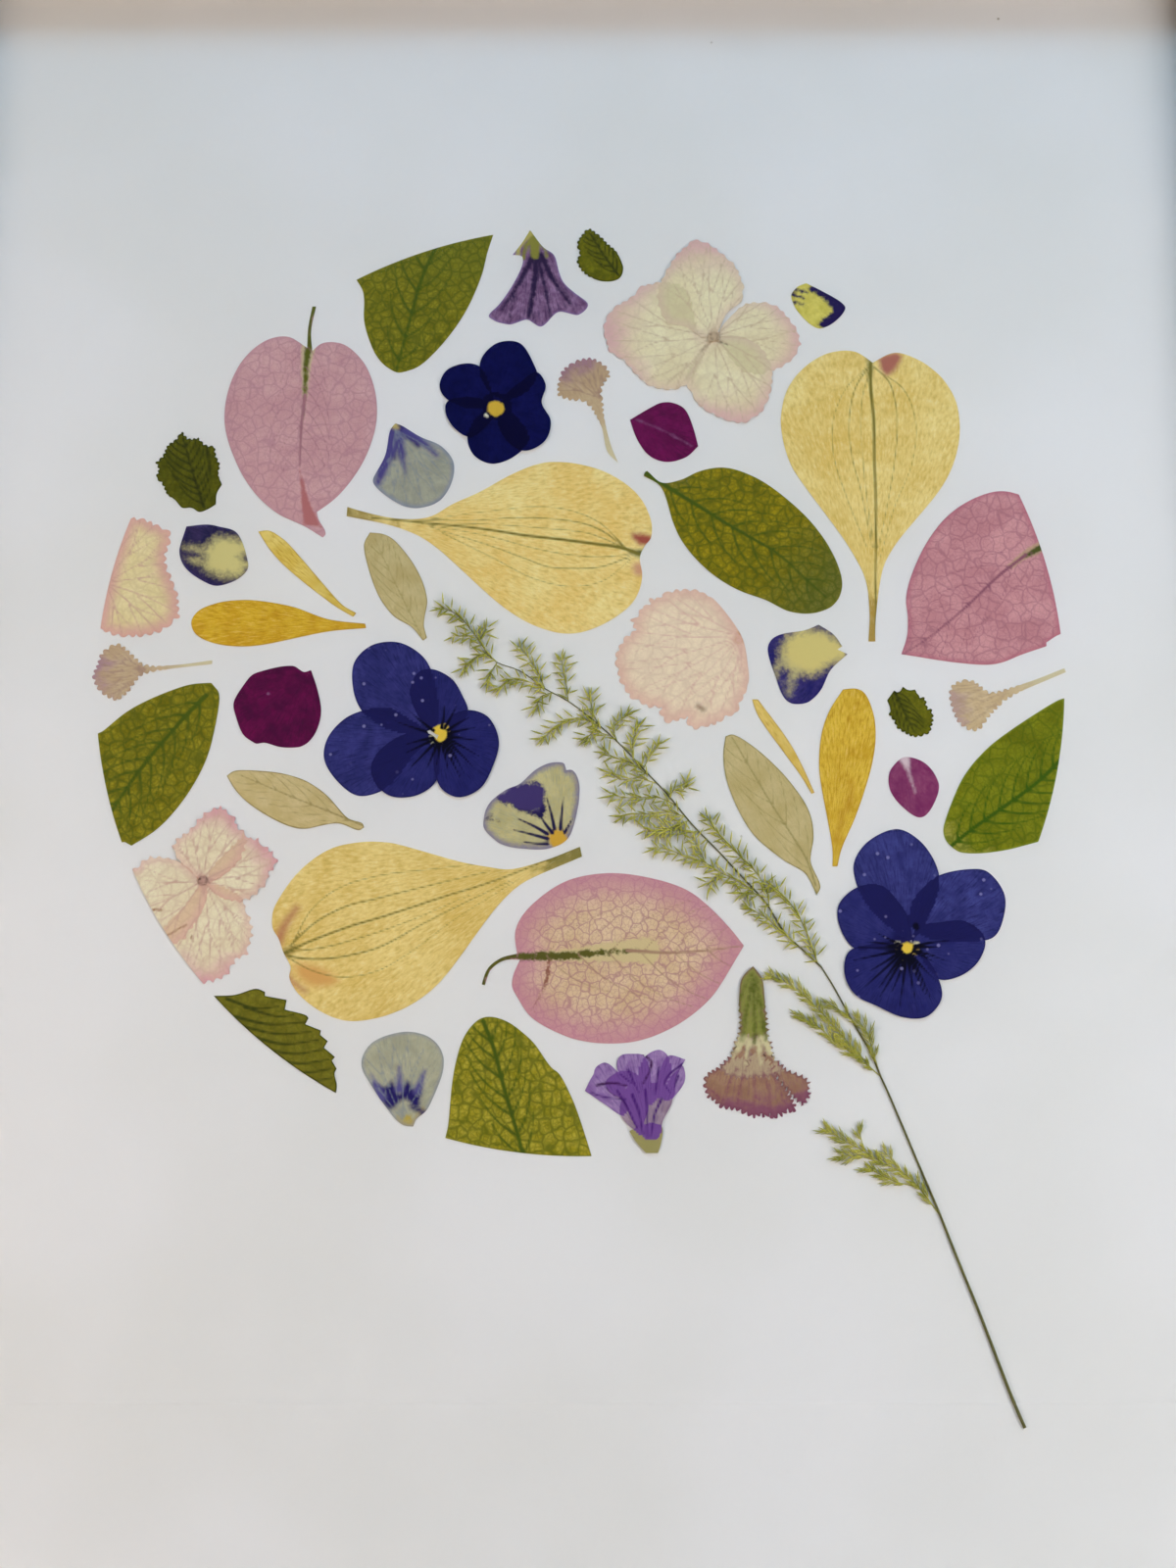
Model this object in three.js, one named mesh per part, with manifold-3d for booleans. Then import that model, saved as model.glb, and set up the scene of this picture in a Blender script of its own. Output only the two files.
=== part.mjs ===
// Pressed flower picture: forty-five dried specimens set out on a disc on a white board, behind
// glass, in a plain wooden frame that hangs on a sawtooth hanger.
// Millimetres, +Z up, the picture faces -Y. The origin is where the wall nail bears in the hanger.
import * as THREE from 'three';
import { mergeVertices } from 'three/addons/utils/BufferGeometryUtils.js';
import Module from 'manifold-3d';

const wasm = await Module();
wasm.setup();

// Frame
const SIGHT_WIDTH = 269;
const SIGHT_HEIGHT = 346;
const RAIL_WIDTH = 20;
const RAIL_DEPTH = 20;
const RABBET_WIDTH = 6.5;
const RABBET_DEPTH = 14;
const OUTER_ROUNDING = 1.6;
const SIGHT_ROUNDING = 0.9;
const ROUNDING_STEPS = 3;
const MITRE_GAP = 0.05;
const NAIL_BELOW_TOP = 8;

// What the rabbet holds, from the front to the back
const PANE_WIDTH = 279.4;
const PANE_HEIGHT = 355.6;
const GLASS_THICKNESS = 2;
const SPECIMEN_SPACE = 1.5;
const BOARD_THICKNESS = 2;
const BACKING_THICKNESS = 3;
const CLEARANCE = 0.05;

// Fastenings
const TAB = { width: 8, length: 15, thickness: 0.7, inWood: 4 };
const HANGER = { length: 46, height: 9.6, thickness: 0.8, standoff: 1.9, foot: 9, teeth: 7, pitch: 3 };
const TOOTH_DEPTH = 1.4;
const PIN_HEAD = { radius: 1.7, height: 0.7, sides: 12 };

// Specimens
const DISC_RADIUS = 98.5;
const DISC_BELOW_SIGHT_TOP = 155;
const LEAF_THICKNESS = 0.4;
const PETAL_THICKNESS = 0.3;
const FLOWER_PETAL_THICKNESS = 0.3;
const PETAL_LEVEL_STEP = 0.22;
const OUTLINE_STEP = 0.9;
const OUTLINE_TOLERANCE = 0.13;

// Grass
const CULM_RADIUS = 0.55;
const CULM_FOOT_RADIUS = 0.65;
const FOOT_POINTS = 6;
const RACHIS_HALF_WIDTH = 0.4;
const TWIG_HALF_WIDTH = 0.25;
const STEM_SIDES = 6;
const STEM_CLEARANCE = 0.12;
const STEM_STEP = 6;
const TWIG_STEP = 6;
const SPIKELET_THICKNESS = 0.4;

// Levels along Y, worked out from the stack
const GLASS_FRONT = -(RABBET_DEPTH - CLEARANCE);
const GLASS_BACK = GLASS_FRONT + GLASS_THICKNESS;
const BOARD_FRONT = GLASS_BACK + SPECIMEN_SPACE;
const BOARD_BACK = BOARD_FRONT + BOARD_THICKNESS;
const BACKING_FRONT = BOARD_BACK + CLEARANCE;
const BACKING_BACK = BACKING_FRONT + BACKING_THICKNESS;
const SPECIMEN_BACK = BOARD_FRONT - CLEARANCE;

const OUTER_WIDTH = SIGHT_WIDTH + 2 * RAIL_WIDTH;
const OUTER_HEIGHT = SIGHT_HEIGHT + 2 * RAIL_WIDTH;
const OUTER_TOP = NAIL_BELOW_TOP;
const FRAME_CENTRE_Z = OUTER_TOP - OUTER_HEIGHT / 2;
const SIGHT_TOP = OUTER_TOP - RAIL_WIDTH;
const DISC_CENTRE_Z = SIGHT_TOP - DISC_BELOW_SIGHT_TOP;

const COLOUR = {
  OAK: 0xc9a878, GLASS: 0xeaf2ee, BOARD: 0xf0eee8, BACKING: 0xa07c52, STEEL: 0x9a9c9e,
  LEAF_GREEN: 0x7c8420, LEAF_OLIVE: 0x6e7018, LEAF_DARK: 0x474c14, STRAW: 0xb8a86e,
  PINK_DUSTY: 0xc49a98, PINK_DEEP: 0xb4727e, YELLOW: 0xe2c56c, GOLD: 0xd0a636, MAGENTA: 0x5c0f48,
  PALE_GREEN: 0x9da594, PALE_YELLOW: 0xb7ac74, CREAM: 0xdac7a4, LILAC: 0x7a4a8a,
  BLUE_DARK: 0x0b0c48, BLUE: 0x33307a, MAUVE: 0x8d6a5a, GRASS: 0x77803a,
};

// Third entry of an outline's point that is a sharp corner
const CORNER = true;

const collected = [];

/** Adds a named mesh with its own plain material. */
function addPart(name, geometry, colour, roughness = 0.7, metalness = 0) {
  const material = new THREE.MeshStandardMaterial({ color: colour, roughness, metalness });
  const mesh = new THREE.Mesh(geometry, material);
  mesh.name = name;
  collected.push(mesh);
}

/** Turns a three.js geometry into a solid for joining and cutting. */
function toSolid(geometry) {
  const bare = geometry.clone();
  bare.deleteAttribute('normal');
  bare.deleteAttribute('uv');
  const merged = mergeVertices(bare, 1e-5);
  return new wasm.Manifold(new wasm.Mesh({
    numProp: 3,
    vertProperties: new Float32Array(merged.attributes.position.array),
    triVerts: new Uint32Array(merged.index.array),
  }));
}

/** Turns a solid back into a three.js geometry. */
function toGeometry(solid) {
  const mesh = solid.getMesh();
  const geometry = new THREE.BufferGeometry();
  geometry.setAttribute('position', new THREE.BufferAttribute(new Float32Array(mesh.vertProperties), 3));
  geometry.setIndex(new THREE.BufferAttribute(new Uint32Array(mesh.triVerts), 1));
  return geometry;
}

/** Joins geometries into one solid. */
function joined(geometries) {
  return geometries.map(toSolid).reduce((sum, solid) => sum.add(solid));
}

/** A box between two corners. */
function boxBetween(low, high) {
  const size = new THREE.Vector3().subVectors(high, low);
  const middle = new THREE.Vector3().addVectors(low, high).multiplyScalar(0.5);
  return new THREE.BoxGeometry(size.x, size.y, size.z).translate(middle.x, middle.y, middle.z);
}

/** A flat slab of an (x, z) shape whose back lies at y = back and which grows towards -Y. */
function frontSlab(shape, back, thickness) {
  const geometry = new THREE.ExtrudeGeometry(shape, { depth: thickness, bevelEnabled: false });
  return geometry.rotateX(Math.PI / 2).translate(0, back, 0);
}

/** The L-shaped section of a rail: x from the outer edge inwards, y from the back to the front. */
function railSection() {
  const shape = new THREE.Shape();
  shape.moveTo(0, 0);
  shape.lineTo(RAIL_WIDTH - RABBET_WIDTH, 0);
  shape.lineTo(RAIL_WIDTH - RABBET_WIDTH, RABBET_DEPTH);
  shape.lineTo(RAIL_WIDTH, RABBET_DEPTH);
  shape.lineTo(RAIL_WIDTH, RAIL_DEPTH - SIGHT_ROUNDING);
  shape.absarc(RAIL_WIDTH - SIGHT_ROUNDING, RAIL_DEPTH - SIGHT_ROUNDING, SIGHT_ROUNDING, 0, Math.PI / 2);
  shape.lineTo(OUTER_ROUNDING, RAIL_DEPTH);
  shape.absarc(OUTER_ROUNDING, RAIL_DEPTH - OUTER_ROUNDING, OUTER_ROUNDING, Math.PI / 2, Math.PI);
  shape.closePath();
  return shape;
}

/** A slot in the rabbet's wall for a flexible tab, at the middle of a rail that lies along X. */
function tabSlot() {
  const halfWidth = TAB.width / 2 + CLEARANCE;
  const wall = OUTER_TOP - (RAIL_WIDTH - RABBET_WIDTH);
  return boxBetween(
    new THREE.Vector3(-halfWidth, BACKING_BACK, wall - 1),
    new THREE.Vector3(halfWidth, BACKING_BACK + TAB.thickness + 2 * CLEARANCE, wall + TAB.inWood + CLEARANCE),
  );
}

/** The top rail of a frame with the given outer length: section, slot and 45 degree mitres. */
function railAlongX(length) {
  const bar = new THREE.ExtrudeGeometry(railSection(), {
    depth: length, bevelEnabled: false, curveSegments: ROUNDING_STEPS,
  });
  // Section x runs down (-Z), section y runs to the front (-Y), the extrusion runs along X.
  bar.applyMatrix4(new THREE.Matrix4().makeBasis(
    new THREE.Vector3(0, 0, -1), new THREE.Vector3(0, -1, 0), new THREE.Vector3(-1, 0, 0),
  ));
  bar.translate(length / 2, 0, OUTER_TOP);
  const half = length / 2 - MITRE_GAP;
  const mitred = new THREE.Shape([
    new THREE.Vector2(-half, OUTER_TOP), new THREE.Vector2(half, OUTER_TOP),
    new THREE.Vector2(half - RAIL_WIDTH - 1, OUTER_TOP - RAIL_WIDTH - 1),
    new THREE.Vector2(-half + RAIL_WIDTH + 1, OUTER_TOP - RAIL_WIDTH - 1),
  ]);
  return toSolid(bar).intersect(toSolid(frontSlab(mitred, 1, RAIL_DEPTH + 2))).subtract(toSolid(tabSlot()));
}

/** A flexible steel tab, half in the rail's slot and half over the backing. */
function tabAtTop() {
  const wall = OUTER_TOP - (RAIL_WIDTH - RABBET_WIDTH);
  return boxBetween(
    new THREE.Vector3(-TAB.width / 2, BACKING_BACK + CLEARANCE, wall + TAB.inWood - TAB.length),
    new THREE.Vector3(TAB.width / 2, BACKING_BACK + CLEARANCE + TAB.thickness, wall + TAB.inWood),
  );
}

/** Turns a geometry made for the top rail to another side, by quarter turns about the centre. */
function turnedToSide(geometry, side) {
  const across = side.turns % 2 ? OUTER_WIDTH / 2 : OUTER_HEIGHT / 2;
  return geometry.translate(0, 0, across - OUTER_TOP)
    .rotateY(side.turns * Math.PI / 2)
    .translate(0, 0, FRAME_CENTRE_Z);
}

/** Four mitred rails and the tab that each one holds. */
function buildFrame() {
  const sides = [
    { name: 'top', turns: 0, length: OUTER_WIDTH }, { name: 'right', turns: 1, length: OUTER_HEIGHT },
    { name: 'bottom', turns: 2, length: OUTER_WIDTH }, { name: 'left', turns: 3, length: OUTER_HEIGHT },
  ];
  for (const side of sides) {
    addPart(`rail_${side.name}`, turnedToSide(toGeometry(railAlongX(side.length)), side), COLOUR.OAK, 0.5);
    addPart(`flexible_tab_${side.name}`, turnedToSide(tabAtTop(), side), COLOUR.STEEL, 0.4, 1);
  }
}

/** A sheet that fills the rabbet, from one level along Y to another. */
function sheetBetween(front, back) {
  return boxBetween(
    new THREE.Vector3(-PANE_WIDTH / 2, front, FRAME_CENTRE_Z - PANE_HEIGHT / 2),
    new THREE.Vector3(PANE_WIDTH / 2, back, FRAME_CENTRE_Z + PANE_HEIGHT / 2),
  );
}

/** Glass, mount board and backing board. */
function buildSheets() {
  addPart('glass_pane', sheetBetween(GLASS_FRONT, GLASS_BACK), COLOUR.GLASS, 0.05);
  addPart('mount_board', sheetBetween(BOARD_FRONT, BOARD_BACK), COLOUR.BOARD, 0.9);
  addPart('backing_board', sheetBetween(BACKING_FRONT, BACKING_BACK), COLOUR.BACKING, 0.8);
}

/** Front view of the hanger: round ends and a toothed lower edge, its teeth's roots at z = 0. */
function hangerOutline() {
  const shape = new THREE.Shape();
  const radius = HANGER.height / 2;
  const straight = HANGER.length / 2 - radius;
  const low = -TOOTH_DEPTH;
  const toothed = HANGER.teeth * HANGER.pitch / 2;
  shape.moveTo(straight, low);
  shape.absarc(straight, low + radius, radius, -Math.PI / 2, Math.PI / 2);
  shape.absarc(-straight, low + radius, radius, Math.PI / 2, 1.5 * Math.PI);
  shape.lineTo(-toothed, low);
  for (let tooth = 0; tooth < HANGER.teeth; tooth += 1) {
    const left = -toothed + tooth * HANGER.pitch;
    shape.lineTo(left + HANGER.pitch / 2, 0);
    shape.lineTo(left + HANGER.pitch, low);
  }
  return shape;
}

/** Side view of the hanger's strip, seen from above: flat feet and a raised middle. */
function hangerStrip() {
  const half = HANGER.length / 2;
  const near = CLEARANCE;
  const far = HANGER.standoff;
  const rise = half - HANGER.foot;
  const shape = new THREE.Shape([
    new THREE.Vector2(-half, near), new THREE.Vector2(-rise, near), new THREE.Vector2(-rise + 2, far),
    new THREE.Vector2(rise - 2, far), new THREE.Vector2(rise, near), new THREE.Vector2(half, near),
    new THREE.Vector2(half, near + HANGER.thickness), new THREE.Vector2(rise, near + HANGER.thickness),
    new THREE.Vector2(rise - 2, far + HANGER.thickness),
    new THREE.Vector2(-rise + 2, far + HANGER.thickness),
    new THREE.Vector2(-rise, near + HANGER.thickness), new THREE.Vector2(-half, near + HANGER.thickness),
  ]);
  const strip = new THREE.ExtrudeGeometry(shape, { depth: HANGER.height + 2, bevelEnabled: false });
  return strip.translate(0, 0, -TOOTH_DEPTH - 1);
}

/** Sawtooth hanger with the heads of its two pins. */
function buildHanger() {
  const reach = HANGER.standoff + HANGER.thickness + 1;
  const outline = toSolid(frontSlab(hangerOutline(), reach, reach + 1));
  let solid = toSolid(hangerStrip()).intersect(outline);
  for (const side of [-1, 1]) {
    const head = new THREE.CylinderGeometry(PIN_HEAD.radius * 0.7, PIN_HEAD.radius, PIN_HEAD.height,
      PIN_HEAD.sides);
    head.translate(side * (HANGER.length / 2 - HANGER.foot / 2), CLEARANCE + HANGER.thickness
      + PIN_HEAD.height / 2 - CLEARANCE, HANGER.height / 2 - TOOTH_DEPTH);
    solid = solid.add(toSolid(head));
  }
  addPart('sawtooth_hanger', toGeometry(solid), COLOUR.STEEL, 0.4, 1);
}

/** Splits a closed outline into smooth runs that end at its corners. */
function smoothRuns(points) {
  const first = points.findIndex((point) => point[2]);
  if (first < 0) {
    return { closed: true, runs: [points] };
  }
  const turned = [...points.slice(first), ...points.slice(0, first + 1)];
  const runs = [];
  let run = [turned[0]];
  for (const point of turned.slice(1)) {
    run.push(point);
    if (point[2]) {
      runs.push(run);
      run = [point];
    }
  }
  return { closed: false, runs };
}

/** Leaves out the points of an open polyline that lie within the tolerance of its chord. */
function thinned(points) {
  const start = points[0];
  const end = points[points.length - 1];
  const line = new THREE.Line3(new THREE.Vector3(start.x, start.y, 0), new THREE.Vector3(end.x, end.y, 0));
  let farthest = 0;
  let index = 0;
  for (let i = 1; i < points.length - 1; i += 1) {
    const point = new THREE.Vector3(points[i].x, points[i].y, 0);
    const away = line.closestPointToPoint(point, true, new THREE.Vector3()).distanceTo(point);
    if (away > farthest) {
      farthest = away;
      index = i;
    }
  }
  if (farthest < OUTLINE_TOLERANCE) {
    return [start, end];
  }
  return [...thinned(points.slice(0, index + 1)), ...thinned(points.slice(index)).slice(1)];
}

/** A closed shape through hand-placed points, smooth except at its corners. */
function outlineShape(points) {
  const { closed, runs } = smoothRuns(points);
  const outline = [];
  for (const run of runs) {
    const vectors = run.map(([x, z]) => new THREE.Vector3(x, z, 0));
    const curve = new THREE.CatmullRomCurve3(vectors, closed, 'centripetal');
    const steps = run.length === 2 && !closed ? 1 : Math.ceil(curve.getLength() / OUTLINE_STEP);
    const fine = curve.getPoints(steps);
    if (closed) {
      const half = Math.floor(fine.length / 2);
      outline.push(...thinned(fine.slice(0, half + 1)).slice(0, -1), ...thinned(fine.slice(half)).slice(0, -1));
    } else {
      outline.push(...thinned(fine).slice(0, -1));
    }
  }
  return new THREE.Shape(outline.map((point) => new THREE.Vector2(point.x, point.y)));
}

/** A flat plate of an outline given from the disc's centre, lifted off the board by some levels. */
function outlinePlate(points, thickness, level = 0) {
  const plate = frontSlab(outlineShape(points), SPECIMEN_BACK - level * PETAL_LEVEL_STEP, thickness);
  return plate.translate(0, 0, DISC_CENTRE_Z);
}

/** The disc that the outer specimens are trimmed to. */
function trimmingDisc() {
  const disc = new THREE.CylinderGeometry(DISC_RADIUS, DISC_RADIUS, 4 * SPECIMEN_SPACE, 240);
  return toSolid(disc.translate(0, SPECIMEN_BACK, DISC_CENTRE_Z));
}

/** One leaf or petal. */
function singlePlate(name, thickness, colour, points) {
  addPart(name, outlinePlate(points, thickness), colour);
}

/** One leaf or petal that ends at the disc's edge. */
function trimmedPlate(name, thickness, colour, points) {
  const plate = toSolid(outlinePlate(points, thickness)).intersect(trimmingDisc());
  addPart(name, toGeometry(plate), colour);
}

/** A flower whose petals lie over each other, joined where they overlap. */
function stackedFlower(name, colour, petals, trimmed = false) {
  const plates = petals.map(({ level, outline }) => outlinePlate(outline, FLOWER_PETAL_THICKNESS, level));
  const whole = joined(plates);
  addPart(name, toGeometry(trimmed ? whole.intersect(trimmingDisc()) : whole), colour);
}

/** Green leaves with a net of veins; four of them are trimmed by the disc. */
function greenLeaves() {
  // Oval leaf at the upper left, its top cut off by the disc.
  trimmedPlate('leaf_oval_upper_left', LEAF_THICKNESS, COLOUR.LEAF_GREEN, [
    [-50.4, 92], [-46.2, 83.4], [-45.8, 76.6], [-43.4, 69.4], [-41.2, 66.5], [-38.5, 64.9, CORNER],
    [-34.6, 66], [-29.9, 70.5], [-24.6, 78.4], [-21.2, 86.8], [-20, 92], [-18.8, 100.6], [-34.3, 105.2],
  ]);
  // Whole leaf lying diagonally, with a short petiole.
  singlePlate('leaf_green_centre', LEAF_THICKNESS, COLOUR.LEAF_OLIVE, [
    [13.4, 42.4, CORNER], [13.9, 42.8, CORNER], [16.9, 40.2, CORNER], [21.2, 40.9], [25.1, 42.8],
    [30.2, 43.5], [36.5, 41.3], [43.6, 35.9], [49.5, 29.2], [53.2, 21.7], [53.8, 17.2], [52.1, 13.6],
    [47.9, 11.7], [42.8, 12.1], [38.1, 14.5, CORNER], [31.9, 17], [25.9, 21.3], [20.7, 27.9],
    [17.9, 35.7], [16.7, 39.3, CORNER], [13.2, 41.7, CORNER],
  ]);
  // Half leaf at the left edge of the disc.
  trimmedPlate('leaf_green_left_cut', LEAF_THICKNESS, COLOUR.LEAF_OLIVE, [
    [-101.5, -16], [-97, -13.7], [-91.7, -9.2], [-86.9, -6.5], [-79.4, -3.6], [-75, -3.2, CORNER],
    [-73.4, -5.3], [-73.7, -11.3], [-75.4, -19.3], [-78.8, -26.4], [-84.2, -33.3],
    [-89.6, -37.1, CORNER], [-91.6, -36.3], [-97.2, -40.3], [-102.9, -26.2],
  ]);
  // Half leaf at the right edge of the disc.
  trimmedPlate('leaf_green_right_cut', LEAF_THICKNESS, COLOUR.LEAF_GREEN, [
    [97, -6.9, CORNER], [101.2, -6.1], [102.3, -24.2], [97.7, -36.7], [92.4, -36.1, CORNER],
    [88, -37.3], [81.7, -38.5], [75.6, -38.3], [73.2, -36.1, CORNER], [72.7, -33.9], [74.5, -28.6],
    [77.2, -22.9], [82, -17.2], [89, -11.9],
  ]);
  // Half leaf at the bottom of the disc.
  trimmedPlate('leaf_green_lower_cut', LEAF_THICKNESS, COLOUR.LEAF_GREEN, [
    [-25.9, -100.3], [-25.4, -91.8], [-24.4, -81.4], [-22.2, -74.6], [-19, -71.6], [-14.8, -72.1],
    [-9, -76.6], [-5.5, -81.4, CORNER], [-4.1, -82.5, CORNER], [-1.3, -87.8], [1, -94.7], [2.4, -102.2],
  ]);
}

/** Small dark leaves with toothed edges. */
function serratedLeaves() {
  // Smallest toothed leaf, at the top.
  singlePlate('serrated_leaf_upper', LEAF_THICKNESS, COLOUR.LEAF_DARK, [
    [1.8, 98], [4.7, 95.7, CORNER], [5.4, 94.8], [7.5, 92.9], [9.1, 88.8], [8.5, 86.8, CORNER],
    [6.8, 85.9], [3.7, 86.1], [0.3, 88.4, CORNER], [-0.7, 90.7, CORNER], [-0.1, 92],
    [-0.5, 94.1, CORNER], [-0.1, 95.7],
  ]);
  // Round toothed leaf at the left.
  singlePlate('serrated_leaf_left', LEAF_THICKNESS, COLOUR.LEAF_DARK, [
    [-83.4, 51.4, CORNER], [-81.9, 49.8], [-79.8, 50.1, CORNER], [-78.4, 48.5], [-76.5, 48.1, CORNER],
    [-76.2, 46.3], [-75.3, 44.1, CORNER], [-75.4, 42], [-74.5, 39.8, CORNER], [-75.5, 37.8],
    [-75.6, 35.4, CORNER], [-77, 34.4], [-79, 33.7, CORNER], [-80.6, 34.6], [-82.5, 34.6, CORNER],
    [-83.8, 36.1], [-85.7, 37.6, CORNER], [-86.5, 39.3], [-88.1, 41.3, CORNER], [-87.7, 43.1],
    [-88.4, 44.6, CORNER], [-86.9, 46.1], [-86.1, 48.5, CORNER], [-84.9, 49.4],
  ]);
  // Small toothed leaf at the right.
  singlePlate('serrated_leaf_right', LEAF_THICKNESS, COLOUR.LEAF_DARK, [
    [62.3, -6.9, CORNER], [63.8, -4.8, CORNER], [64.6, -5.3], [65.6, -4, CORNER], [66.8, -4.8],
    [68, -4.6, CORNER], [68.9, -6.3], [69.9, -6.5, CORNER], [70.3, -8.6], [71.2, -9, CORNER],
    [71.3, -11.5], [70.7, -13.7, CORNER], [68.7, -14.3], [67.1, -14.3, CORNER], [65.5, -13.3],
    [64.2, -12.7, CORNER], [63.6, -11.3], [62.6, -10, CORNER], [62.9, -8.8],
  ]);
  // Large toothed leaf, cut along the disc at the lower left.
  trimmedPlate('serrated_leaf_lower_cut', LEAF_THICKNESS, COLOUR.LEAF_DARK, [
    [-71.9, -67.3, CORNER], [-67.8, -67.1], [-63.6, -65.9, CORNER], [-61.9, -66.5, CORNER],
    [-61.9, -67.3, CORNER], [-57.6, -68.1, CORNER], [-57.9, -70, CORNER], [-53.6, -71.2, CORNER],
    [-53.2, -71.7, CORNER], [-53.8, -72.9, CORNER], [-50.7, -74.1, CORNER], [-50.8, -75, CORNER],
    [-49.3, -76.2, CORNER], [-50, -77.5, CORNER], [-47.8, -79.3, CORNER], [-48.4, -80, CORNER],
    [-47.4, -81.6, CORNER], [-47.8, -82.5, CORNER], [-47.3, -84.8, CORNER], [-47.8, -88],
    [-55.6, -87.1], [-68.5, -75.6],
  ]);
}

/** Straw-coloured leaves with parallel veins. */
function beigeLeaves() {
  // Small straw leaf, stalk down.
  singlePlate('leaf_beige_upper', PETAL_THICKNESS, COLOUR.STRAW, [
    [-43.5, 29.2, CORNER], [-44.6, 26.8], [-43.7, 21.7], [-41.1, 14.9], [-38, 10.9], [-34.6, 8.8],
    [-32.1, 5.8, CORNER], [-31.3, 6.4, CORNER], [-32, 9.4], [-31.4, 14.5], [-33.1, 20], [-36.5, 25.3],
    [-39.8, 28.5],
  ]);
  // Straw leaf, stalk to the right.
  singlePlate('leaf_beige_left', PETAL_THICKNESS, COLOUR.STRAW, [
    [-71.1, -22.7, CORNER], [-69.6, -21.7], [-65, -21.7], [-59.5, -22.3], [-54.3, -24.2],
    [-50.4, -27.2], [-48, -30], [-46.4, -31.5], [-43.6, -32.5, CORNER], [-43.2, -33.3, CORNER],
    [-44.2, -33.9, CORNER], [-46.3, -33.3], [-48.5, -32.5, CORNER], [-51.4, -33.1], [-56.7, -33.5],
    [-63.9, -30.2], [-68.6, -26.4],
  ]);
  // Largest straw leaf, stalk down.
  singlePlate('leaf_beige_right', LEAF_THICKNESS, COLOUR.STRAW, [
    [29.4, -14.5, CORNER], [30.8, -14.1], [35.7, -17.2], [41.7, -23.3], [45.9, -30], [46.7, -34.9],
    [46, -40.3], [47.3, -44.1], [47.8, -45.5, CORNER], [47, -47.1, CORNER], [46.1, -44.9],
    [44.6, -42.5], [40.4, -39.9], [34.6, -34.7], [31.5, -29.2], [29.4, -23.3], [28.9, -18.4],
  ]);
}

/** Heart-shaped pink bracts with a raised midrib. */
function bracts() {
  // Heart bract, stalk up, its left side folded at the tip.
  singlePlate('bract_pink_left', PETAL_THICKNESS, COLOUR.PINK_DUSTY, [
    [-57.7, 70.5, CORNER], [-61.7, 73], [-65.8, 72.5], [-70.5, 68.7], [-73.7, 62], [-74.5, 53.8],
    [-72.5, 46.5], [-68.4, 38.9], [-62.9, 33.5], [-57.3, 30.7], [-53.2, 28.1, CORNER], [-52.6, 29],
    [-54.1, 31.8], [-54.6, 33.7, CORNER], [-50.4, 37.2], [-45.5, 44.4], [-42.8, 53.1], [-43.2, 60.9],
    [-46, 67.6], [-50.3, 71.4], [-54.4, 71.6], [-56.6, 69.8, CORNER], [-57, 74.3], [-56.1, 80, CORNER],
    [-56.9, 80, CORNER], [-57.6, 75.4],
  ]);
  // Heart bract lying on its side, with a curled stalk.
  singlePlate('bract_pink_centre', PETAL_THICKNESS, COLOUR.PINK_DUSTY, [
    [-12.4, -58.9, CORNER], [-12.8, -54.6], [-11.6, -51.6], [-8.9, -48.5], [-2.7, -44.3], [5.5, -42.7],
    [14.1, -43.7], [21.9, -46.5], [28.8, -52.8], [32.4, -57.3, CORNER], [29.1, -62.4], [25.9, -67.5],
    [18.9, -73.1], [10, -76.4], [-1.1, -75.8], [-9.4, -71.6, CORNER], [-13.3, -65.5], [-12.9, -62.6],
    [-11.8, -60.1, CORNER], [-15.1, -60.3], [-17.6, -62.2], [-18.7, -65.2, CORNER],
    [-19.3, -65, CORNER], [-18.1, -61.8], [-15.4, -59.7],
  ]);
  // Large bract, cut by the disc on the right.
  trimmedPlate('bract_pink_right_cut', PETAL_THICKNESS, COLOUR.PINK_DEEP, [
    [65.5, 2.9, CORNER], [66.8, 6.7], [67.1, 10.7], [66.9, 14.9], [68.3, 20.2], [72.4, 28.3],
    [77.1, 33.7], [82.9, 37.2], [87.6, 38.3], [92.3, 37.2], [100.3, 34.6], [101, 9],
    [97.5, 6.9, CORNER], [95.2, 5.4, CORNER], [95.2, 4.6, CORNER], [90.3, 2.9], [84.6, 0.8], [77.6, 1],
    [70.6, 2.2],
  ]);
}

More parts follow.
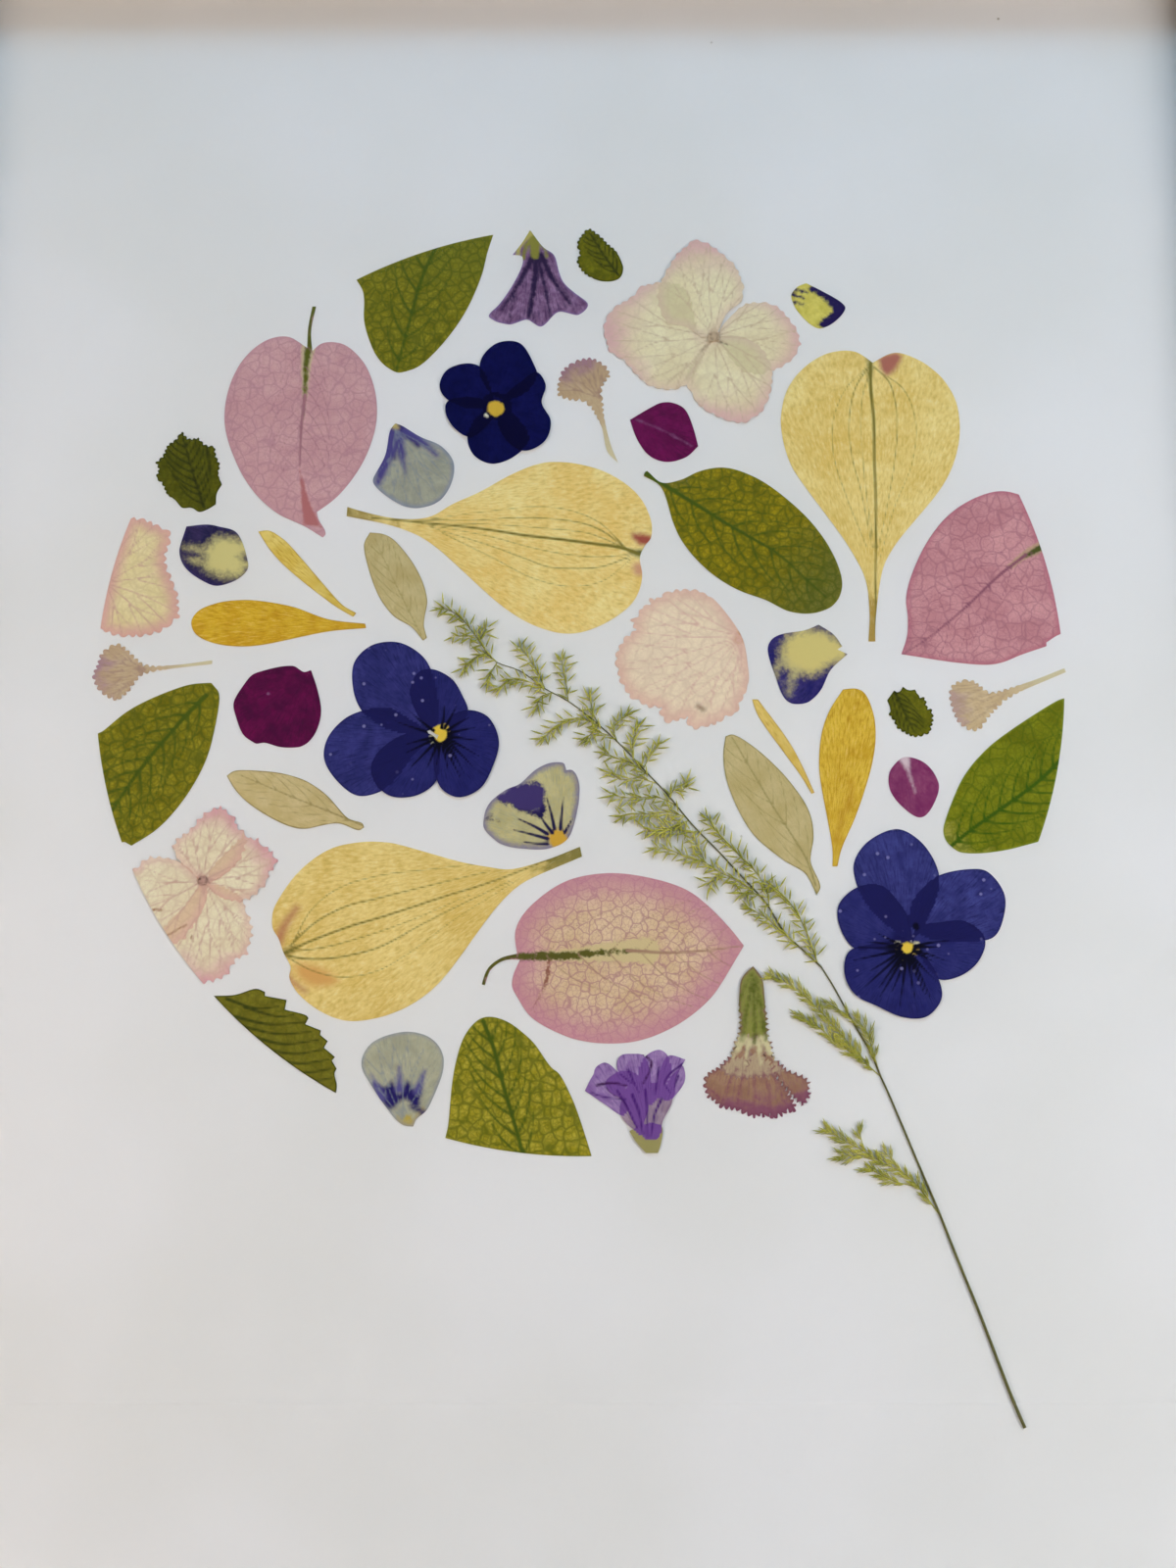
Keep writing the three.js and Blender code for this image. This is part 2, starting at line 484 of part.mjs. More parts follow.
/** Broad yellow tepals that narrow to a claw. */
function tepals() {
  // Tepal with its claw down.
  singlePlate('tepal_yellow_right', PETAL_THICKNESS, COLOUR.YELLOW, [
    [60.8, 67.8, CORNER], [58, 69.6], [53.4, 69.6], [48.4, 67.1], [44.1, 62.2], [42.1, 55.8],
    [42.4, 49.4], [44.3, 43.3], [48.1, 37.4], [52.6, 30.7], [56.3, 24.5], [58.7, 18.9], [59.3, 12.3],
    [59.2, 9], [58.9, 5.6, CORNER], [60.3, 5.6, CORNER], [60.4, 9], [61.3, 16.2], [62.7, 22.3],
    [66.5, 28.5], [71.4, 34.4], [75.5, 39.8], [78.2, 45.7], [79.4, 52.3], [78.7, 58.7], [75.8, 64],
    [71.2, 67.8], [66.4, 69.4], [63.1, 68], [61.6, 67.1, CORNER],
  ]);
  // Tepal with its claw to the left.
  singlePlate('tepal_yellow_centre', PETAL_THICKNESS, COLOUR.YELLOW, [
    [-48.3, 34.8, CORNER], [-44, 33.5], [-37.4, 32.2], [-31.3, 32.6], [-26.9, 35.2], [-20.6, 38.3],
    [-14.3, 42], [-7.6, 44.6], [-0.9, 44.4], [6.3, 42], [12, 37.4], [14.6, 32], [14.6, 28.1],
    [13.4, 26.4, CORNER], [12.3, 23.8, CORNER], [12.7, 19.1], [10.9, 14.2], [5.2, 9.6], [-1.8, 7.3],
    [-8.8, 8.8], [-15.5, 12.8], [-23.7, 20.4], [-32.1, 27.7], [-39, 30.7], [-48.4, 32.8, CORNER],
  ]);
  // Tepal with its claw to the right.
  singlePlate('tepal_yellow_lower', PETAL_THICKNESS, COLOUR.YELLOW, [
    [0, -37.3, CORNER], [0.4, -39.3, CORNER], [-5.2, -41.7], [-11.7, -44.9], [-15.9, -48.8],
    [-19.4, -53.6], [-23.6, -59.1], [-27.6, -64.6], [-33.1, -69], [-40, -71.7], [-46.3, -72.1],
    [-52.1, -69.6], [-56.1, -65.9], [-57.2, -63.6, CORNER], [-57, -61.6], [-58.5, -58.7, CORNER],
    [-59.7, -55.6], [-60.8, -53.8, CORNER], [-60.9, -50.6], [-59.1, -46.7], [-55.7, -42.1],
    [-50.5, -38.1], [-45.1, -36.5], [-38, -36.5], [-31.1, -38.3], [-24.2, -40.3], [-17.8, -41.5],
    [-14, -41.9, CORNER], [-7, -40.1],
  ]);
}

/** Narrow yellow petals. */
function rayPetals() {
  // Slim curved petal.
  singlePlate('ray_petal_upper', PETAL_THICKNESS, COLOUR.GOLD, [
    [-66.6, 29.4, CORNER], [-64.4, 29.6, CORNER], [-61.3, 27.7], [-57.1, 23], [-51.8, 16.8],
    [-48.7, 13.4], [-45.9, 11.7, CORNER], [-46.5, 10.9, CORNER], [-49.7, 12.8], [-54.9, 17],
    [-61.1, 22.1], [-64.9, 26.6],
  ]);
  // Wider petal with a long point.
  singlePlate('ray_petal_lower', PETAL_THICKNESS, COLOUR.GOLD, [
    [-79.6, 9.8], [-78.3, 12.1], [-73.9, 14], [-67.9, 14.5], [-58.8, 13], [-51.7, 10.4],
    [-44, 9.4, CORNER], [-43.8, 8.5, CORNER], [-50.6, 7.9], [-58.6, 6.2], [-67.5, 4.6], [-74.6, 5.2],
    [-78.7, 7.3],
  ]);
  // Thinnest petal.
  singlePlate('ray_petal_thin', PETAL_THICKNESS, COLOUR.GOLD, [
    [34.9, -6.7, CORNER], [36.1, -6.7, CORNER], [38.6, -10.2], [42.1, -15.4], [44.7, -20.5],
    [47.1, -26.2, CORNER], [46.5, -26.4, CORNER], [44.8, -23.3], [39.9, -16], [36, -10],
  ]);
  // Broadest petal, with a square claw.
  singlePlate('ray_petal_broad', PETAL_THICKNESS, COLOUR.GOLD, [
    [53.4, -4.6, CORNER], [55.8, -4.4, CORNER], [57.4, -5], [58.9, -7.7], [59.8, -12.9], [59, -19.5],
    [56.6, -27.4], [53.8, -34.5], [52.1, -38.1], [51.3, -41.3, CORNER], [50.3, -41.3, CORNER],
    [50.4, -37.9], [49.4, -30.2], [48.2, -21.7], [48.8, -14.1], [50.5, -9.2],
  ]);
}

/** Round magenta petals. */
function magentaPetals() {
  // Petal at the top.
  singlePlate('petal_magenta_upper', PETAL_THICKNESS, COLOUR.MAGENTA, [
    [10.4, 54.2, CORNER], [12.9, 55.8], [17.7, 58.2], [21.6, 56.9], [23.4, 53.1], [24.6, 48.3, CORNER],
    [22.1, 45.9], [18, 44.8], [14.5, 46.1], [11.9, 49.8],
  ]);
  // Crumpled petal at the left.
  singlePlate('petal_magenta_left', PETAL_THICKNESS, COLOUR.MAGENTA, [
    [-70.3, -7.7], [-68.6, -4, CORNER], [-66.7, -1.5], [-63.2, -0.3], [-58.6, 0.4],
    [-56.2, -0.9, CORNER], [-54.8, -0.5, CORNER], [-53.2, -5.3], [-52.5, -9.4], [-53.6, -13.9],
    [-55.9, -16.4], [-59.8, -16.8], [-63.8, -15.8, CORNER], [-65.4, -16], [-68.1, -14.1, CORNER],
  ]);
  // Small petal with a pale base.
  singlePlate('petal_magenta_small', PETAL_THICKNESS, COLOUR.MAGENTA, [
    [65.1, -18.9, CORNER], [67.7, -19.1], [70.2, -20.7], [72.1, -24.2], [71.6, -27.2], [69.1, -31],
    [67.5, -31.2, CORNER], [64, -28.4], [62.2, -25.2], [62.5, -21.5],
  ]);
}

/** Single petals of violas. */
function violaPetals() {
  // Small petal, yellow and dark blue.
  singlePlate('viola_petal_small_upper', PETAL_THICKNESS, COLOUR.PALE_GREEN, [
    [48, 85.4, CORNER], [51.3, 83.6], [55.2, 81.1, CORNER], [56.2, 79.7], [53.6, 76.3], [50.4, 75],
    [47.8, 76.8], [45.3, 80.4], [44.8, 82.7, CORNER], [46.1, 84.5],
  ]);
  // Pale petal with a dark base, tip down.
  singlePlate('viola_petal_pale_upper', PETAL_THICKNESS, COLOUR.PALE_GREEN, [
    [-39.7, 52, CORNER], [-38.7, 53.4], [-37.4, 52.9, CORNER], [-33.3, 50.3], [-29.1, 48.3],
    [-26.4, 44.6], [-27, 39.6], [-29.6, 35.9], [-35, 34.6], [-40.2, 37.2], [-43.1, 40.4], [-42.5, 42.4],
    [-40.8, 45.9],
  ]);
  // Pale petal with a dark base, tip up.
  singlePlate('viola_petal_pale_lower', PETAL_THICKNESS, COLOUR.PALE_GREEN, [
    [-35.5, -91.6, CORNER], [-34, -92.6], [-32.3, -92.8, CORNER], [-31.7, -91.4, CORNER],
    [-29.8, -89.7], [-28.2, -86.3], [-26.7, -82.1], [-26.8, -78.7], [-28.9, -75.8], [-33, -74.4],
    [-37.4, -75], [-41, -76.9], [-42.6, -80.6], [-39.6, -86.3], [-37.1, -89.7, CORNER],
  ]);
  // Petal with a purple rim and a yellow middle.
  singlePlate('viola_petal_yellow_left', PETAL_THICKNESS, COLOUR.PALE_YELLOW, [
    [-81.5, 30.5, CORNER], [-76.6, 30.9], [-71.1, 29.2, CORNER], [-69.5, 25.3], [-68.4, 21.7],
    [-70.1, 19.3], [-74.7, 17.6], [-77.7, 18.7], [-81.3, 21.5], [-82.7, 24.9],
  ]);
  // Petal with a dark purple rim.
  singlePlate('viola_petal_yellow_right', PETAL_THICKNESS, COLOUR.PALE_YELLOW, [
    [38.3, 4.1, CORNER], [39.3, 6.2], [41.7, 7.3], [45.6, 7.9], [48.8, 9.2, CORNER], [51.8, 7.1],
    [53.5, 4.6, CORNER], [52.5, 3.9, CORNER], [54.5, 2.9, CORNER], [51, -0.5, CORNER], [49.1, -4.4],
    [46.2, -7.3], [42.8, -7.5], [41.4, -6.3, CORNER], [39.9, -2.3],
  ]);
  // Notched lip petal with dark rays.
  singlePlate('viola_petal_striped', PETAL_THICKNESS, COLOUR.PALE_GREEN, [
    [-19.2, -31.2, CORNER], [-18.5, -28.8], [-16.3, -26.6], [-14.2, -25.2], [-12.2, -24.4, CORNER],
    [-9.3, -21.7], [-6.3, -20.1], [-3.3, -20.1], [-2.8, -21.5, CORNER], [-1.6, -21.5], [-0.4, -23.3],
    [-0.2, -27.8], [-1, -31.2], [-2.1, -34.3], [-2.5, -35.7, CORNER], [-5.1, -36.9],
    [-6.4, -37.7, CORNER], [-10.4, -37.7], [-13.1, -37.5], [-16.2, -36.5], [-19.2, -33.5, CORNER],
  ]);
}

/** Single sepals of a hydrangea. */
function hydrangeaSepals() {
  // Sepal with lobed edge, cut by the disc on the left.
  trimmedPlate('hydrangea_sepal_left_cut', PETAL_THICKNESS, COLOUR.CREAM, [
    [-101, 30.3], [-94, 32.6, CORNER], [-89.9, 31.6], [-85.3, 29.2], [-85.8, 23.8, CORNER],
    [-84.7, 20, CORNER], [-83.5, 17, CORNER], [-82, 11.1, CORNER], [-85.7, 8.3], [-89.7, 7.1],
    [-93.7, 6.9], [-99.2, 9], [-104.2, 15.3],
  ]);
  // Whole sepal with a toothed edge.
  singlePlate('hydrangea_sepal_centre', PETAL_THICKNESS, COLOUR.CREAM, [
    [33.1, 6.4, CORNER], [30.5, 10.4], [27.6, 14.5], [24.2, 16.4, CORNER], [21, 16.6, CORNER],
    [16.7, 15.7, CORNER], [16.3, 14.9, CORNER], [14.5, 14.7, CORNER], [14.3, 13.2, CORNER],
    [12.7, 13, CORNER], [12.1, 11.5, CORNER], [10.2, 10.2, CORNER], [11.4, 7.9, CORNER], [9, 6],
    [7.4, 2], [8.2, -2.3], [10.2, -5.9], [14.1, -8.2], [16.5, -8.2, CORNER], [16.5, -10, CORNER],
    [17.9, -11.5], [21.7, -10.2, CORNER], [22.1, -12.1, CORNER], [23.2, -12.7, CORNER], [26.4, -12.1],
    [29.8, -10, CORNER], [31.4, -9.6, CORNER], [33.1, -5.9], [34.3, -2.8], [33.8, 2.7],
  ]);
}

/** Small tubular florets, seen from the side. */
function trumpetFlowers() {
  // Floret whose tube points down.
  singlePlate('trumpet_flower_upper', PETAL_THICKNESS, COLOUR.CREAM, [
    [-4.4, 59.8, CORNER], [-4.6, 62.4], [-3.2, 65.8], [-0.5, 67.3], [2.6, 67.8], [5.1, 66.2],
    [6.1, 64.2, CORNER], [4.7, 61.6], [4.5, 57.6], [5.7, 52], [6.5, 48.1], [7.9, 44.6, CORNER],
    [5.7, 47], [4.5, 52.5], [2.6, 56.5], [0.4, 58.7], [-2.5, 59.1],
  ]);
  // Floret whose tube points right.
  singlePlate('trumpet_flower_left', PETAL_THICKNESS, COLOUR.CREAM, [
    [-94.6, 4.8], [-97.7, 3.1, CORNER], [-98.5, -0.3, CORNER], [-98.9, -1.9, CORNER],
    [-97.9, -4.2, CORNER], [-96.3, -5.9, CORNER], [-94, -6.9, CORNER], [-92.1, -5.3], [-89.3, -1.5],
    [-85.3, -0.5], [-75, 0.8, CORNER], [-75, 1.6, CORNER], [-82.4, 0.6], [-88.8, 0.6], [-91.5, 2.7],
  ]);
  // Floret whose tube points up to the right.
  singlePlate('trumpet_flower_right', PETAL_THICKNESS, COLOUR.CREAM, [
    [75.1, -6.9, CORNER], [75.4, -4.4, CORNER], [76.6, -3.2, CORNER], [78.5, -2.8], [81, -3.8],
    [83.3, -5.3], [88, -4], [93.2, -2.3], [98.6, -0.1, CORNER], [98.9, -0.9, CORNER], [92.2, -4],
    [85.9, -6.9], [82.9, -10], [81, -12.5], [79.4, -13.1, CORNER], [76.7, -11.3],
  ]);
  // Bell flower hanging from its calyx.
  singlePlate('bell_flower', PETAL_THICKNESS, COLOUR.LILAC, [
    [-10.8, 97.8, CORNER], [-7.6, 93.4], [-5.7, 92, CORNER], [-3.6, 85.6], [-1.5, 83.4], [1.6, 80.4],
    [-0.5, 78.1], [-4.6, 78.8], [-8.4, 75.4], [-11.3, 77], [-15, 75.9], [-19.4, 77.7], [-17.2, 80.6],
    [-13, 87.9], [-12.4, 91.6], [-14.5, 92, CORNER], [-12.5, 94.8],
  ]);
}

/** Small dark blue viola. */
function violaDark() {
  stackedFlower('viola_dark', COLOUR.BLUE_DARK, [
    // top
    { level: 0, outline: [
      [-20.8, 68.2], [-17.5, 71.6], [-12.9, 71.6], [-9.8, 66.7], [-9.1, 64], [-11.2, 60.4],
      [-15.3, 58.7], [-19, 60.4], [-21.1, 64.2],
    ] },
    // left
    { level: 1, outline: [
      [-19, 61.8], [-21.2, 66.2], [-24.3, 66.9], [-28.2, 65.3], [-29.6, 61.8], [-28.3, 59.1],
      [-23.1, 56.5], [-18.6, 57.6],
    ] },
    // side
    { level: 1, outline: [
      [-9.2, 64.9], [-7.3, 62], [-8.1, 58], [-6.2, 53.8], [-7.4, 49.4], [-11.7, 47.2], [-15.6, 49.8],
      [-17.3, 54.7], [-15.7, 59.6], [-12, 63.1],
    ] },
    // low left
    { level: 2, outline: [
      [-27.9, 58.2], [-28.2, 55.6], [-26.1, 52], [-23, 50.3], [-19.6, 52.9], [-17.5, 56.5],
      [-22.1, 59.1],
    ] },
    // lip
    { level: 2, outline: [
      [-23.6, 50.5], [-22.2, 46.3], [-18.5, 44.4], [-14, 45.9], [-10.7, 49.8], [-13.6, 55.1],
      [-17.4, 57.6], [-21.4, 55.1],
    ] },
  ]);
}

/** Blue viola at the left, its lip petal to the right. */
function violaLeft() {
  stackedFlower('viola_left', COLOUR.BLUE, [
    // back upper
    { level: 0, outline: [
      [-44.2, -9.2], [-46.1, -4.6], [-46, 1.2], [-42.5, 4.8], [-37.1, 5.4], [-32.6, 2.9], [-30.4, -0.3],
      [-28.9, -6.1], [-28.8, -11.9], [-33.1, -13.9], [-38.1, -13.3], [-41.5, -11.5],
    ] },
    // back lower
    { level: 0, outline: [
      [-40.2, -26], [-44.7, -26.8], [-49.1, -23.5], [-51.6, -19.1], [-51, -14.8], [-47.7, -10.8],
      [-43.8, -9], [-39.2, -8.4], [-35.2, -10.4], [-30.5, -14.3], [-34, -19.1], [-37.3, -23.7],
    ] },
    // side upper
    { level: 1, outline: [
      [-33, -1.1], [-30.4, -0.3], [-26.2, -2.3], [-23.9, -5.9], [-22.7, -9.4], [-24.6, -12.5],
      [-28.2, -14.3], [-31, -12.5], [-33.4, -9], [-34.5, -5],
    ] },
    // side lower
    { level: 1, outline: [
      [-29.2, -24.2], [-32.9, -26.8], [-37.8, -27], [-40.6, -25], [-42.1, -21.5], [-41, -18.2],
      [-37.7, -15.2], [-33.1, -13.5], [-29.2, -14.8], [-28.1, -19.7],
    ] },
    // lip
    { level: 2, outline: [
      [-28.6, -14.3], [-26.2, -10.4], [-22.7, -9], [-18.7, -10.4], [-16.4, -15.4], [-17.6, -20.9],
      [-20.1, -25.4], [-24.4, -27.2], [-28, -25.2], [-29.5, -19.7],
    ] },
  ]);
}

/** Blue viola at the right, its lip petal down. */
function violaRight() {
  stackedFlower('viola_right', COLOUR.BLUE, [
    // back left
    { level: 0, outline: [
      [55.1, -45.3], [54.6, -40.7], [57.5, -36.3], [63.5, -33.7], [67.9, -36.1], [71, -41.1],
      [71.5, -45.3], [68.7, -52.2], [65.6, -56.2], [60.9, -53.4], [56.9, -49.2],
    ] },
    // back right
    { level: 0, outline: [
      [71.6, -43.1], [77.3, -41.9], [81, -42.3], [84.3, -46.9], [83.9, -51.8], [81.8, -55.6],
      [76.3, -56.5], [68.6, -55.8], [65.3, -53.2], [65.9, -48.7], [68.5, -45.3],
    ] },
    // side left
    { level: 1, outline: [
      [54.3, -57.9], [51.5, -53.8], [51.3, -49.2], [55.3, -45.5], [60, -45.3], [63, -48.3], [65, -51.8],
      [65.2, -56.5], [59.8, -57.7],
    ] },
    // side right
    { level: 1, outline: [
      [80.1, -56.9], [78.4, -60.7], [74.8, -63.4], [70.6, -64], [67.4, -60.1], [65.6, -56.5],
      [67.1, -53.6], [71.6, -52.6], [76.1, -52.4], [79.5, -54.8],
    ] },
    // lip
    { level: 2, outline: [
      [70.6, -64], [71, -67.9], [68, -71.4], [63.6, -71.6], [58, -69.2], [54.1, -67.1], [52.1, -63],
      [53.1, -58.5], [58.8, -56.9], [64.5, -56.2], [68, -59.3],
    ] },
  ]);
}

/** Floret with four overlapping sepals. */
function hydrangeaUpper() {
  stackedFlower('hydrangea_floret_upper', COLOUR.CREAM, [
    // top
    { level: 0, outline: [
      [16.4, 81.8], [17.1, 85.6], [20.5, 92, CORNER], [24.3, 95.7, CORNER], [27.2, 94.6], [32.6, 89.7],
      [34.8, 85.2, CORNER], [34.3, 81.1, CORNER], [31.1, 78.4], [28.8, 73.9], [26.5, 72.5],
      [22.4, 75.2], [18.4, 76.3],
    ] },
    // left
    { level: 1, outline: [
      [28.2, 73], [25.5, 73.2], [22.5, 83.4], [18.3, 85.6], [13.1, 84.5, CORNER], [11, 82.2, CORNER],
      [6.2, 78.4], [4.9, 74.8], [6.2, 69.8, CORNER], [9.3, 67.6, CORNER], [11.9, 64.2, CORNER],
      [15, 61.8], [20.2, 61.3], [23.9, 64], [26.5, 69.8],
    ] },
    // low
    { level: 2, outline: [
      [26.5, 71.6], [24, 67.6], [22.3, 63.8], [24.3, 58.2, CORNER], [26.7, 56.2], [33.5, 53.6],
      [37.6, 55.8], [40.2, 62], [38.9, 69.4], [35.2, 72.5], [30.7, 73.2],
    ] },
    // right
    { level: 1, outline: [
      [29.2, 73.6], [31.8, 77.7], [36, 80.9], [41.2, 80.2], [45.6, 75], [46.6, 71.2, CORNER],
      [44.7, 67.8, CORNER], [41.9, 66], [36.7, 64.2], [32.6, 66.7], [30.2, 70.7],
    ] },
  ]);
}

/** Floret with four sepals, cut by the disc at the lower left. */
function hydrangeaLower() {
  stackedFlower('hydrangea_floret_lower_cut', COLOUR.CREAM, [
    // top
    { level: 1, outline: [
      [-81.1, -37.9], [-80.6, -35.9, CORNER], [-77.9, -33.7, CORNER], [-75.1, -30.6],
      [-71.8, -29, CORNER], [-69.6, -30.8], [-68.5, -33.1, CORNER], [-67.1, -34.3], [-67, -38.3],
      [-69.8, -42.3], [-74.5, -44.7], [-77, -42.7], [-79.8, -40.3],
    ] },
    // right
    { level: 0, outline: [
      [-74.2, -43.5], [-70.9, -38.7], [-67.1, -34.3, CORNER], [-65.9, -35.7, CORNER],
      [-64.5, -35.5, CORNER], [-63.1, -37.3, CORNER], [-61.1, -38.7, CORNER], [-60.4, -40.3],
      [-61.9, -42.9, CORNER], [-62.1, -44.5, CORNER], [-63.6, -46.1, CORNER], [-66.2, -48.1],
      [-69.5, -48.3], [-73.5, -45.9],
    ] },
    // left
    { level: 1, outline: [
      [-90.3, -42.7, CORNER], [-88, -41.1], [-85.7, -39.5], [-80.6, -40.1], [-76.2, -43.5],
      [-74.1, -46.3], [-75.3, -51.2], [-78.9, -56.2], [-85.6, -58.1], [-93.9, -48.3],
    ] },
    // low
    { level: 2, outline: [
      [-74.9, -44.9], [-71.6, -45.3], [-67.6, -47.3], [-65.3, -52.6], [-64.8, -55.2, CORNER],
      [-65.8, -59.3, CORNER], [-67.5, -59.7, CORNER], [-69.9, -63.4], [-74.1, -65, CORNER],
      [-78.5, -65.9], [-85.6, -59.1], [-82.9, -54.2], [-78.3, -49.2],
    ] },
  ], true);
}

/** Purple flower pressed from the side, its lobes folded over each other. */
function purpleFlower() {
  stackedFlower('trumpet_flower_purple', COLOUR.LILAC, [
    // calyx
    { level: 2, outline: [
      [9.6, -93.7, CORNER], [11.5, -92.8], [13.8, -92.2], [15.9, -92.8], [15.8, -95.6],
      [15.1, -97.9, CORNER], [12.8, -97.9, CORNER], [10.9, -95.8],
    ] },
    // funnel
    { level: 1, outline: [
      [7.9, -90.3], [10.2, -93.3], [13.4, -95.4], [15.5, -94.7], [16.1, -91.8], [18, -87.8],
      [17.6, -85.2], [13.1, -84.4], [9.2, -85.6],
    ] },
    // lobe far left
    { level: 0, outline: [
      [1, -85.9, CORNER], [2, -83.8], [2.7, -82.7, CORNER], [3.1, -81.4], [4.9, -80.4], [6.8, -81.6],
      [8.5, -84], [9.6, -89], [8.5, -90.7], [5, -88.6],
    ] },
    // lobe upper left
    { level: 0, outline: [
      [7.5, -82.5], [7.3, -80], [8.3, -78.9], [11.4, -78.7, CORNER], [12.5, -78.9, CORNER],
      [13.8, -82.5], [13.2, -85.6], [11.1, -87.5], [8.9, -84.8],
    ] },
    // lobe upper right
    { level: 1, outline: [
      [11.2, -83.3], [12.7, -79.3], [15.4, -77.9], [16.9, -78.7], [17.9, -81.4], [16.9, -84.4],
      [13.8, -88.6], [12.1, -86.7],
    ] },
    // lobe right
    { level: 2, outline: [
      [17.3, -79.1], [20.6, -79.8, CORNER], [18.8, -83.3], [18, -87.5], [15.3, -87.1], [15.4, -82.9],
    ] },
    // lobe low right
    { level: 0, outline: [
      [20, -81], [20.5, -83.7], [19, -86.3], [17.6, -87.5], [16.5, -86.7], [17.7, -83.3],
    ] },
    // lobe front
    { level: 2, outline: [
      [5, -84.4], [7, -82.5], [9.6, -82.1], [11.7, -83.3], [13.2, -86.7], [13, -90.5], [11.5, -93.1],
      [9.8, -90.9], [8.5, -87.8], [5.8, -86.1],
    ] },
  ]);
}

/** Carnation pressed from the side: a ribbed calyx and a toothed fan. */
function carnation() {
  stackedFlower('carnation', COLOUR.MAUVE, [
    // calyx
    { level: 2, outline: [
      [34.1, -61.4, CORNER], [35.8, -63.8], [36.3, -67.9], [36.7, -75], [36.1, -79.6, CORNER],
      [34.4, -75.2, CORNER], [32.8, -81.6, CORNER], [31.9, -76.2, CORNER], [29.6, -78.9, CORNER],
      [31, -74.6], [31.3, -67.1], [31.9, -63.8],
    ] },
    // claws
    { level: 1, outline: [
      [31, -75.6], [36.9, -76], [37.8, -79.4], [39.9, -81.7], [36, -83.3], [29.3, -83.3], [27.4, -81.4],
      [29.4, -78.9],
    ] },
    // fan
    { level: 0, outline: [
      [32.3, -79.1], [27.4, -81.2], [24.7, -83.3, CORNER], [24.3, -85, CORNER], [24.9, -87.1, CORNER],
      [26.2, -87.6, CORNER], [27.5, -89, CORNER], [28.8, -89.2, CORNER], [30.6, -89.4, CORNER],
      [31.7, -90.1, CORNER], [33.8, -91.1, CORNER], [35.1, -90.5, CORNER], [35.9, -90.9, CORNER],
      [36.8, -90.3, CORNER], [37.6, -91.4, CORNER], [38.5, -90.7, CORNER], [39.3, -90.7, CORNER],
      [40.3, -89.7, CORNER], [41.4, -90.1, CORNER], [42, -89, CORNER], [40.9, -87.3],
      [40.3, -86.5, CORNER], [37.9, -82.3], [36.1, -79.4],
    ] },
    // side petal
    { level: 1, outline: [
      [37.3, -78.5], [38.9, -80.8], [42.1, -82.5], [44, -83.5, CORNER], [44.8, -84.4, CORNER],
      [44.4, -85.6, CORNER], [44.9, -86.7, CORNER], [44.3, -87.8, CORNER], [43.5, -88.8, CORNER],
      [41.3, -87.1], [38.9, -84.2],
    ] },
  ]);
}
// The stem, from its cut end up to the dense part of the panicle.
const CULM = [
  [83.6, -149], [82.5, -146.3], [81, -142.4], [76.2, -128.7], [71.6, -116.4], [69.2, -109.8],
  [65.3, -99.9], [60.2, -86.9], [58.6, -83.1], [57, -78.9], [53.5, -72.5], [49.9, -65.5], [47.6, -61.6],
];
// The axis of the panicle.
const RACHIS = [
  [47.6, -61.6], [44.8, -58.9], [40.6, -54.8], [36.9, -48.7], [32.3, -43.5], [27.3, -37.9],
  [22.4, -32.7], [17.6, -26.6], [13.5, -22.1], [8.9, -17], [3.6, -11.9], [-2.4, -7.1], [-7.2, -4.4],
  [-12.2, -0.7], [-17, 1.2], [-19, 3.3], [-21.7, 7.3], [-25.4, 11.5], [-28.6, 13],
];
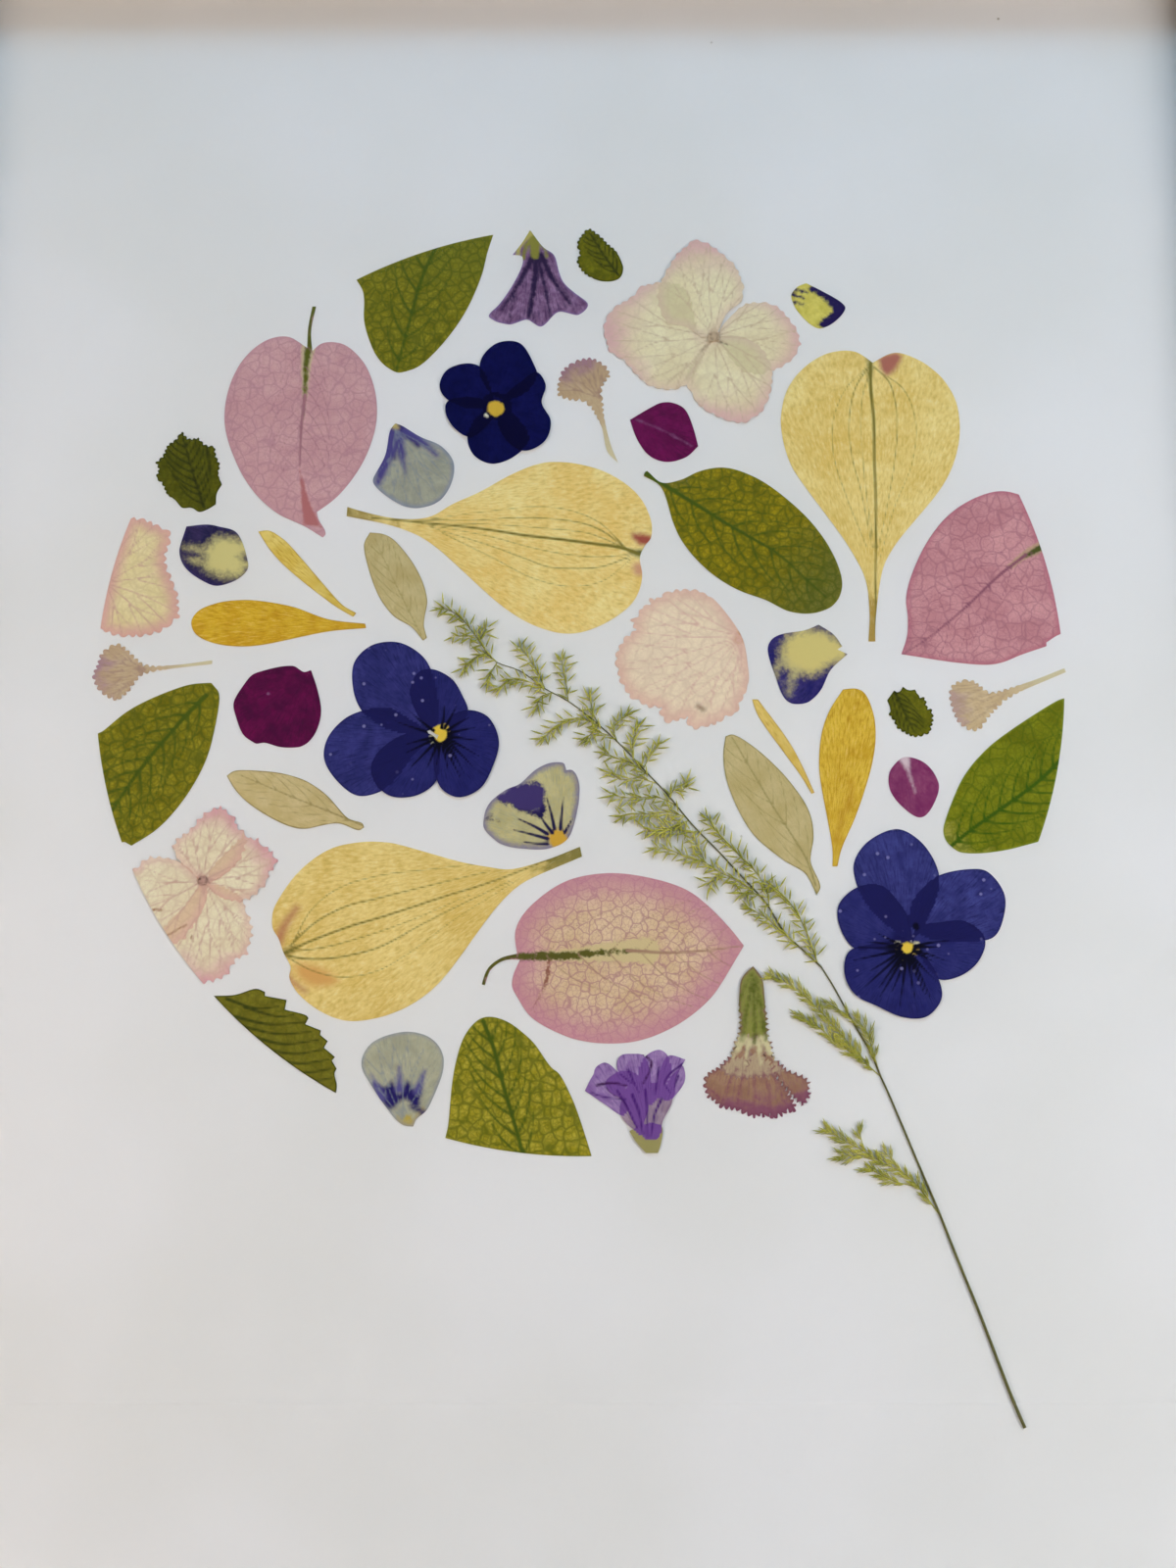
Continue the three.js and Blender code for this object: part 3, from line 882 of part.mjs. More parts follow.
// Side twigs of the panicle, from the tip down.
const UPPER_TWIGS = [
  [[-21.7, 6.9], [-23.9, 6.7], [-26.1, 6.9]],
  [[-20.5, 5.8], [-19.9, 7.1], [-19.1, 8.3]],
  [[-19, 3.3], [-21.4, 2.2], [-23.8, -0.1]],
  [[-17, 1], [-18.2, -1.1], [-19, -3]],
  [[-7.2, -4.4], [-8.8, -0.5], [-11, 2.7], [-12.4, 4.6]],
  [[-7.2, -4.4], [-10.4, -3], [-14.4, -2.6], [-16.4, -4.2]],
  [[-5.4, -5.3], [-8, -6.1], [-8.8, -8.2]],
  [[-2.4, -7.1], [-2.8, -3.6], [-3.4, -0.7], [-3.8, 1.8]],
  [[4, -12.3], [2.6, -9.6], [2, -6.1]],
  [[4, -12.5], [0.6, -10.8], [-2.8, -11.3], [-5.4, -12.9], [-7.7, -15.2]],
  [[5.8, -14.3], [2.8, -13.5], [1, -15.4]],
  [[7.5, -15.6], [6.8, -12.7], [9.6, -10]],
  [[10.5, -18.4], [10.7, -15.4], [11.9, -12.3]],
  [[12.7, -21.3], [14.3, -18.4], [15.9, -16.4]],
  [[13.6, -22.5], [10.5, -20.1], [7.5, -19.1], [4.8, -17.6]],
  [[15.2, -24.2], [11.5, -23.1], [8.1, -23.5], [6.1, -21.9]],
  [[19.3, -28.8], [15.8, -27.2], [12.4, -27.2], [9.1, -27.2], [6.5, -26.6]],
  [[21.3, -31.2], [17.7, -30.2], [13.8, -30.6], [10.4, -30.6], [8.1, -31.2]],
  [[21.8, -31.9], [18.5, -33.3], [15.3, -33.9], [12.6, -33.5]],
  [[18.1, -27.4], [18.8, -25.6], [20.5, -25.8], [21.7, -24.2]],
  [[23.8, -34.3], [19.7, -33.9], [14.9, -34.1]],
  [[34.4, -46.1], [30.5, -43.7], [27.8, -42.5], [24.9, -40.5], [21.8, -39.7], [18.8, -38.3], [14.9, -37.3]],
  [[24.9, -40.5], [23.9, -37.9], [22.6, -35.5]],
  [[27.8, -42.5], [26.4, -43.9], [25.2, -45.3]],
  [[37.6, -49.8], [37.3, -47.3], [36.5, -44.9], [34.6, -41.9], [31.8, -39.1], [29.6, -36.7], [27.3, -34.1], [25.6, -31.5]],
  [[46.9, -60.9], [44.3, -53.4], [42.3, -49.6], [40.2, -47.1], [37.7, -44.7]],
  [[43.5, -57.7], [40, -54.6], [37, -51.8], [33.5, -49.8]],
  [[35.7, -47.3], [33.8, -46.5], [32, -46.9]],
];
// Short twigs that stay with the stem.
const STEM_TWIGS = [
  [[58.4, -82.6], [57.4, -78.7], [56.3, -74.6], [54.7, -72.3]],
  [[54.6, -73.7], [52, -70.8], [49.4, -69.2]],
];
// Twigs of the middle side branch.
const MIDDLE_TWIGS = [
  [[58.6, -83.1], [56.2, -81], [53.3, -78.7], [49.6, -76], [46.6, -73.3], [43.2, -71.4]],
  [[56.9, -81.6], [54.9, -79.2], [51, -74.8], [47.8, -71], [44.4, -67.5], [41.2, -65], [37.7, -63.4]],
];
// Twigs of the lowest side branch.
const LOW_TWIGS = [
  [[69.2, -109.8], [65.1, -104.2], [62.5, -101.8], [58.8, -99.9], [55.3, -97.7], [51, -95.4], [47.8, -93.3]],
  [[65.1, -104.2], [62.1, -103.7], [59.3, -102.7], [55.9, -100.9]],
  [[62.5, -101.8], [60.9, -99.9], [59.1, -97.9]],
  [[57.5, -99.4], [54.3, -98.6], [50.5, -98.4]],
  [[55.3, -97.7], [54.6, -95.8], [54.2, -94.1]],
];
// Spikelets: their shape, and how they stand on the twigs of each branch
const SPIKELET_ASPECT = 0.16;
const SPIKELET_SPREAD = 0.6;
const UPPER_SPIKELETS = { length: 3.1, spacing: 6.4, startAt: 1.6 };
const MIDDLE_SPIKELETS = { length: 5.4, spacing: 5.2, startAt: 4 };
const LOW_SPIKELETS = { length: 5.4, spacing: 5.2, startAt: 7 };

/** A round stem, or the room it needs, along points given from the disc's centre. */
function stemSolid(points, stemRadius, clearance = 0) {
  const radius = stemRadius + clearance;
  const depth = SPECIMEN_BACK - stemRadius;
  const path = new THREE.CatmullRomCurve3(
    points.map(([x, z]) => new THREE.Vector3(x, depth, DISC_CENTRE_Z + z)), false, 'centripetal',
  );
  const round = new THREE.Shape();
  for (let side = 0; side < STEM_SIDES; side += 1) {
    const angle = 2 * Math.PI * (side + 0.5) / STEM_SIDES;
    const point = [radius * Math.cos(angle), radius * Math.sin(angle)];
    if (side === 0) {
      round.moveTo(...point);
    } else {
      round.lineTo(...point);
    }
  }
  const steps = Math.max(2, Math.ceil(path.getLength() / STEM_STEP));
  return toSolid(new THREE.ExtrudeGeometry(round, { steps, bevelEnabled: false, extrudePath: path }));
}

/** A pressed twig: a flat ribbon along points given from the disc's centre. */
function twigSolid(points, halfWidth) {
  const path = new THREE.CatmullRomCurve3(points.map(([x, z]) => new THREE.Vector3(x, z, 0)), false,
    'centripetal');
  const steps = Math.max(2, Math.ceil(path.getLength() / TWIG_STEP));
  const left = [];
  const right = [];
  for (let i = 0; i <= steps; i += 1) {
    const at = path.getPointAt(i / steps);
    const ahead = path.getTangentAt(i / steps);
    const side = new THREE.Vector2(-ahead.y, ahead.x).multiplyScalar(halfWidth);
    left.push(new THREE.Vector2(at.x + side.x, at.y + side.y));
    right.unshift(new THREE.Vector2(at.x - side.x, at.y - side.y));
  }
  return pressedSolid(new THREE.Shape([...right.reverse(), ...left.reverse()]));
}

/** A flat (x, z) shape as thick as the pressed grass. */
function pressedSolid(shape) {
  return toSolid(frontSlab(shape, SPECIMEN_BACK, SPIKELET_THICKNESS).translate(0, 0, DISC_CENTRE_Z));
}

/** A flat spikelet from a point on a twig, in a direction, widest before its middle. */
function spikeletSolid(foot, direction, length) {
  const side = new THREE.Vector2(-direction.y, direction.x).multiplyScalar(length * SPIKELET_ASPECT);
  const widest = foot.clone().addScaledVector(direction, length * 0.35);
  return pressedSolid(new THREE.Shape([
    foot.clone().addScaledVector(direction, -length * 0.25), widest.clone().sub(side),
    foot.clone().addScaledVector(direction, length), widest.clone().add(side),
  ]));
}

/** Spikelets on alternate sides of a twig, and one at its tip. */
function spikeletsAlong(points, { length, spacing, startAt }) {
  const curve = new THREE.CatmullRomCurve3(points.map(([x, z]) => new THREE.Vector3(x, z, 0)), false,
    'centripetal');
  const total = curve.getLength();
  const count = Math.max(1, Math.ceil((total - startAt) / spacing));
  const solids = [];
  for (let i = 0; i <= count; i += 1) {
    const along = Math.min(1, (startAt + i * spacing) / total);
    const at = curve.getPointAt(along);
    const ahead = curve.getTangentAt(along);
    const side = i % 2 ? 1 : -1;
    const angle = Math.atan2(ahead.y, ahead.x) + side * (along < 1 ? SPIKELET_SPREAD : SPIKELET_SPREAD / 4);
    const direction = new THREE.Vector2(Math.cos(angle), Math.sin(angle));
    solids.push(spikeletSolid(new THREE.Vector2(at.x, at.y), direction, length));
  }
  return solids;
}

/** Twigs with their spikelets, as a list of overlapping solids. */
function floweringTwigs(twigs, spikelets) {
  return twigs.flatMap((twig) => [twigSolid(twig, TWIG_HALF_WIDTH), ...spikeletsAlong(twig, spikelets)]);
}

/** The largest body of a solid: leaves out the spikelets' tips that another piece cuts off. */
function largestBody(solid) {
  return solid.decompose().reduce((big, body) => (body.volume() > big.volume() ? body : big));
}

/** The grass, parted at its main forks into the stem and three flowering branches. */
function buildGrass() {
  const foot = CULM.slice(0, FOOT_POINTS);
  const top = CULM.slice(FOOT_POINTS - 1);
  const culm = [stemSolid(foot, CULM_FOOT_RADIUS), stemSolid(top, CULM_RADIUS)];
  const room = stemSolid(foot, CULM_FOOT_RADIUS, STEM_CLEARANCE).add(stemSolid(top, CULM_RADIUS, STEM_CLEARANCE));
  const stem = [...culm, ...floweringTwigs(STEM_TWIGS, MIDDLE_SPIKELETS)].reduce((sum, solid) => sum.add(solid));
  addPart('grass_stem', toGeometry(stem), COLOUR.GRASS);
  const branches = [
    ['grass_panicle_upper', [twigSolid(RACHIS, RACHIS_HALF_WIDTH), ...floweringTwigs(UPPER_TWIGS, UPPER_SPIKELETS)]],
    ['grass_branch_middle', floweringTwigs(MIDDLE_TWIGS, MIDDLE_SPIKELETS)],
    ['grass_branch_low', floweringTwigs(LOW_TWIGS, LOW_SPIKELETS)],
  ];
  for (const [name, solids] of branches) {
    const whole = solids.reduce((sum, solid) => sum.add(solid)).subtract(room).subtract(stem);
    addPart(name, toGeometry(largestBody(whole)), COLOUR.GRASS);
  }
}

buildFrame();
buildSheets();
buildHanger();
greenLeaves();
serratedLeaves();
beigeLeaves();
bracts();
tepals();
rayPetals();
magentaPetals();
violaPetals();
hydrangeaSepals();
trumpetFlowers();
violaDark();
violaLeft();
violaRight();
hydrangeaUpper();
hydrangeaLower();
purpleFlower();
carnation();
buildGrass();

const part = new THREE.Group();
part.name = 'pressed_flower_frame';
part.add(...collected);

export default part;
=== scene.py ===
"""Looks of the pressed flower frame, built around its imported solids.

Every specimen is a thin relief sheet made from its outline. Distances to its edge, its veins and its
markings are kept as vertex attributes, which the node materials turn into colour.
Lengths in the tables are millimetres from the disc's centre, x to the right and z up.
Points are written as x,z pairs. An exclamation mark makes one a sharp corner, and a semicolon starts
the next line or outline.
"""
import logging
import math
import random
from dataclasses import dataclass
from enum import Enum

import bmesh
import bpy
import numpy as np
from mathutils import Matrix, Vector, noise


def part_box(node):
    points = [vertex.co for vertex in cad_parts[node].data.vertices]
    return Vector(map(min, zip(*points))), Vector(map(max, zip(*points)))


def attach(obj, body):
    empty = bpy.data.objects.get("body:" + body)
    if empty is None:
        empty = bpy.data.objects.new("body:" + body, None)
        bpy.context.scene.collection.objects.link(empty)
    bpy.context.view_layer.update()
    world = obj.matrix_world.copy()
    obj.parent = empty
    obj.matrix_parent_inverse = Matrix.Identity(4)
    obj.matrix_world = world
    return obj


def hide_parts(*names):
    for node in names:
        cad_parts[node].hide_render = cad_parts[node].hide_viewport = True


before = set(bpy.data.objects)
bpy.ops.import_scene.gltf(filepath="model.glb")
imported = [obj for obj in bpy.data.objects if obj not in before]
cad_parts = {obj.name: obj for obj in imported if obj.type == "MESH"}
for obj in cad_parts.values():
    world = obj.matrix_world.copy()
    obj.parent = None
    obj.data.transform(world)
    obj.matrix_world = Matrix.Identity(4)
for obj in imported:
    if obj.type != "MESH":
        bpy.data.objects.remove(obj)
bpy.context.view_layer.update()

log = logging.getLogger("pressed_flowers")

# Lengths are in mm, and MM turns them into the frame's metres. The stage alone is set in metres.
MM = 0.001
DISC_Z = -167.0
DISC_RADIUS = 98.5
BOARD_FRONT = -10.45
CELL = 0.42
SHEET_THICKNESS = 0.06
SHEET_GAP = 0.03
LEVEL_STEP = 0.12
SHEET_LIFT = 0.12
SHEET_TOP = 1.3
CURL_SIZE = 9.0
CREASE_SIZE = 2.2
CREASE_HEIGHT = 0.04
VEIN_HEIGHT = 0.05
RIM_REACH = 1.6
FAN_ARC = 18.0
POINTS_A_TOOTH = 6
OUTLINE_STEP = 0.4
TWIG_RADIUS = 0.11
CORNER_ANGLE = math.radians(50)
FAR_OUTSIDE = -9.0
MERGED = 0.02
FACING_FRONT = -0.9

Point = tuple[float, float]
Path = tuple[Point, ...]


# Outlines and distances

def points(text: str) -> tuple:
    """Reads points written as x,z pairs; a corner gets a third entry."""
    listed = []
    for pair in text.split():
        place = tuple(float(number) for number in pair.rstrip("!").split(","))
        listed.append((*place, 1.0) if pair.endswith("!") else place)
    return tuple(listed)


def runs(text: str) -> tuple:
    """Reads several lines or outlines that are parted by semicolons."""
    return tuple(points(part) for part in text.split(";"))


def as_arrays(path: Path) -> list[np.ndarray]:
    """Turns listed points into arrays."""
    return [np.array(p, float) for p in path]


def catmull_rom(places: list[np.ndarray], step: float) -> list[np.ndarray]:
    """Samples a smooth open curve through points.

    Args:
        places: The points that the curve passes through.
        step: The largest distance between samples, in mm.

    Returns:
        The samples, from the first point to the last.
    """
    if len(places) < 3:
        return places
    ends = [2 * places[0] - places[1], *places, 2 * places[-1] - places[-2]]
    samples = [places[0]]
    for before, start, end, after in zip(ends, ends[1:], ends[2:], ends[3:]):
        count = max(1, math.ceil(float(np.linalg.norm(end - start)) / step))
        knots = [0.0]
        for a, b in ((before, start), (start, end), (end, after)):
            knots.append(knots[-1] + max(1e-4, float(np.linalg.norm(b - a))) ** 0.5)
        for i in range(1, count + 1):
            t = knots[1] + (knots[2] - knots[1]) * i / count
            first = [_blend(before, start, knots[0], knots[1], t), _blend(start, end, knots[1], knots[2], t),
                     _blend(end, after, knots[2], knots[3], t)]
            second = [_blend(first[0], first[1], knots[0], knots[2], t),
                      _blend(first[1], first[2], knots[1], knots[3], t)]
            samples.append(_blend(second[0], second[1], knots[1], knots[2], t))
    return samples


def _blend(a: np.ndarray, b: np.ndarray, start: float, end: float, t: float) -> np.ndarray:
    """Goes from a to b as t goes from start to end."""
    return a + (b - a) * ((t - start) / (end - start))


def smooth_outline(places: list[np.ndarray], corners: list[bool]) -> np.ndarray:
    """Rounds a closed outline between its corners.

    Args:
        places: The outline's points, in order.
        corners: Whether each point is a sharp corner.

    Returns:
        The finely sampled outline.
    """
    if not any(corners):
        # The curve runs past its start at both ends, so that it joins itself smoothly.
        count = len(places)
        wrapped = [places[i % count] for i in range(-3, count + 4)]
        fine = catmull_rom(wrapped, OUTLINE_STEP)
        at_start = [i for i, p in enumerate(fine) if np.allclose(p, places[0])]
        return np.array(fine[at_start[0]:at_start[-1]])
    start = corners.index(True)
    places = places[start:] + places[:start]
    corners = corners[start:] + corners[:start]
    outline: list[np.ndarray] = []
    run = [places[0]]
    for point, sharp in zip(places[1:] + [places[0]], corners[1:] + [True]):
        run.append(point)
        if sharp:
            outline += catmull_rom(run, OUTLINE_STEP)[:-1]
            run = [point]
    return np.array(outline)


def listed_outline(listed: tuple) -> np.ndarray:
    """Outline from a table whose corners carry a third entry."""
    return smooth_outline([np.array(p[:2], float) for p in listed], [len(p) > 2 for p in listed])


def solid_outline(node: str) -> np.ndarray:
    """Outline of the front face of a flat CAD solid, with its smooth stretches rounded again.

    Args:
        node: The CAD node's name.

    Returns:
        The outline, in mm from the disc's centre.
    """
    mesh = bmesh.new()
    mesh.from_mesh(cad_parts[node].data)
    bmesh.ops.remove_doubles(mesh, verts=mesh.verts, dist=1e-6)
    border = [e for e in mesh.edges if sum(f.normal.y < FACING_FRONT for f in e.link_faces) == 1]
    after: dict = {}
    for edge in border:
        for loop in edge.link_loops:
            if loop.face.normal.y < FACING_FRONT:
                after[loop.vert] = loop.link_loop_next.vert
    vert = border[0].verts[0]
    ring = []
    while vert not in ring and vert in after:
        ring.append(vert)
        vert = after[vert]
    places = [np.array((v.co.x / MM, v.co.z / MM - DISC_Z)) for v in ring]
    mesh.free()
    kept = [p for i, p in enumerate(places) if np.linalg.norm(p - places[i - 1]) > MERGED]
    corners = []
    for i, point in enumerate(kept):
        before = point - kept[i - 1]
        ahead = kept[(i + 1) % len(kept)] - point
        turn = math.atan2(before[0] * ahead[1] - before[1] * ahead[0], float(before @ ahead))
        corners.append(abs(turn) > CORNER_ANGLE)
    return smooth_outline(kept, corners)


def distance_along(flat: np.ndarray, line: np.ndarray) -> tuple[np.ndarray, np.ndarray]:
    """Distance of many points to a polyline.

    Args:
        flat: The points, one a row.
        line: The polyline's points, one a row.

    Returns:
        The distances, and how far along the line the nearest spot lies, from 0 to 1.
    """
    lengths = np.linalg.norm(np.diff(line, axis=0), axis=1)
    starts = np.concatenate([[0], np.cumsum(lengths)])
    best = np.full(len(flat), np.inf)
    place = np.zeros(len(flat))
    for i, length in enumerate(lengths):
        step = line[i + 1] - line[i]
        t = np.clip(((flat - line[i]) @ step) / max(length, 1e-9) ** 2, 0, 1)
        away = np.linalg.norm(flat - line[i] - t[:, None] * step, axis=1)
        nearer = away < best
        best = np.where(nearer, away, best)
        place = np.where(nearer, (starts[i] + t * length) / max(starts[-1], 1e-9), place)
    return best, place


def inside(flat: np.ndarray, outline: np.ndarray) -> np.ndarray:
    """Whether each point lies inside a closed outline."""
    result = np.zeros(len(flat), bool)
    x, z = flat[:, 0], flat[:, 1]
    for a, b in zip(outline, np.roll(outline, -1, axis=0)):
        if a[1] != b[1]:
            crosses = (a[1] > z) != (b[1] > z)
            result ^= crosses & (x < (b[0] - a[0]) * (z - a[1]) / (b[1] - a[1]) + a[0])
    return result


def edge_distance(flat: np.ndarray, outline: np.ndarray) -> np.ndarray:
    """Distance of many points to a closed outline, whichever side they are on."""
    return distance_along(flat, np.vstack([outline, outline[:1]]))[0]


# Markings

class Channel(Enum):
    """The attribute that a marking is written to, which a material paints in one colour."""

    VEIN = "vein"
    A = "mark_a"
    B = "mark_b"
    C = "mark_c"


@dataclass(frozen=True)
class Line:
    """A drawn line, such as a vein, with its half width at the start and at the end."""

    channel: Channel
    path: Path
    start: float
    end: float

    def depth(self, flat: np.ndarray) -> np.ndarray:
        """How far inside the line each point lies, negative outside it."""
        curve = catmull_rom(as_arrays(self.path), 1.0)
        away, place = distance_along(flat, np.array(curve))
        return self.start + (self.end - self.start) * place - away


@dataclass(frozen=True)
class Patch:
    """A patch of colour with a closed outline."""

    channel: Channel
    outline: tuple

    def depth(self, flat: np.ndarray) -> np.ndarray:
        """How far inside the patch each point lies, negative outside it."""
        outline = listed_outline(self.outline)
        away = edge_distance(flat, outline)
        return np.where(inside(flat, outline), away, -away)


@dataclass(frozen=True)
class Petal:
    """One sheet of a specimen: its outline, its level on the board and its own tone."""

    outline: tuple
    level: float
    tone: float


def strokes(channel: Channel, text: str, start: float, end: float) -> tuple[Line, ...]:
    """Lines of one channel, with the same half widths at their starts and ends."""
    return tuple(Line(channel, path, start, end) for path in runs(text))


def patches(channel: Channel, text: str) -> tuple[Patch, ...]:
    """Patches of one channel."""
    return tuple(Patch(channel, outline) for outline in runs(text))


def petals(text: str, level: float, tone: float) -> tuple[Petal, ...]:
    """Petals of a flower that lie on one level and share a tone."""
    return tuple(Petal(outline, level, tone) for outline in runs(text))


# Materials

def linear(colour: str) -> tuple[float, float, float, float]:
    """Turns an sRGB hex colour into linear values with an alpha of one."""
    channels = [int(colour[i:i + 2], 16) / 255 for i in (0, 2, 4)]
    return (*(c / 12.92 if c <= 0.04045 else ((c + 0.055) / 1.055) ** 2.4 for c in channels), 1.0)


class Graph:
    """A node material while it is put together."""

    def __init__(self, name: str) -> None:
        """Starts an empty material with an output node."""
        self.material = bpy.data.materials.new(name)
        self.material.use_nodes = True
        self.material.node_tree.nodes.clear()
        self.output = self.add("ShaderNodeOutputMaterial")
        self.colour = None
        self.relief = None

    def add(self, kind: str, inputs: dict | None = None, **settings) -> bpy.types.Node:
        """Adds a node.

        Args:
            kind: The node's class name.
            inputs: Socket name or number to a value or to the socket that feeds it.
            **settings: Properties of the node.

        Returns:
            The new node.
        """
        tree = self.material.node_tree
        node = tree.nodes.new(kind)
        for key, value in settings.items():
            setattr(node, key, value)
        for key, value in (inputs or {}).items():
            if isinstance(value, bpy.types.NodeSocket):
                tree.links.new(value, node.inputs[key])
            else:
                node.inputs[key].default_value = value
        return node

    def attribute(self, name: str) -> bpy.types.NodeSocket:
        """Value of a vertex attribute."""
        return self.add("ShaderNodeAttribute", attribute_name=name).outputs["Fac"]

    def scaled(self, source: bpy.types.NodeSocket, *scale: float) -> bpy.types.NodeSocket:
        """A vector scaled by a factor along each axis."""
        return self.add("ShaderNodeMapping", {"Vector": source, "Scale": scale}).outputs[0]

    def place(self) -> bpy.types.NodeSocket:
        """The place on the piece, in mm."""
        coords = self.add("ShaderNodeTexCoord")
        return self.scaled(coords.outputs["Object"], 1 / MM, 1 / MM, 1 / MM)

    def math(self, operation: str, a, b=0.0) -> bpy.types.NodeSocket:
        """One sum on two numbers."""
        return self.add("ShaderNodeMath", {0: a, 1: b}, operation=operation).outputs[0]

    def step(self, value, low: float, high: float, out_low: float = 0.0, out_high: float = 1.0):
        """Smooth step of a value from low to high."""
        inputs = {"Value": value, "From Min": low, "From Max": high, "To Min": out_low, "To Max": out_high}
        return self.add("ShaderNodeMapRange", inputs, interpolation_type="SMOOTHSTEP").outputs[0]

    def mix(self, factor, a, b) -> bpy.types.NodeSocket:
        """Mixes two colours, given as sockets or as sRGB hex."""
        a = linear(a) if isinstance(a, str) else a
        b = linear(b) if isinstance(b, str) else b
        return self.add("ShaderNodeMix", {0: factor, 6: a, 7: b}, data_type="RGBA").outputs[2]

    def cover(self, factor, colour: str) -> None:
        """Lays a colour over the material's colour."""
        self.colour = self.mix(factor, self.colour, colour)

    def emboss(self, height, amount: float) -> None:
        """Adds a share of a height to the material's relief, in mm."""
        self.relief = self.math("ADD", self.relief, self.math("MULTIPLY", height, amount))

    def noise(self, vector, scale: float, detail: float, rough: float = 0.55, bent: float = 0.0):
        """Fractal noise, from 0 to 1, at a scale in repeats a millimetre."""
        inputs = {"Vector": vector, "Scale": scale, "Detail": detail, "Roughness": rough, "Distortion": bent}
        return self.add("ShaderNodeTexNoise", inputs).outputs["Fac"]

    def surface(self, roughness, strength: float = 0.3, **sockets) -> bpy.types.Material:
        """Finishes the material with one surface shader.

        Args:
            roughness: The roughness's socket or value.
            strength: How strongly the relief shows.
            **sockets: More shader values, with underscores for the spaces in their names.

        Returns:
            The finished material.
        """
        inputs = {"Base Color": self.colour, "Roughness": roughness}
        inputs.update({key.replace("_", " "): value for key, value in sockets.items()})
        if self.relief is not None:
            bump = {"Height": self.relief, "Strength": strength, "Distance": MM}
            inputs["Normal"] = self.add("ShaderNodeBump", bump).outputs[0]
        shader = self.add("ShaderNodeBsdfPrincipled", inputs)
        self.material.node_tree.links.new(shader.outputs[0], self.output.inputs[0])
        return self.material


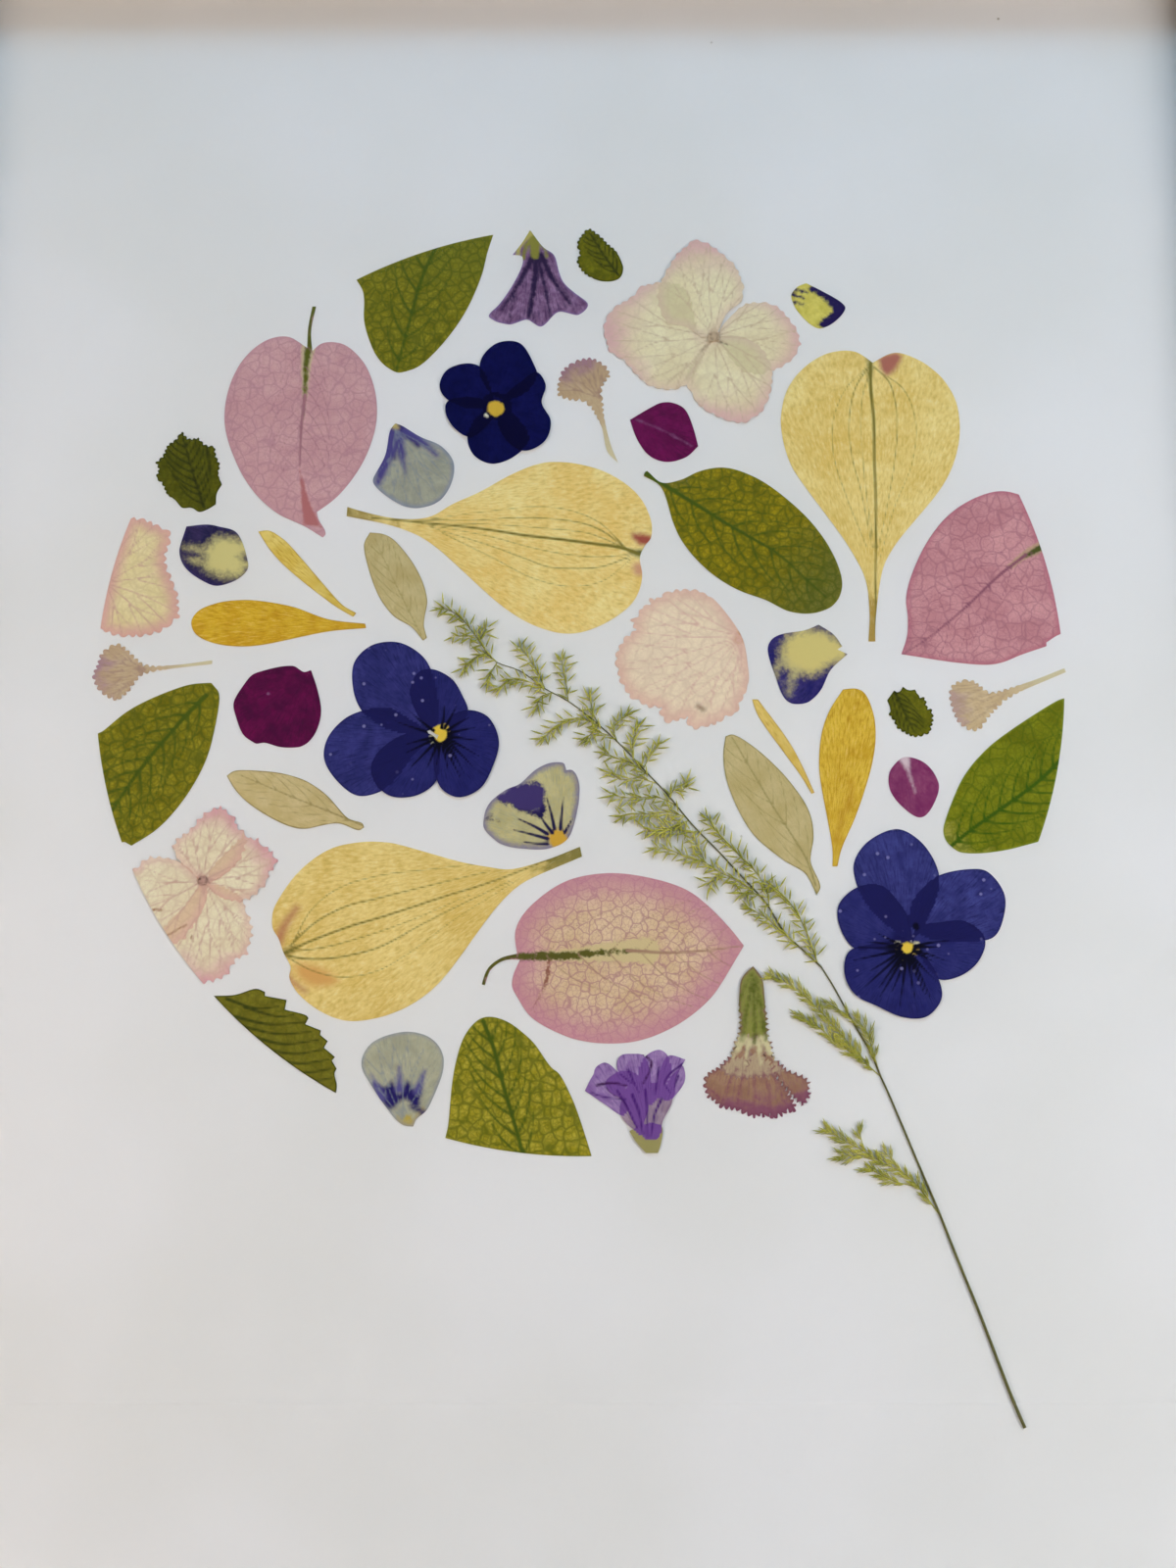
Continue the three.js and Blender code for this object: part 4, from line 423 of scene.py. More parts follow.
@dataclass(frozen=True)
class Tissue:
    """The look of one dried leaf or petal, painted from the sheet's attributes.

    Colours are sRGB hex and sizes are millimetres. A part of the look whose colour is None is left out.
    """

    dark: str
    light: str
    mottle: float = 5.0
    foot: str | None = None
    foot_reach: float = 0.35
    tip: str | None = None
    tip_from: float = 0.6
    rim: str | None = None
    rim_width: float = 0.8
    rim_share: float = 0.8
    vein: str | None = None
    vein_soft: float = 0.25
    mark_a: str | None = None
    mark_b: str | None = None
    mark_c: str | None = None
    ragged: float = 0.5
    blur: float = 0.35
    fibre: str | None = None
    fibre_share: float = 0.4
    fibre_width: float = 0.5
    # A painted highlight: paler streaks along the fibres that stand in for the satin sheen.
    glint: str | None = None
    net: str | None = None
    net_size: float = 1.2
    net_share: float = 0.4
    net_line: float = 0.14
    over: str | None = None
    tone: str | None = None
    speck: str | None = None
    roughness: float = 0.62
    bump: float = 0.35
    sheen: float = 0.0
    gloss: float = 0.1

    def material(self, name: str) -> bpy.types.Material:
        """Builds the node material in layers, from the ground colour up to the specks."""
        g = Graph(name)
        coords = g.add("ShaderNodeTexCoord")
        place = g.scaled(coords.outputs["Object"], 1 / MM, 1 / MM, 1 / MM)
        grown = g.scaled(coords.outputs["UV"], 1 / self.fibre_width, 0.12 / self.fibre_width, 1)
        fine = g.noise(place, 1.4, 3.0)
        streak = g.noise(grown, 1.0, 4.0, 0.65)
        self.lay_ground(g, place, fine)
        self.lay_fibres(g, streak)
        g.relief = g.math("MULTIPLY", streak, 0.12)
        self.lay_net(g, place)
        self.lay_markings(g, place)
        self.lay_specks(g, place)
        g.emboss(fine, 0.08)
        rough = g.step(fine, 0.2, 0.8, self.roughness - 0.08, self.roughness + 0.1)
        return g.surface(rough, self.bump, Sheen_Weight=self.sheen, Specular_IOR_Level=self.gloss)

    def lay_ground(self, g: Graph, place, fine) -> None:
        """Blotches of uneven drying, the petal's own tone, its foot and its tip."""
        blotch = g.step(g.noise(place, 1 / self.mottle, 4.0, 0.6, 0.4), 0.28, 0.72)
        g.colour = g.mix(blotch, self.dark, self.light)
        g.cover(g.step(fine, 0.35, 0.75, 0.0, 0.35), self.dark)
        uneven = g.math("MULTIPLY", g.math("SUBTRACT", blotch, 0.5), 0.18)
        along = g.math("ADD", g.attribute("along"), uneven)
        if self.tone:
            g.cover(g.attribute("tone"), self.tone)
        if self.foot:
            g.cover(g.step(along, self.foot_reach, self.foot_reach * 0.2), self.foot)
        if self.tip:
            g.cover(g.step(along, self.tip_from, min(1.0, self.tip_from + 0.4)), self.tip)
        if self.over:
            # Petals let light through, so they are deeper in colour where they lie over each other.
            g.cover(g.step(g.attribute("over"), 0.2, 0.9), self.over)

    def lay_fibres(self, g: Graph, streak) -> None:
        """Fine darker lines along the way that the petal grew, and paler streaks along them that are a
        painted highlight of the satin sheen.
        """
        if self.fibre:
            g.cover(g.step(streak, 0.45, 0.72, 0.0, self.fibre_share), self.fibre)
        # Painted highlight: the glint colour lays the satin sheen's pale streaks into the colour.
        if self.glint:
            g.cover(g.step(streak, 0.5, 0.28, 0.0, 0.55), self.glint)

    def lay_net(self, g: Graph, place) -> None:
        """Net of small veins in two sizes, bent so that no cell has straight sides."""
        if not self.net:
            return
        size = self.net_size
        bend = g.add("ShaderNodeTexNoise", {"Vector": place, "Scale": 0.8 / size, "Detail": 2.0})
        shift = g.scaled(bend.outputs["Color"], size, size, size)
        bent = g.add("ShaderNodeVectorMath", {0: place, 1: shift}, operation="ADD").outputs[0]
        lines = 0.0
        for width, share in ((size, 0.6), (size * 2.3, 1.0)):
            cells = g.add("ShaderNodeTexVoronoi", {"Vector": bent, "Scale": 1 / width, "Randomness": 0.95},
                          feature="DISTANCE_TO_EDGE")
            drawn = g.step(cells.outputs["Distance"], self.net_line, 0.0, 0.0, share)
            lines = g.math("MAXIMUM", lines, drawn)
        g.cover(g.math("MULTIPLY", lines, self.net_share), self.net)
        g.emboss(lines, 0.05)

    def lay_markings(self, g: Graph, place) -> None:
        """The brown or coloured rim, the drawn markings with uneven borders, and the veins."""
        ragged = g.math("SUBTRACT", g.noise(place, 0.9, 3.0, 0.7), 0.5)
        wobble = g.math("MULTIPLY", ragged, self.ragged * 2)
        if self.rim:
            width = g.math("ADD", g.attribute("edge"), g.math("MULTIPLY", wobble, 0.6))
            g.cover(g.step(width, self.rim_width, 0.0, 0.0, self.rim_share), self.rim)
        paints = ((Channel.A, self.mark_a), (Channel.B, self.mark_b), (Channel.C, self.mark_c))
        for channel, paint in paints:
            if paint:
                depth = g.math("ADD", g.attribute(channel.value), wobble)
                g.cover(g.step(depth, -self.blur, self.blur), paint)
        if self.vein:
            lines = g.step(g.attribute(Channel.VEIN.value), -self.vein_soft, self.vein_soft * 0.6)
            g.cover(lines, self.vein)
            g.emboss(lines, 0.1)

    def lay_specks(self, g: Graph, place) -> None:
        """A few pale specks, in the cells that a noise chooses."""
        if not self.speck:
            return
        spots = g.add("ShaderNodeTexVoronoi", {"Vector": place, "Scale": 0.42, "Randomness": 1.0})
        chosen = g.step(spots.outputs["Color"], 0.5, 0.54)
        dot = g.step(spots.outputs["Distance"], 0.2, 0.08, 0.0, 0.75)
        g.cover(g.math("MULTIPLY", chosen, dot), self.speck)


# Specimens

@dataclass(frozen=True)
class Specimen:
    """A pressed leaf, petal or flower: what it stands for and how it is drawn.

    A single one takes its outline from the CAD solid. A flower lists its petals.
    """

    node: str
    slot: str
    tissue: Tissue
    base: Point
    tip: Point
    marks: tuple = ()
    petals: tuple[Petal, ...] = ()
    ruffle: float = 0.0
    ruffle_step: float = 1.0
    fan: bool = True
    trimmed: bool = False

    def build(self) -> bpy.types.Object:
        """Builds the specimen as one piece and hides the solid it stands for."""
        if self.petals:
            outlines = [listed_outline(p.outline) for p in self.petals]
        else:
            outlines = [solid_outline(self.node)]
        if self.ruffle:
            base = np.array(self.base, float)
            outlines = [ruffled(o, base, self.ruffle, self.ruffle_step, self.trimmed) for o in outlines]
        laid = self.petals or (Petal((), 0.0, 0.5),)
        sheets = []
        for i, (petal, outline) in enumerate(zip(laid, outlines)):
            others = [o for j, o in enumerate(outlines) if j != i]
            sheets.append(self.sheet(f"{self.node}.{i}", outline, petal, others, i))
        piece = joined(sheets, f"pressed_{self.node}")
        piece.data.materials.append(self.tissue.material(f"dried tissue of {self.node}"))
        solid = piece.modifiers.new("thickness", "SOLIDIFY")
        solid.thickness = SHEET_THICKNESS * MM
        solid.offset = 1.0
        finish_piece(piece, self.node)
        return piece

    def sheet(self, name: str, outline: np.ndarray, petal: Petal, others: list,
              index: int) -> bpy.types.Object:
        """Builds one petal as an open sheet with its attributes.

        Args:
            name: The object's name.
            outline: The petal's outline, in mm.
            petal: The petal's level and tone.
            others: The outlines of the flower's other petals.
            index: The petal's number, which seeds its curl.

        Returns:
            The sheet's object.
        """
        mesh = gridded_face(outline, self.trimmed)
        flat = np.array([v.co.xy for v in mesh.verts])
        fields = self.fields(flat, outline, petal, others)
        height = self.relief(flat, fields, petal, index)
        for vert, (x, z), rise in zip(mesh.verts, flat, height):
            vert.co = (x * MM, (BOARD_FRONT - rise) * MM, (z + DISC_Z) * MM)
        layer = mesh.loops.layers.uv.new("growth")
        growth = self.growth(flat)
        mesh.verts.index_update()
        for face in mesh.faces:
            for loop in face.loops:
                loop[layer].uv = growth[loop.vert.index]
        for edge in mesh.edges:
            edge.smooth = not edge.is_boundary
        sheet = as_object(mesh, name)
        for key, values in fields.items():
            set_attribute(sheet, key, values)
        return sheet

    def fields(self, flat: np.ndarray, outline: np.ndarray, petal: Petal, others: list) -> dict:
        """Values that the material paints from, one for each vertex."""
        base = np.array(self.base, float)
        if self.petals:
            reach = np.linalg.norm(outline - base, axis=1).max()
            along = np.linalg.norm(flat - base, axis=1) / reach
        else:
            axis = np.array(self.tip, float) - base
            along = (flat - base) @ axis / (axis @ axis)
        fields = {"along": along, "edge": edge_distance(flat, outline)}
        fields["tone"] = np.full(len(flat), petal.tone)
        fields["over"] = sum((inside(flat, o).astype(float) for o in others), np.zeros(len(flat)))
        for channel in Channel:
            depth = np.full(len(flat), FAR_OUTSIDE)
            for mark in self.marks:
                if mark.channel is channel:
                    depth = np.maximum(depth, mark.depth(flat))
            fields[channel.value] = depth
        return fields

    def relief(self, flat: np.ndarray, fields: dict, petal: Petal, index: int) -> np.ndarray:
        """Height of each vertex above the board, in mm."""
        shift = 17.3 * index + len(self.node)
        broad, small = flat / CURL_SIZE, flat / CREASE_SIZE
        curl = np.array([noise.noise(Vector((x + shift, z, 0.3))) for x, z in broad])
        crease = np.array([noise.noise(Vector((x, z + shift, 1.7))) for x, z in small])
        rim = np.exp(-fields["edge"] / RIM_REACH)
        height = SHEET_GAP + petal.level * LEVEL_STEP
        height += SHEET_LIFT * (0.5 + 0.5 * curl) * (1.1 - 0.9 * rim)
        height += CREASE_HEIGHT * (1 + crease) * (1 - rim)
        height += VEIN_HEIGHT * np.clip(fields["vein"] + 0.3, 0, 0.6)
        return np.clip(height, SHEET_GAP, SHEET_TOP)

    def growth(self, flat: np.ndarray) -> np.ndarray:
        """Texture place of each vertex: across and along the way that the petal grew, in mm."""
        base = np.array(self.base, float)
        from_base = flat - base
        if self.fan:
            radius = np.linalg.norm(from_base, axis=1)
            angle = np.arctan2(from_base[:, 1], from_base[:, 0])
            return np.stack([angle * FAN_ARC, radius], axis=1)
        axis = np.array(self.tip, float) - base
        axis /= np.linalg.norm(axis)
        across = from_base @ np.array((-axis[1], axis[0]))
        return np.stack([across, from_base @ axis], axis=1)


def ruffled(outline: np.ndarray, base: np.ndarray, depth: float, step: float,
            trimmed: bool) -> np.ndarray:
    """Gives the far edge of an outline small uneven teeth.

    Args:
        outline: The smooth outline, in mm.
        base: The petal's base, round which the edge stays smooth.
        depth: How far the teeth reach, in mm.
        step: Their size along the edge, in mm.
        trimmed: Whether the disc's clean cut edge stays smooth.

    Returns:
        The toothed outline.
    """
    closed = np.vstack([outline, outline[:1]])
    arc = np.concatenate([[0], np.cumsum(np.linalg.norm(np.diff(closed, axis=0), axis=1))])
    places = np.arange(0, arc[-1], step / POINTS_A_TOOTH)
    fine = np.stack([np.interp(places, arc, closed[:, 0]), np.interp(places, arc, closed[:, 1])], axis=1)
    teeth = max(3, round(arc[-1] / step))
    ahead = np.roll(fine, -1, axis=0) - np.roll(fine, 1, axis=0)
    outward = np.stack([ahead[:, 1], -ahead[:, 0]], axis=1)
    normal = outward / np.linalg.norm(ahead, axis=1)[:, None].clip(1e-6)
    uneven = np.array([noise.noise(Vector((x / 3, z / 3, 4.2))) for x, z in fine])
    bite = np.abs(np.sin(np.pi * teeth * places / arc[-1] + 1.5 * uneven)) - 0.5 + 0.5 * uneven
    reach = np.linalg.norm(fine - base, axis=1)
    bite = bite * np.clip((reach / reach.max() - 0.35) / 0.2, 0, 1)
    if trimmed:
        bite = np.where(np.linalg.norm(fine, axis=1) > DISC_RADIUS - 0.5, 0, bite)
    return fine + normal * (bite * depth)[:, None]


def pinnate(midrib: str, pairs: int, reach: float, lean: float, width: float) -> tuple[Line, ...]:
    """Side veins that leave a midrib in pairs and bend towards the tip.

    Args:
        midrib: Points of the midrib, from the foot to the tip.
        pairs: How many pairs there are.
        reach: Length of the longest side vein, in mm.
        lean: Angle between a side vein and the midrib, in radians.
        width: Half width at the midrib, in mm.

    Returns:
        The side veins as lines.
    """
    line = catmull_rom(as_arrays(points(midrib)), 0.5)
    veins = []
    for i in range(pairs):
        share = (i + 0.6) / (pairs + 0.6)
        at = int(share * (len(line) - 2))
        ahead = line[at + 1] - line[at]
        length = reach * math.sin(math.pi * min(0.95, share * 0.85 + 0.15)) ** 0.7
        for side in (-1, 1):
            path = [line[at]]
            for step in range(3):
                angle = math.atan2(ahead[1], ahead[0]) + side * lean * (1 - 0.28 * step)
                path.append(path[-1] + np.array((math.cos(angle), math.sin(angle))) * length / 3)
            veins.append(Line(Channel.VEIN, tuple(path), width, width * 0.3))
    return tuple(veins)


def radiating(base: Point, ends: str, width: float) -> tuple[Line, ...]:
    """Veins that run from a petal's base to its edge, each forked half way.

    Args:
        base: Where the veins start.
        ends: Where they end.
        width: Half width at the base, in mm.

    Returns:
        The veins as lines.
    """
    start = np.array(base, float)
    veins = []
    for end in points(ends):
        way = np.array(end) - start
        across = np.array((-way[1], way[0]))
        middle = start + way * 0.5 + across * 0.03
        veins.append(Line(Channel.VEIN, (base, middle, end), width, width * 0.3))
        for side in (-1, 1):
            fork = tuple(start + way * share + across * (bend * side)
                         for share, bend in ((0.45, 0.0), (0.7, 0.09), (0.95, 0.2)))
            veins.append(Line(Channel.VEIN, fork, width * 0.7, width * 0.2))
    return tuple(veins)


def gridded_face(outline: np.ndarray, trimmed: bool) -> bmesh.types.BMesh:
    """Flat sheet of an outline, cut into a fine grid whose border is exact.

    Args:
        outline: The outline, in mm.
        trimmed: Whether the disc's edge cuts the sheet.

    Returns:
        The sheet, its plane in x and y.
    """
    if trimmed:
        reach = np.linalg.norm(outline, axis=1)
        shrink = DISC_RADIUS / np.maximum(reach, 1)
        outline = np.where((reach > DISC_RADIUS)[:, None], outline * shrink[:, None], outline)
    mesh = bmesh.new()
    mesh.faces.new([mesh.verts.new((x, z, 0)) for x, z in outline])
    low, high = outline.min(axis=0), outline.max(axis=0)
    for axis, normal in ((0, (1, 0, 0)), (1, (0, 1, 0))):
        rest = list(mesh.faces)
        for cut in np.arange(low[axis] + CELL * 0.55, high[axis], CELL):
            edges = list({e for f in rest for e in f.edges})
            verts = list({v for f in rest for v in f.verts})
            made = bmesh.ops.bisect_plane(mesh, geom=rest + edges + verts, dist=1e-5,
                                          plane_co=[cut * n for n in normal], plane_no=normal)["geom"]
            faces = [f for f in made if isinstance(f, bmesh.types.BMFace)]
            rest = [f for f in faces if f.calc_center_median()[axis] > cut]
    bmesh.ops.dissolve_degenerate(mesh, dist=0.004, edges=mesh.edges)
    bmesh.ops.recalc_face_normals(mesh, faces=mesh.faces)
    for face in mesh.faces:
        if face.normal.z < 0:
            face.normal_flip()
    return mesh


def as_object(mesh: bmesh.types.BMesh, name: str) -> bpy.types.Object:
    """Turns a mesh being built into a smooth shaded object."""
    for face in mesh.faces:
        face.smooth = True
    data = bpy.data.meshes.new(name)
    mesh.to_mesh(data)
    mesh.free()
    made = bpy.data.objects.new(name, data)
    bpy.context.scene.collection.objects.link(made)
    return made


def set_attribute(sheet: bpy.types.Object, name: str, values: np.ndarray) -> None:
    """Writes one number a vertex, for the material to read."""
    attribute = sheet.data.attributes.new(name, "FLOAT", "POINT")
    attribute.data.foreach_set("value", values.astype(np.float32))


def joined(parts: list[bpy.types.Object], name: str) -> bpy.types.Object:
    """Joins objects into the first one and names it."""
    piece = parts[0]
    if len(parts) > 1:
        with bpy.context.temp_override(active_object=piece, selected_editable_objects=parts):
            bpy.ops.object.join()
    piece.name = name
    piece.data.name = name
    return piece


def finish_piece(piece: bpy.types.Object, node: str) -> None:
    """Ties a piece to the frame's body and hides the solid it stands for."""
    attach(piece, "root")
    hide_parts(node)
    log.info("built %s with %d vertices", piece.name, len(piece.data.vertices))


# The specimens' looks

OLIVE_LEAF = dict(vein="485a08", vein_soft=0.3, net="4c5806", net_size=1.0, net_share=0.7, net_line=0.22,
    mottle=2.2, rim="8a8428", rim_width=0.4, rim_share=0.5, sheen=0.05)


def leaves() -> list[Specimen]:
    """Green, toothed and straw-coloured leaves."""
    v, a = Channel.VEIN, Channel.A
    toothed = dict(mottle=1.6, net="4a5008", net_size=0.8, net_share=0.3, rim="343a02", rim_width=0.4,
        vein_soft=0.3)
    return [
        Specimen("leaf_oval_upper_left", "leaf_olive",
            Tissue("787208", "9d9120", tip="85801a", **OLIVE_LEAF), (-38.9, 64.7), (-32, 93.4), fan=False,
            trimmed=True,
            marks=strokes(v, "-24.1,102.9 -28.9,97.1 -33.3,87.9 -35.9,77.7 -38.9,64.7", 0.38, 0.2)
            + pinnate("-38.9,64.7 -35.9,77.7 -32,93.4 -24.1,102.9", 7, 12.0, 0.75, 0.2)),
        Specimen("leaf_green_centre", "leaf_olive", Tissue("7f7200", "ad970c", foot="8c8030",
                foot_reach=0.2, tip="757228", mark_a="5c4a1c", ragged=0.6, **OLIVE_LEAF), (13.7, 42.2),
            (51.9, 13.8), fan=False,
            marks=strokes(v, "13.7,42.2 23.4,35.7 29.2,31.8 35.1,28.1 40.5,24.7 45.6,19.8 50.4,15.1", 0.42,
                0.12) + pinnate("16.7,39.8 29.2,31.8 40.5,24.7 50.4,15.1", 8, 12.0, 0.8, 0.18)),
        Specimen("leaf_green_left_cut", "leaf_olive", Tissue("7a7000", "a49520", **OLIVE_LEAF),
            (-75.2, -4.8), (-96.7, -32.3), fan=False, trimmed=True,
            marks=strokes(v, "-75.9,-5.9 -79.2,-9.4 -82.4,-13.3 -85.8,-17.6 -89.3,-22.5 -94.2,-30.6", 0.4,
                0.25) + pinnate("-75.9,-5.9 -82.4,-13.3 -89.3,-22.5 -94.7,-31.9", 8, 13.0, 0.75, 0.2)),
        Specimen("leaf_green_right_cut", "leaf_bright", Tissue("6b6f00", "8d8e14", mottle=5.0,
                vein="3c5c00", net="4c6000", net_size=1.3, net_share=0.6, rim="8a9430", rim_width=0.4,
                foot="a09a3a", foot_reach=0.15), (73.1, -37.1), (100.1, -12.9), fan=False, trimmed=True,
            marks=strokes(v, "99.1,-17 92.6,-23.5 84.9,-29.2 78.2,-33.9 73.7,-37.5", 0.35, 0.3)
            + pinnate("73.7,-37.5 81.6,-31.5 92.6,-23.5 100.7,-15.6", 9, 13.0, 0.75, 0.2)),
        Specimen("leaf_green_lower_cut", "leaf_olive", Tissue("998d13", "bfae35", **OLIVE_LEAF),
            (-10.3, -101.4), (-19, -72.1), fan=False, trimmed=True,
            marks=strokes(v, "-19,-72.1 -16.8,-77.7 -15.2,-83.7 -13.8,-88.4 -11.9,-94.7 -10.5,-100.3",
                0.36, 0.3) + pinnate("-10.5,-100.3 -13.8,-88.4 -16.8,-77.7 -18.6,-72.5", 7, 12.0, 0.7, 0.2)),
        *[Specimen(f"serrated_leaf_{name}", "leaf_serrated", Tissue(dark, light, vein="2c3002", **toothed),
            base, tip, fan=False, ruffle=0.45, ruffle_step=1.1,
            marks=pinnate(midrib, pairs, reach, 0.8, 0.14) + strokes(v, midrib, width, 0.1))
          for name, dark, light, base, tip, midrib, pairs, reach, width in (
              ("upper", "5a5a02", "7c780e", (8.5, 86.8), (1.8, 98), "8.1,87.2 4.9,92 2,97.1", 6, 4.8, 0.18),
              ("left", "464600", "68660c", (-77.8, 34.1), (-83.4, 51.4),
               "-78,34.6 -80.8,42.8 -83.1,50.3", 8, 9.0, 0.2),
              ("right", "5a5a02", "7c780e", (63.8, -4.4), (67.5, -13.9),
               "63.8,-4.6 65.7,-9.4 67.5,-13.5", 6, 5.2, 0.16),
          )],
        Specimen("serrated_leaf_lower_cut", "leaf_serrated",
            Tissue("6c6612", "847c20", vein="3a4006", **toothed), (-71.9, -67.3), (-47.9, -85.2),
            fan=False, trimmed=True, ruffle_step=1.1,
            marks=strokes(v, """-69.4,-67.9 -63.5,-69.8 -59.1,-69.4; -67.7,-71.4 -60.9,-72.9 -53.8,-72.5;
                -64.5,-75.2 -57.9,-76.8 -51.2,-76; -60.5,-79.4 -54.9,-80.6 -49,-79.8""", 0.26, 0.1)
            + strokes(v, "-55.8,-83.7 -51.9,-84 -48.1,-83.3", 0.22, 0.1)
            + strokes(v, """-65.8,-69.6 -59,-71.4 -56.1,-71; -66.1,-73.3 -59.3,-74.8 -52.6,-74.4;
                -62.5,-77.5 -55.9,-78.7 -50,-77.9; -58.1,-81.7 -52.9,-82.3 -48.4,-81.6""", 0.2, 0.1)
            + strokes(a, "-71.9,-67.3 -63.2,-77.9 -47.8,-88", 0.5, 0.5)),
        Specimen("leaf_beige_upper", "leaf_straw", Tissue("beab72", "d0c08b", mottle=4.0, fibre="a89a60",
                fibre_width=0.35, fibre_share=0.3, rim="9c8b52", rim_width=0.3, vein="a09256"),
            (-32.1, 5.8), (-43.5, 29.2), fan=False,
            marks=pinnate("-32.5,6.9 -37.7,17.4 -42.6,28.1", 6, 9.0, 0.5, 0.02)
            + strokes(v, "-32.5,6.9 -37.7,17.4 -42.6,28.1", 0.06, 0.0)),
        Specimen("leaf_beige_left", "leaf_straw", Tissue("c9b378", "dcc893", mottle=5.0, fibre="a8985a",
                fibre_width=0.3, fibre_share=0.3, rim="8c7a44", rim_width=0.35, vein="94824a"),
            (-43.2, -33.5), (-69.1, -22.1), fan=False,
            marks=strokes(v, "-43.6,-32.9 -48.6,-30.8 -57.5,-27.2 -68.5,-22.5", 0.1, 0.03)
            + pinnate("-44.4,-32.7 -57.5,-27.2 -68.5,-22.5", 6, 9.0, 0.5, 0.0)),
        Specimen("leaf_beige_right", "leaf_straw", Tissue("c1ae73", "d3c18c", mottle=6.0, fibre="a29656",
                fibre_width=0.35, fibre_share=0.3, rim="8e8348", rim_width=0.35, vein="978c50"),
            (30.6, -14.5), (47.3, -45.9), fan=False,
            marks=strokes(v, "30.6,-14.5 34.8,-22.1 38.8,-29.2 42.2,-34.7 45.2,-39.9 46.9,-45.3", 0.06,
                0.12) + pinnate("46.5,-44.3 42.2,-34.7 34.8,-22.1 30.9,-15.4", 6, 12.0, 0.5, 0.0)),
    ]


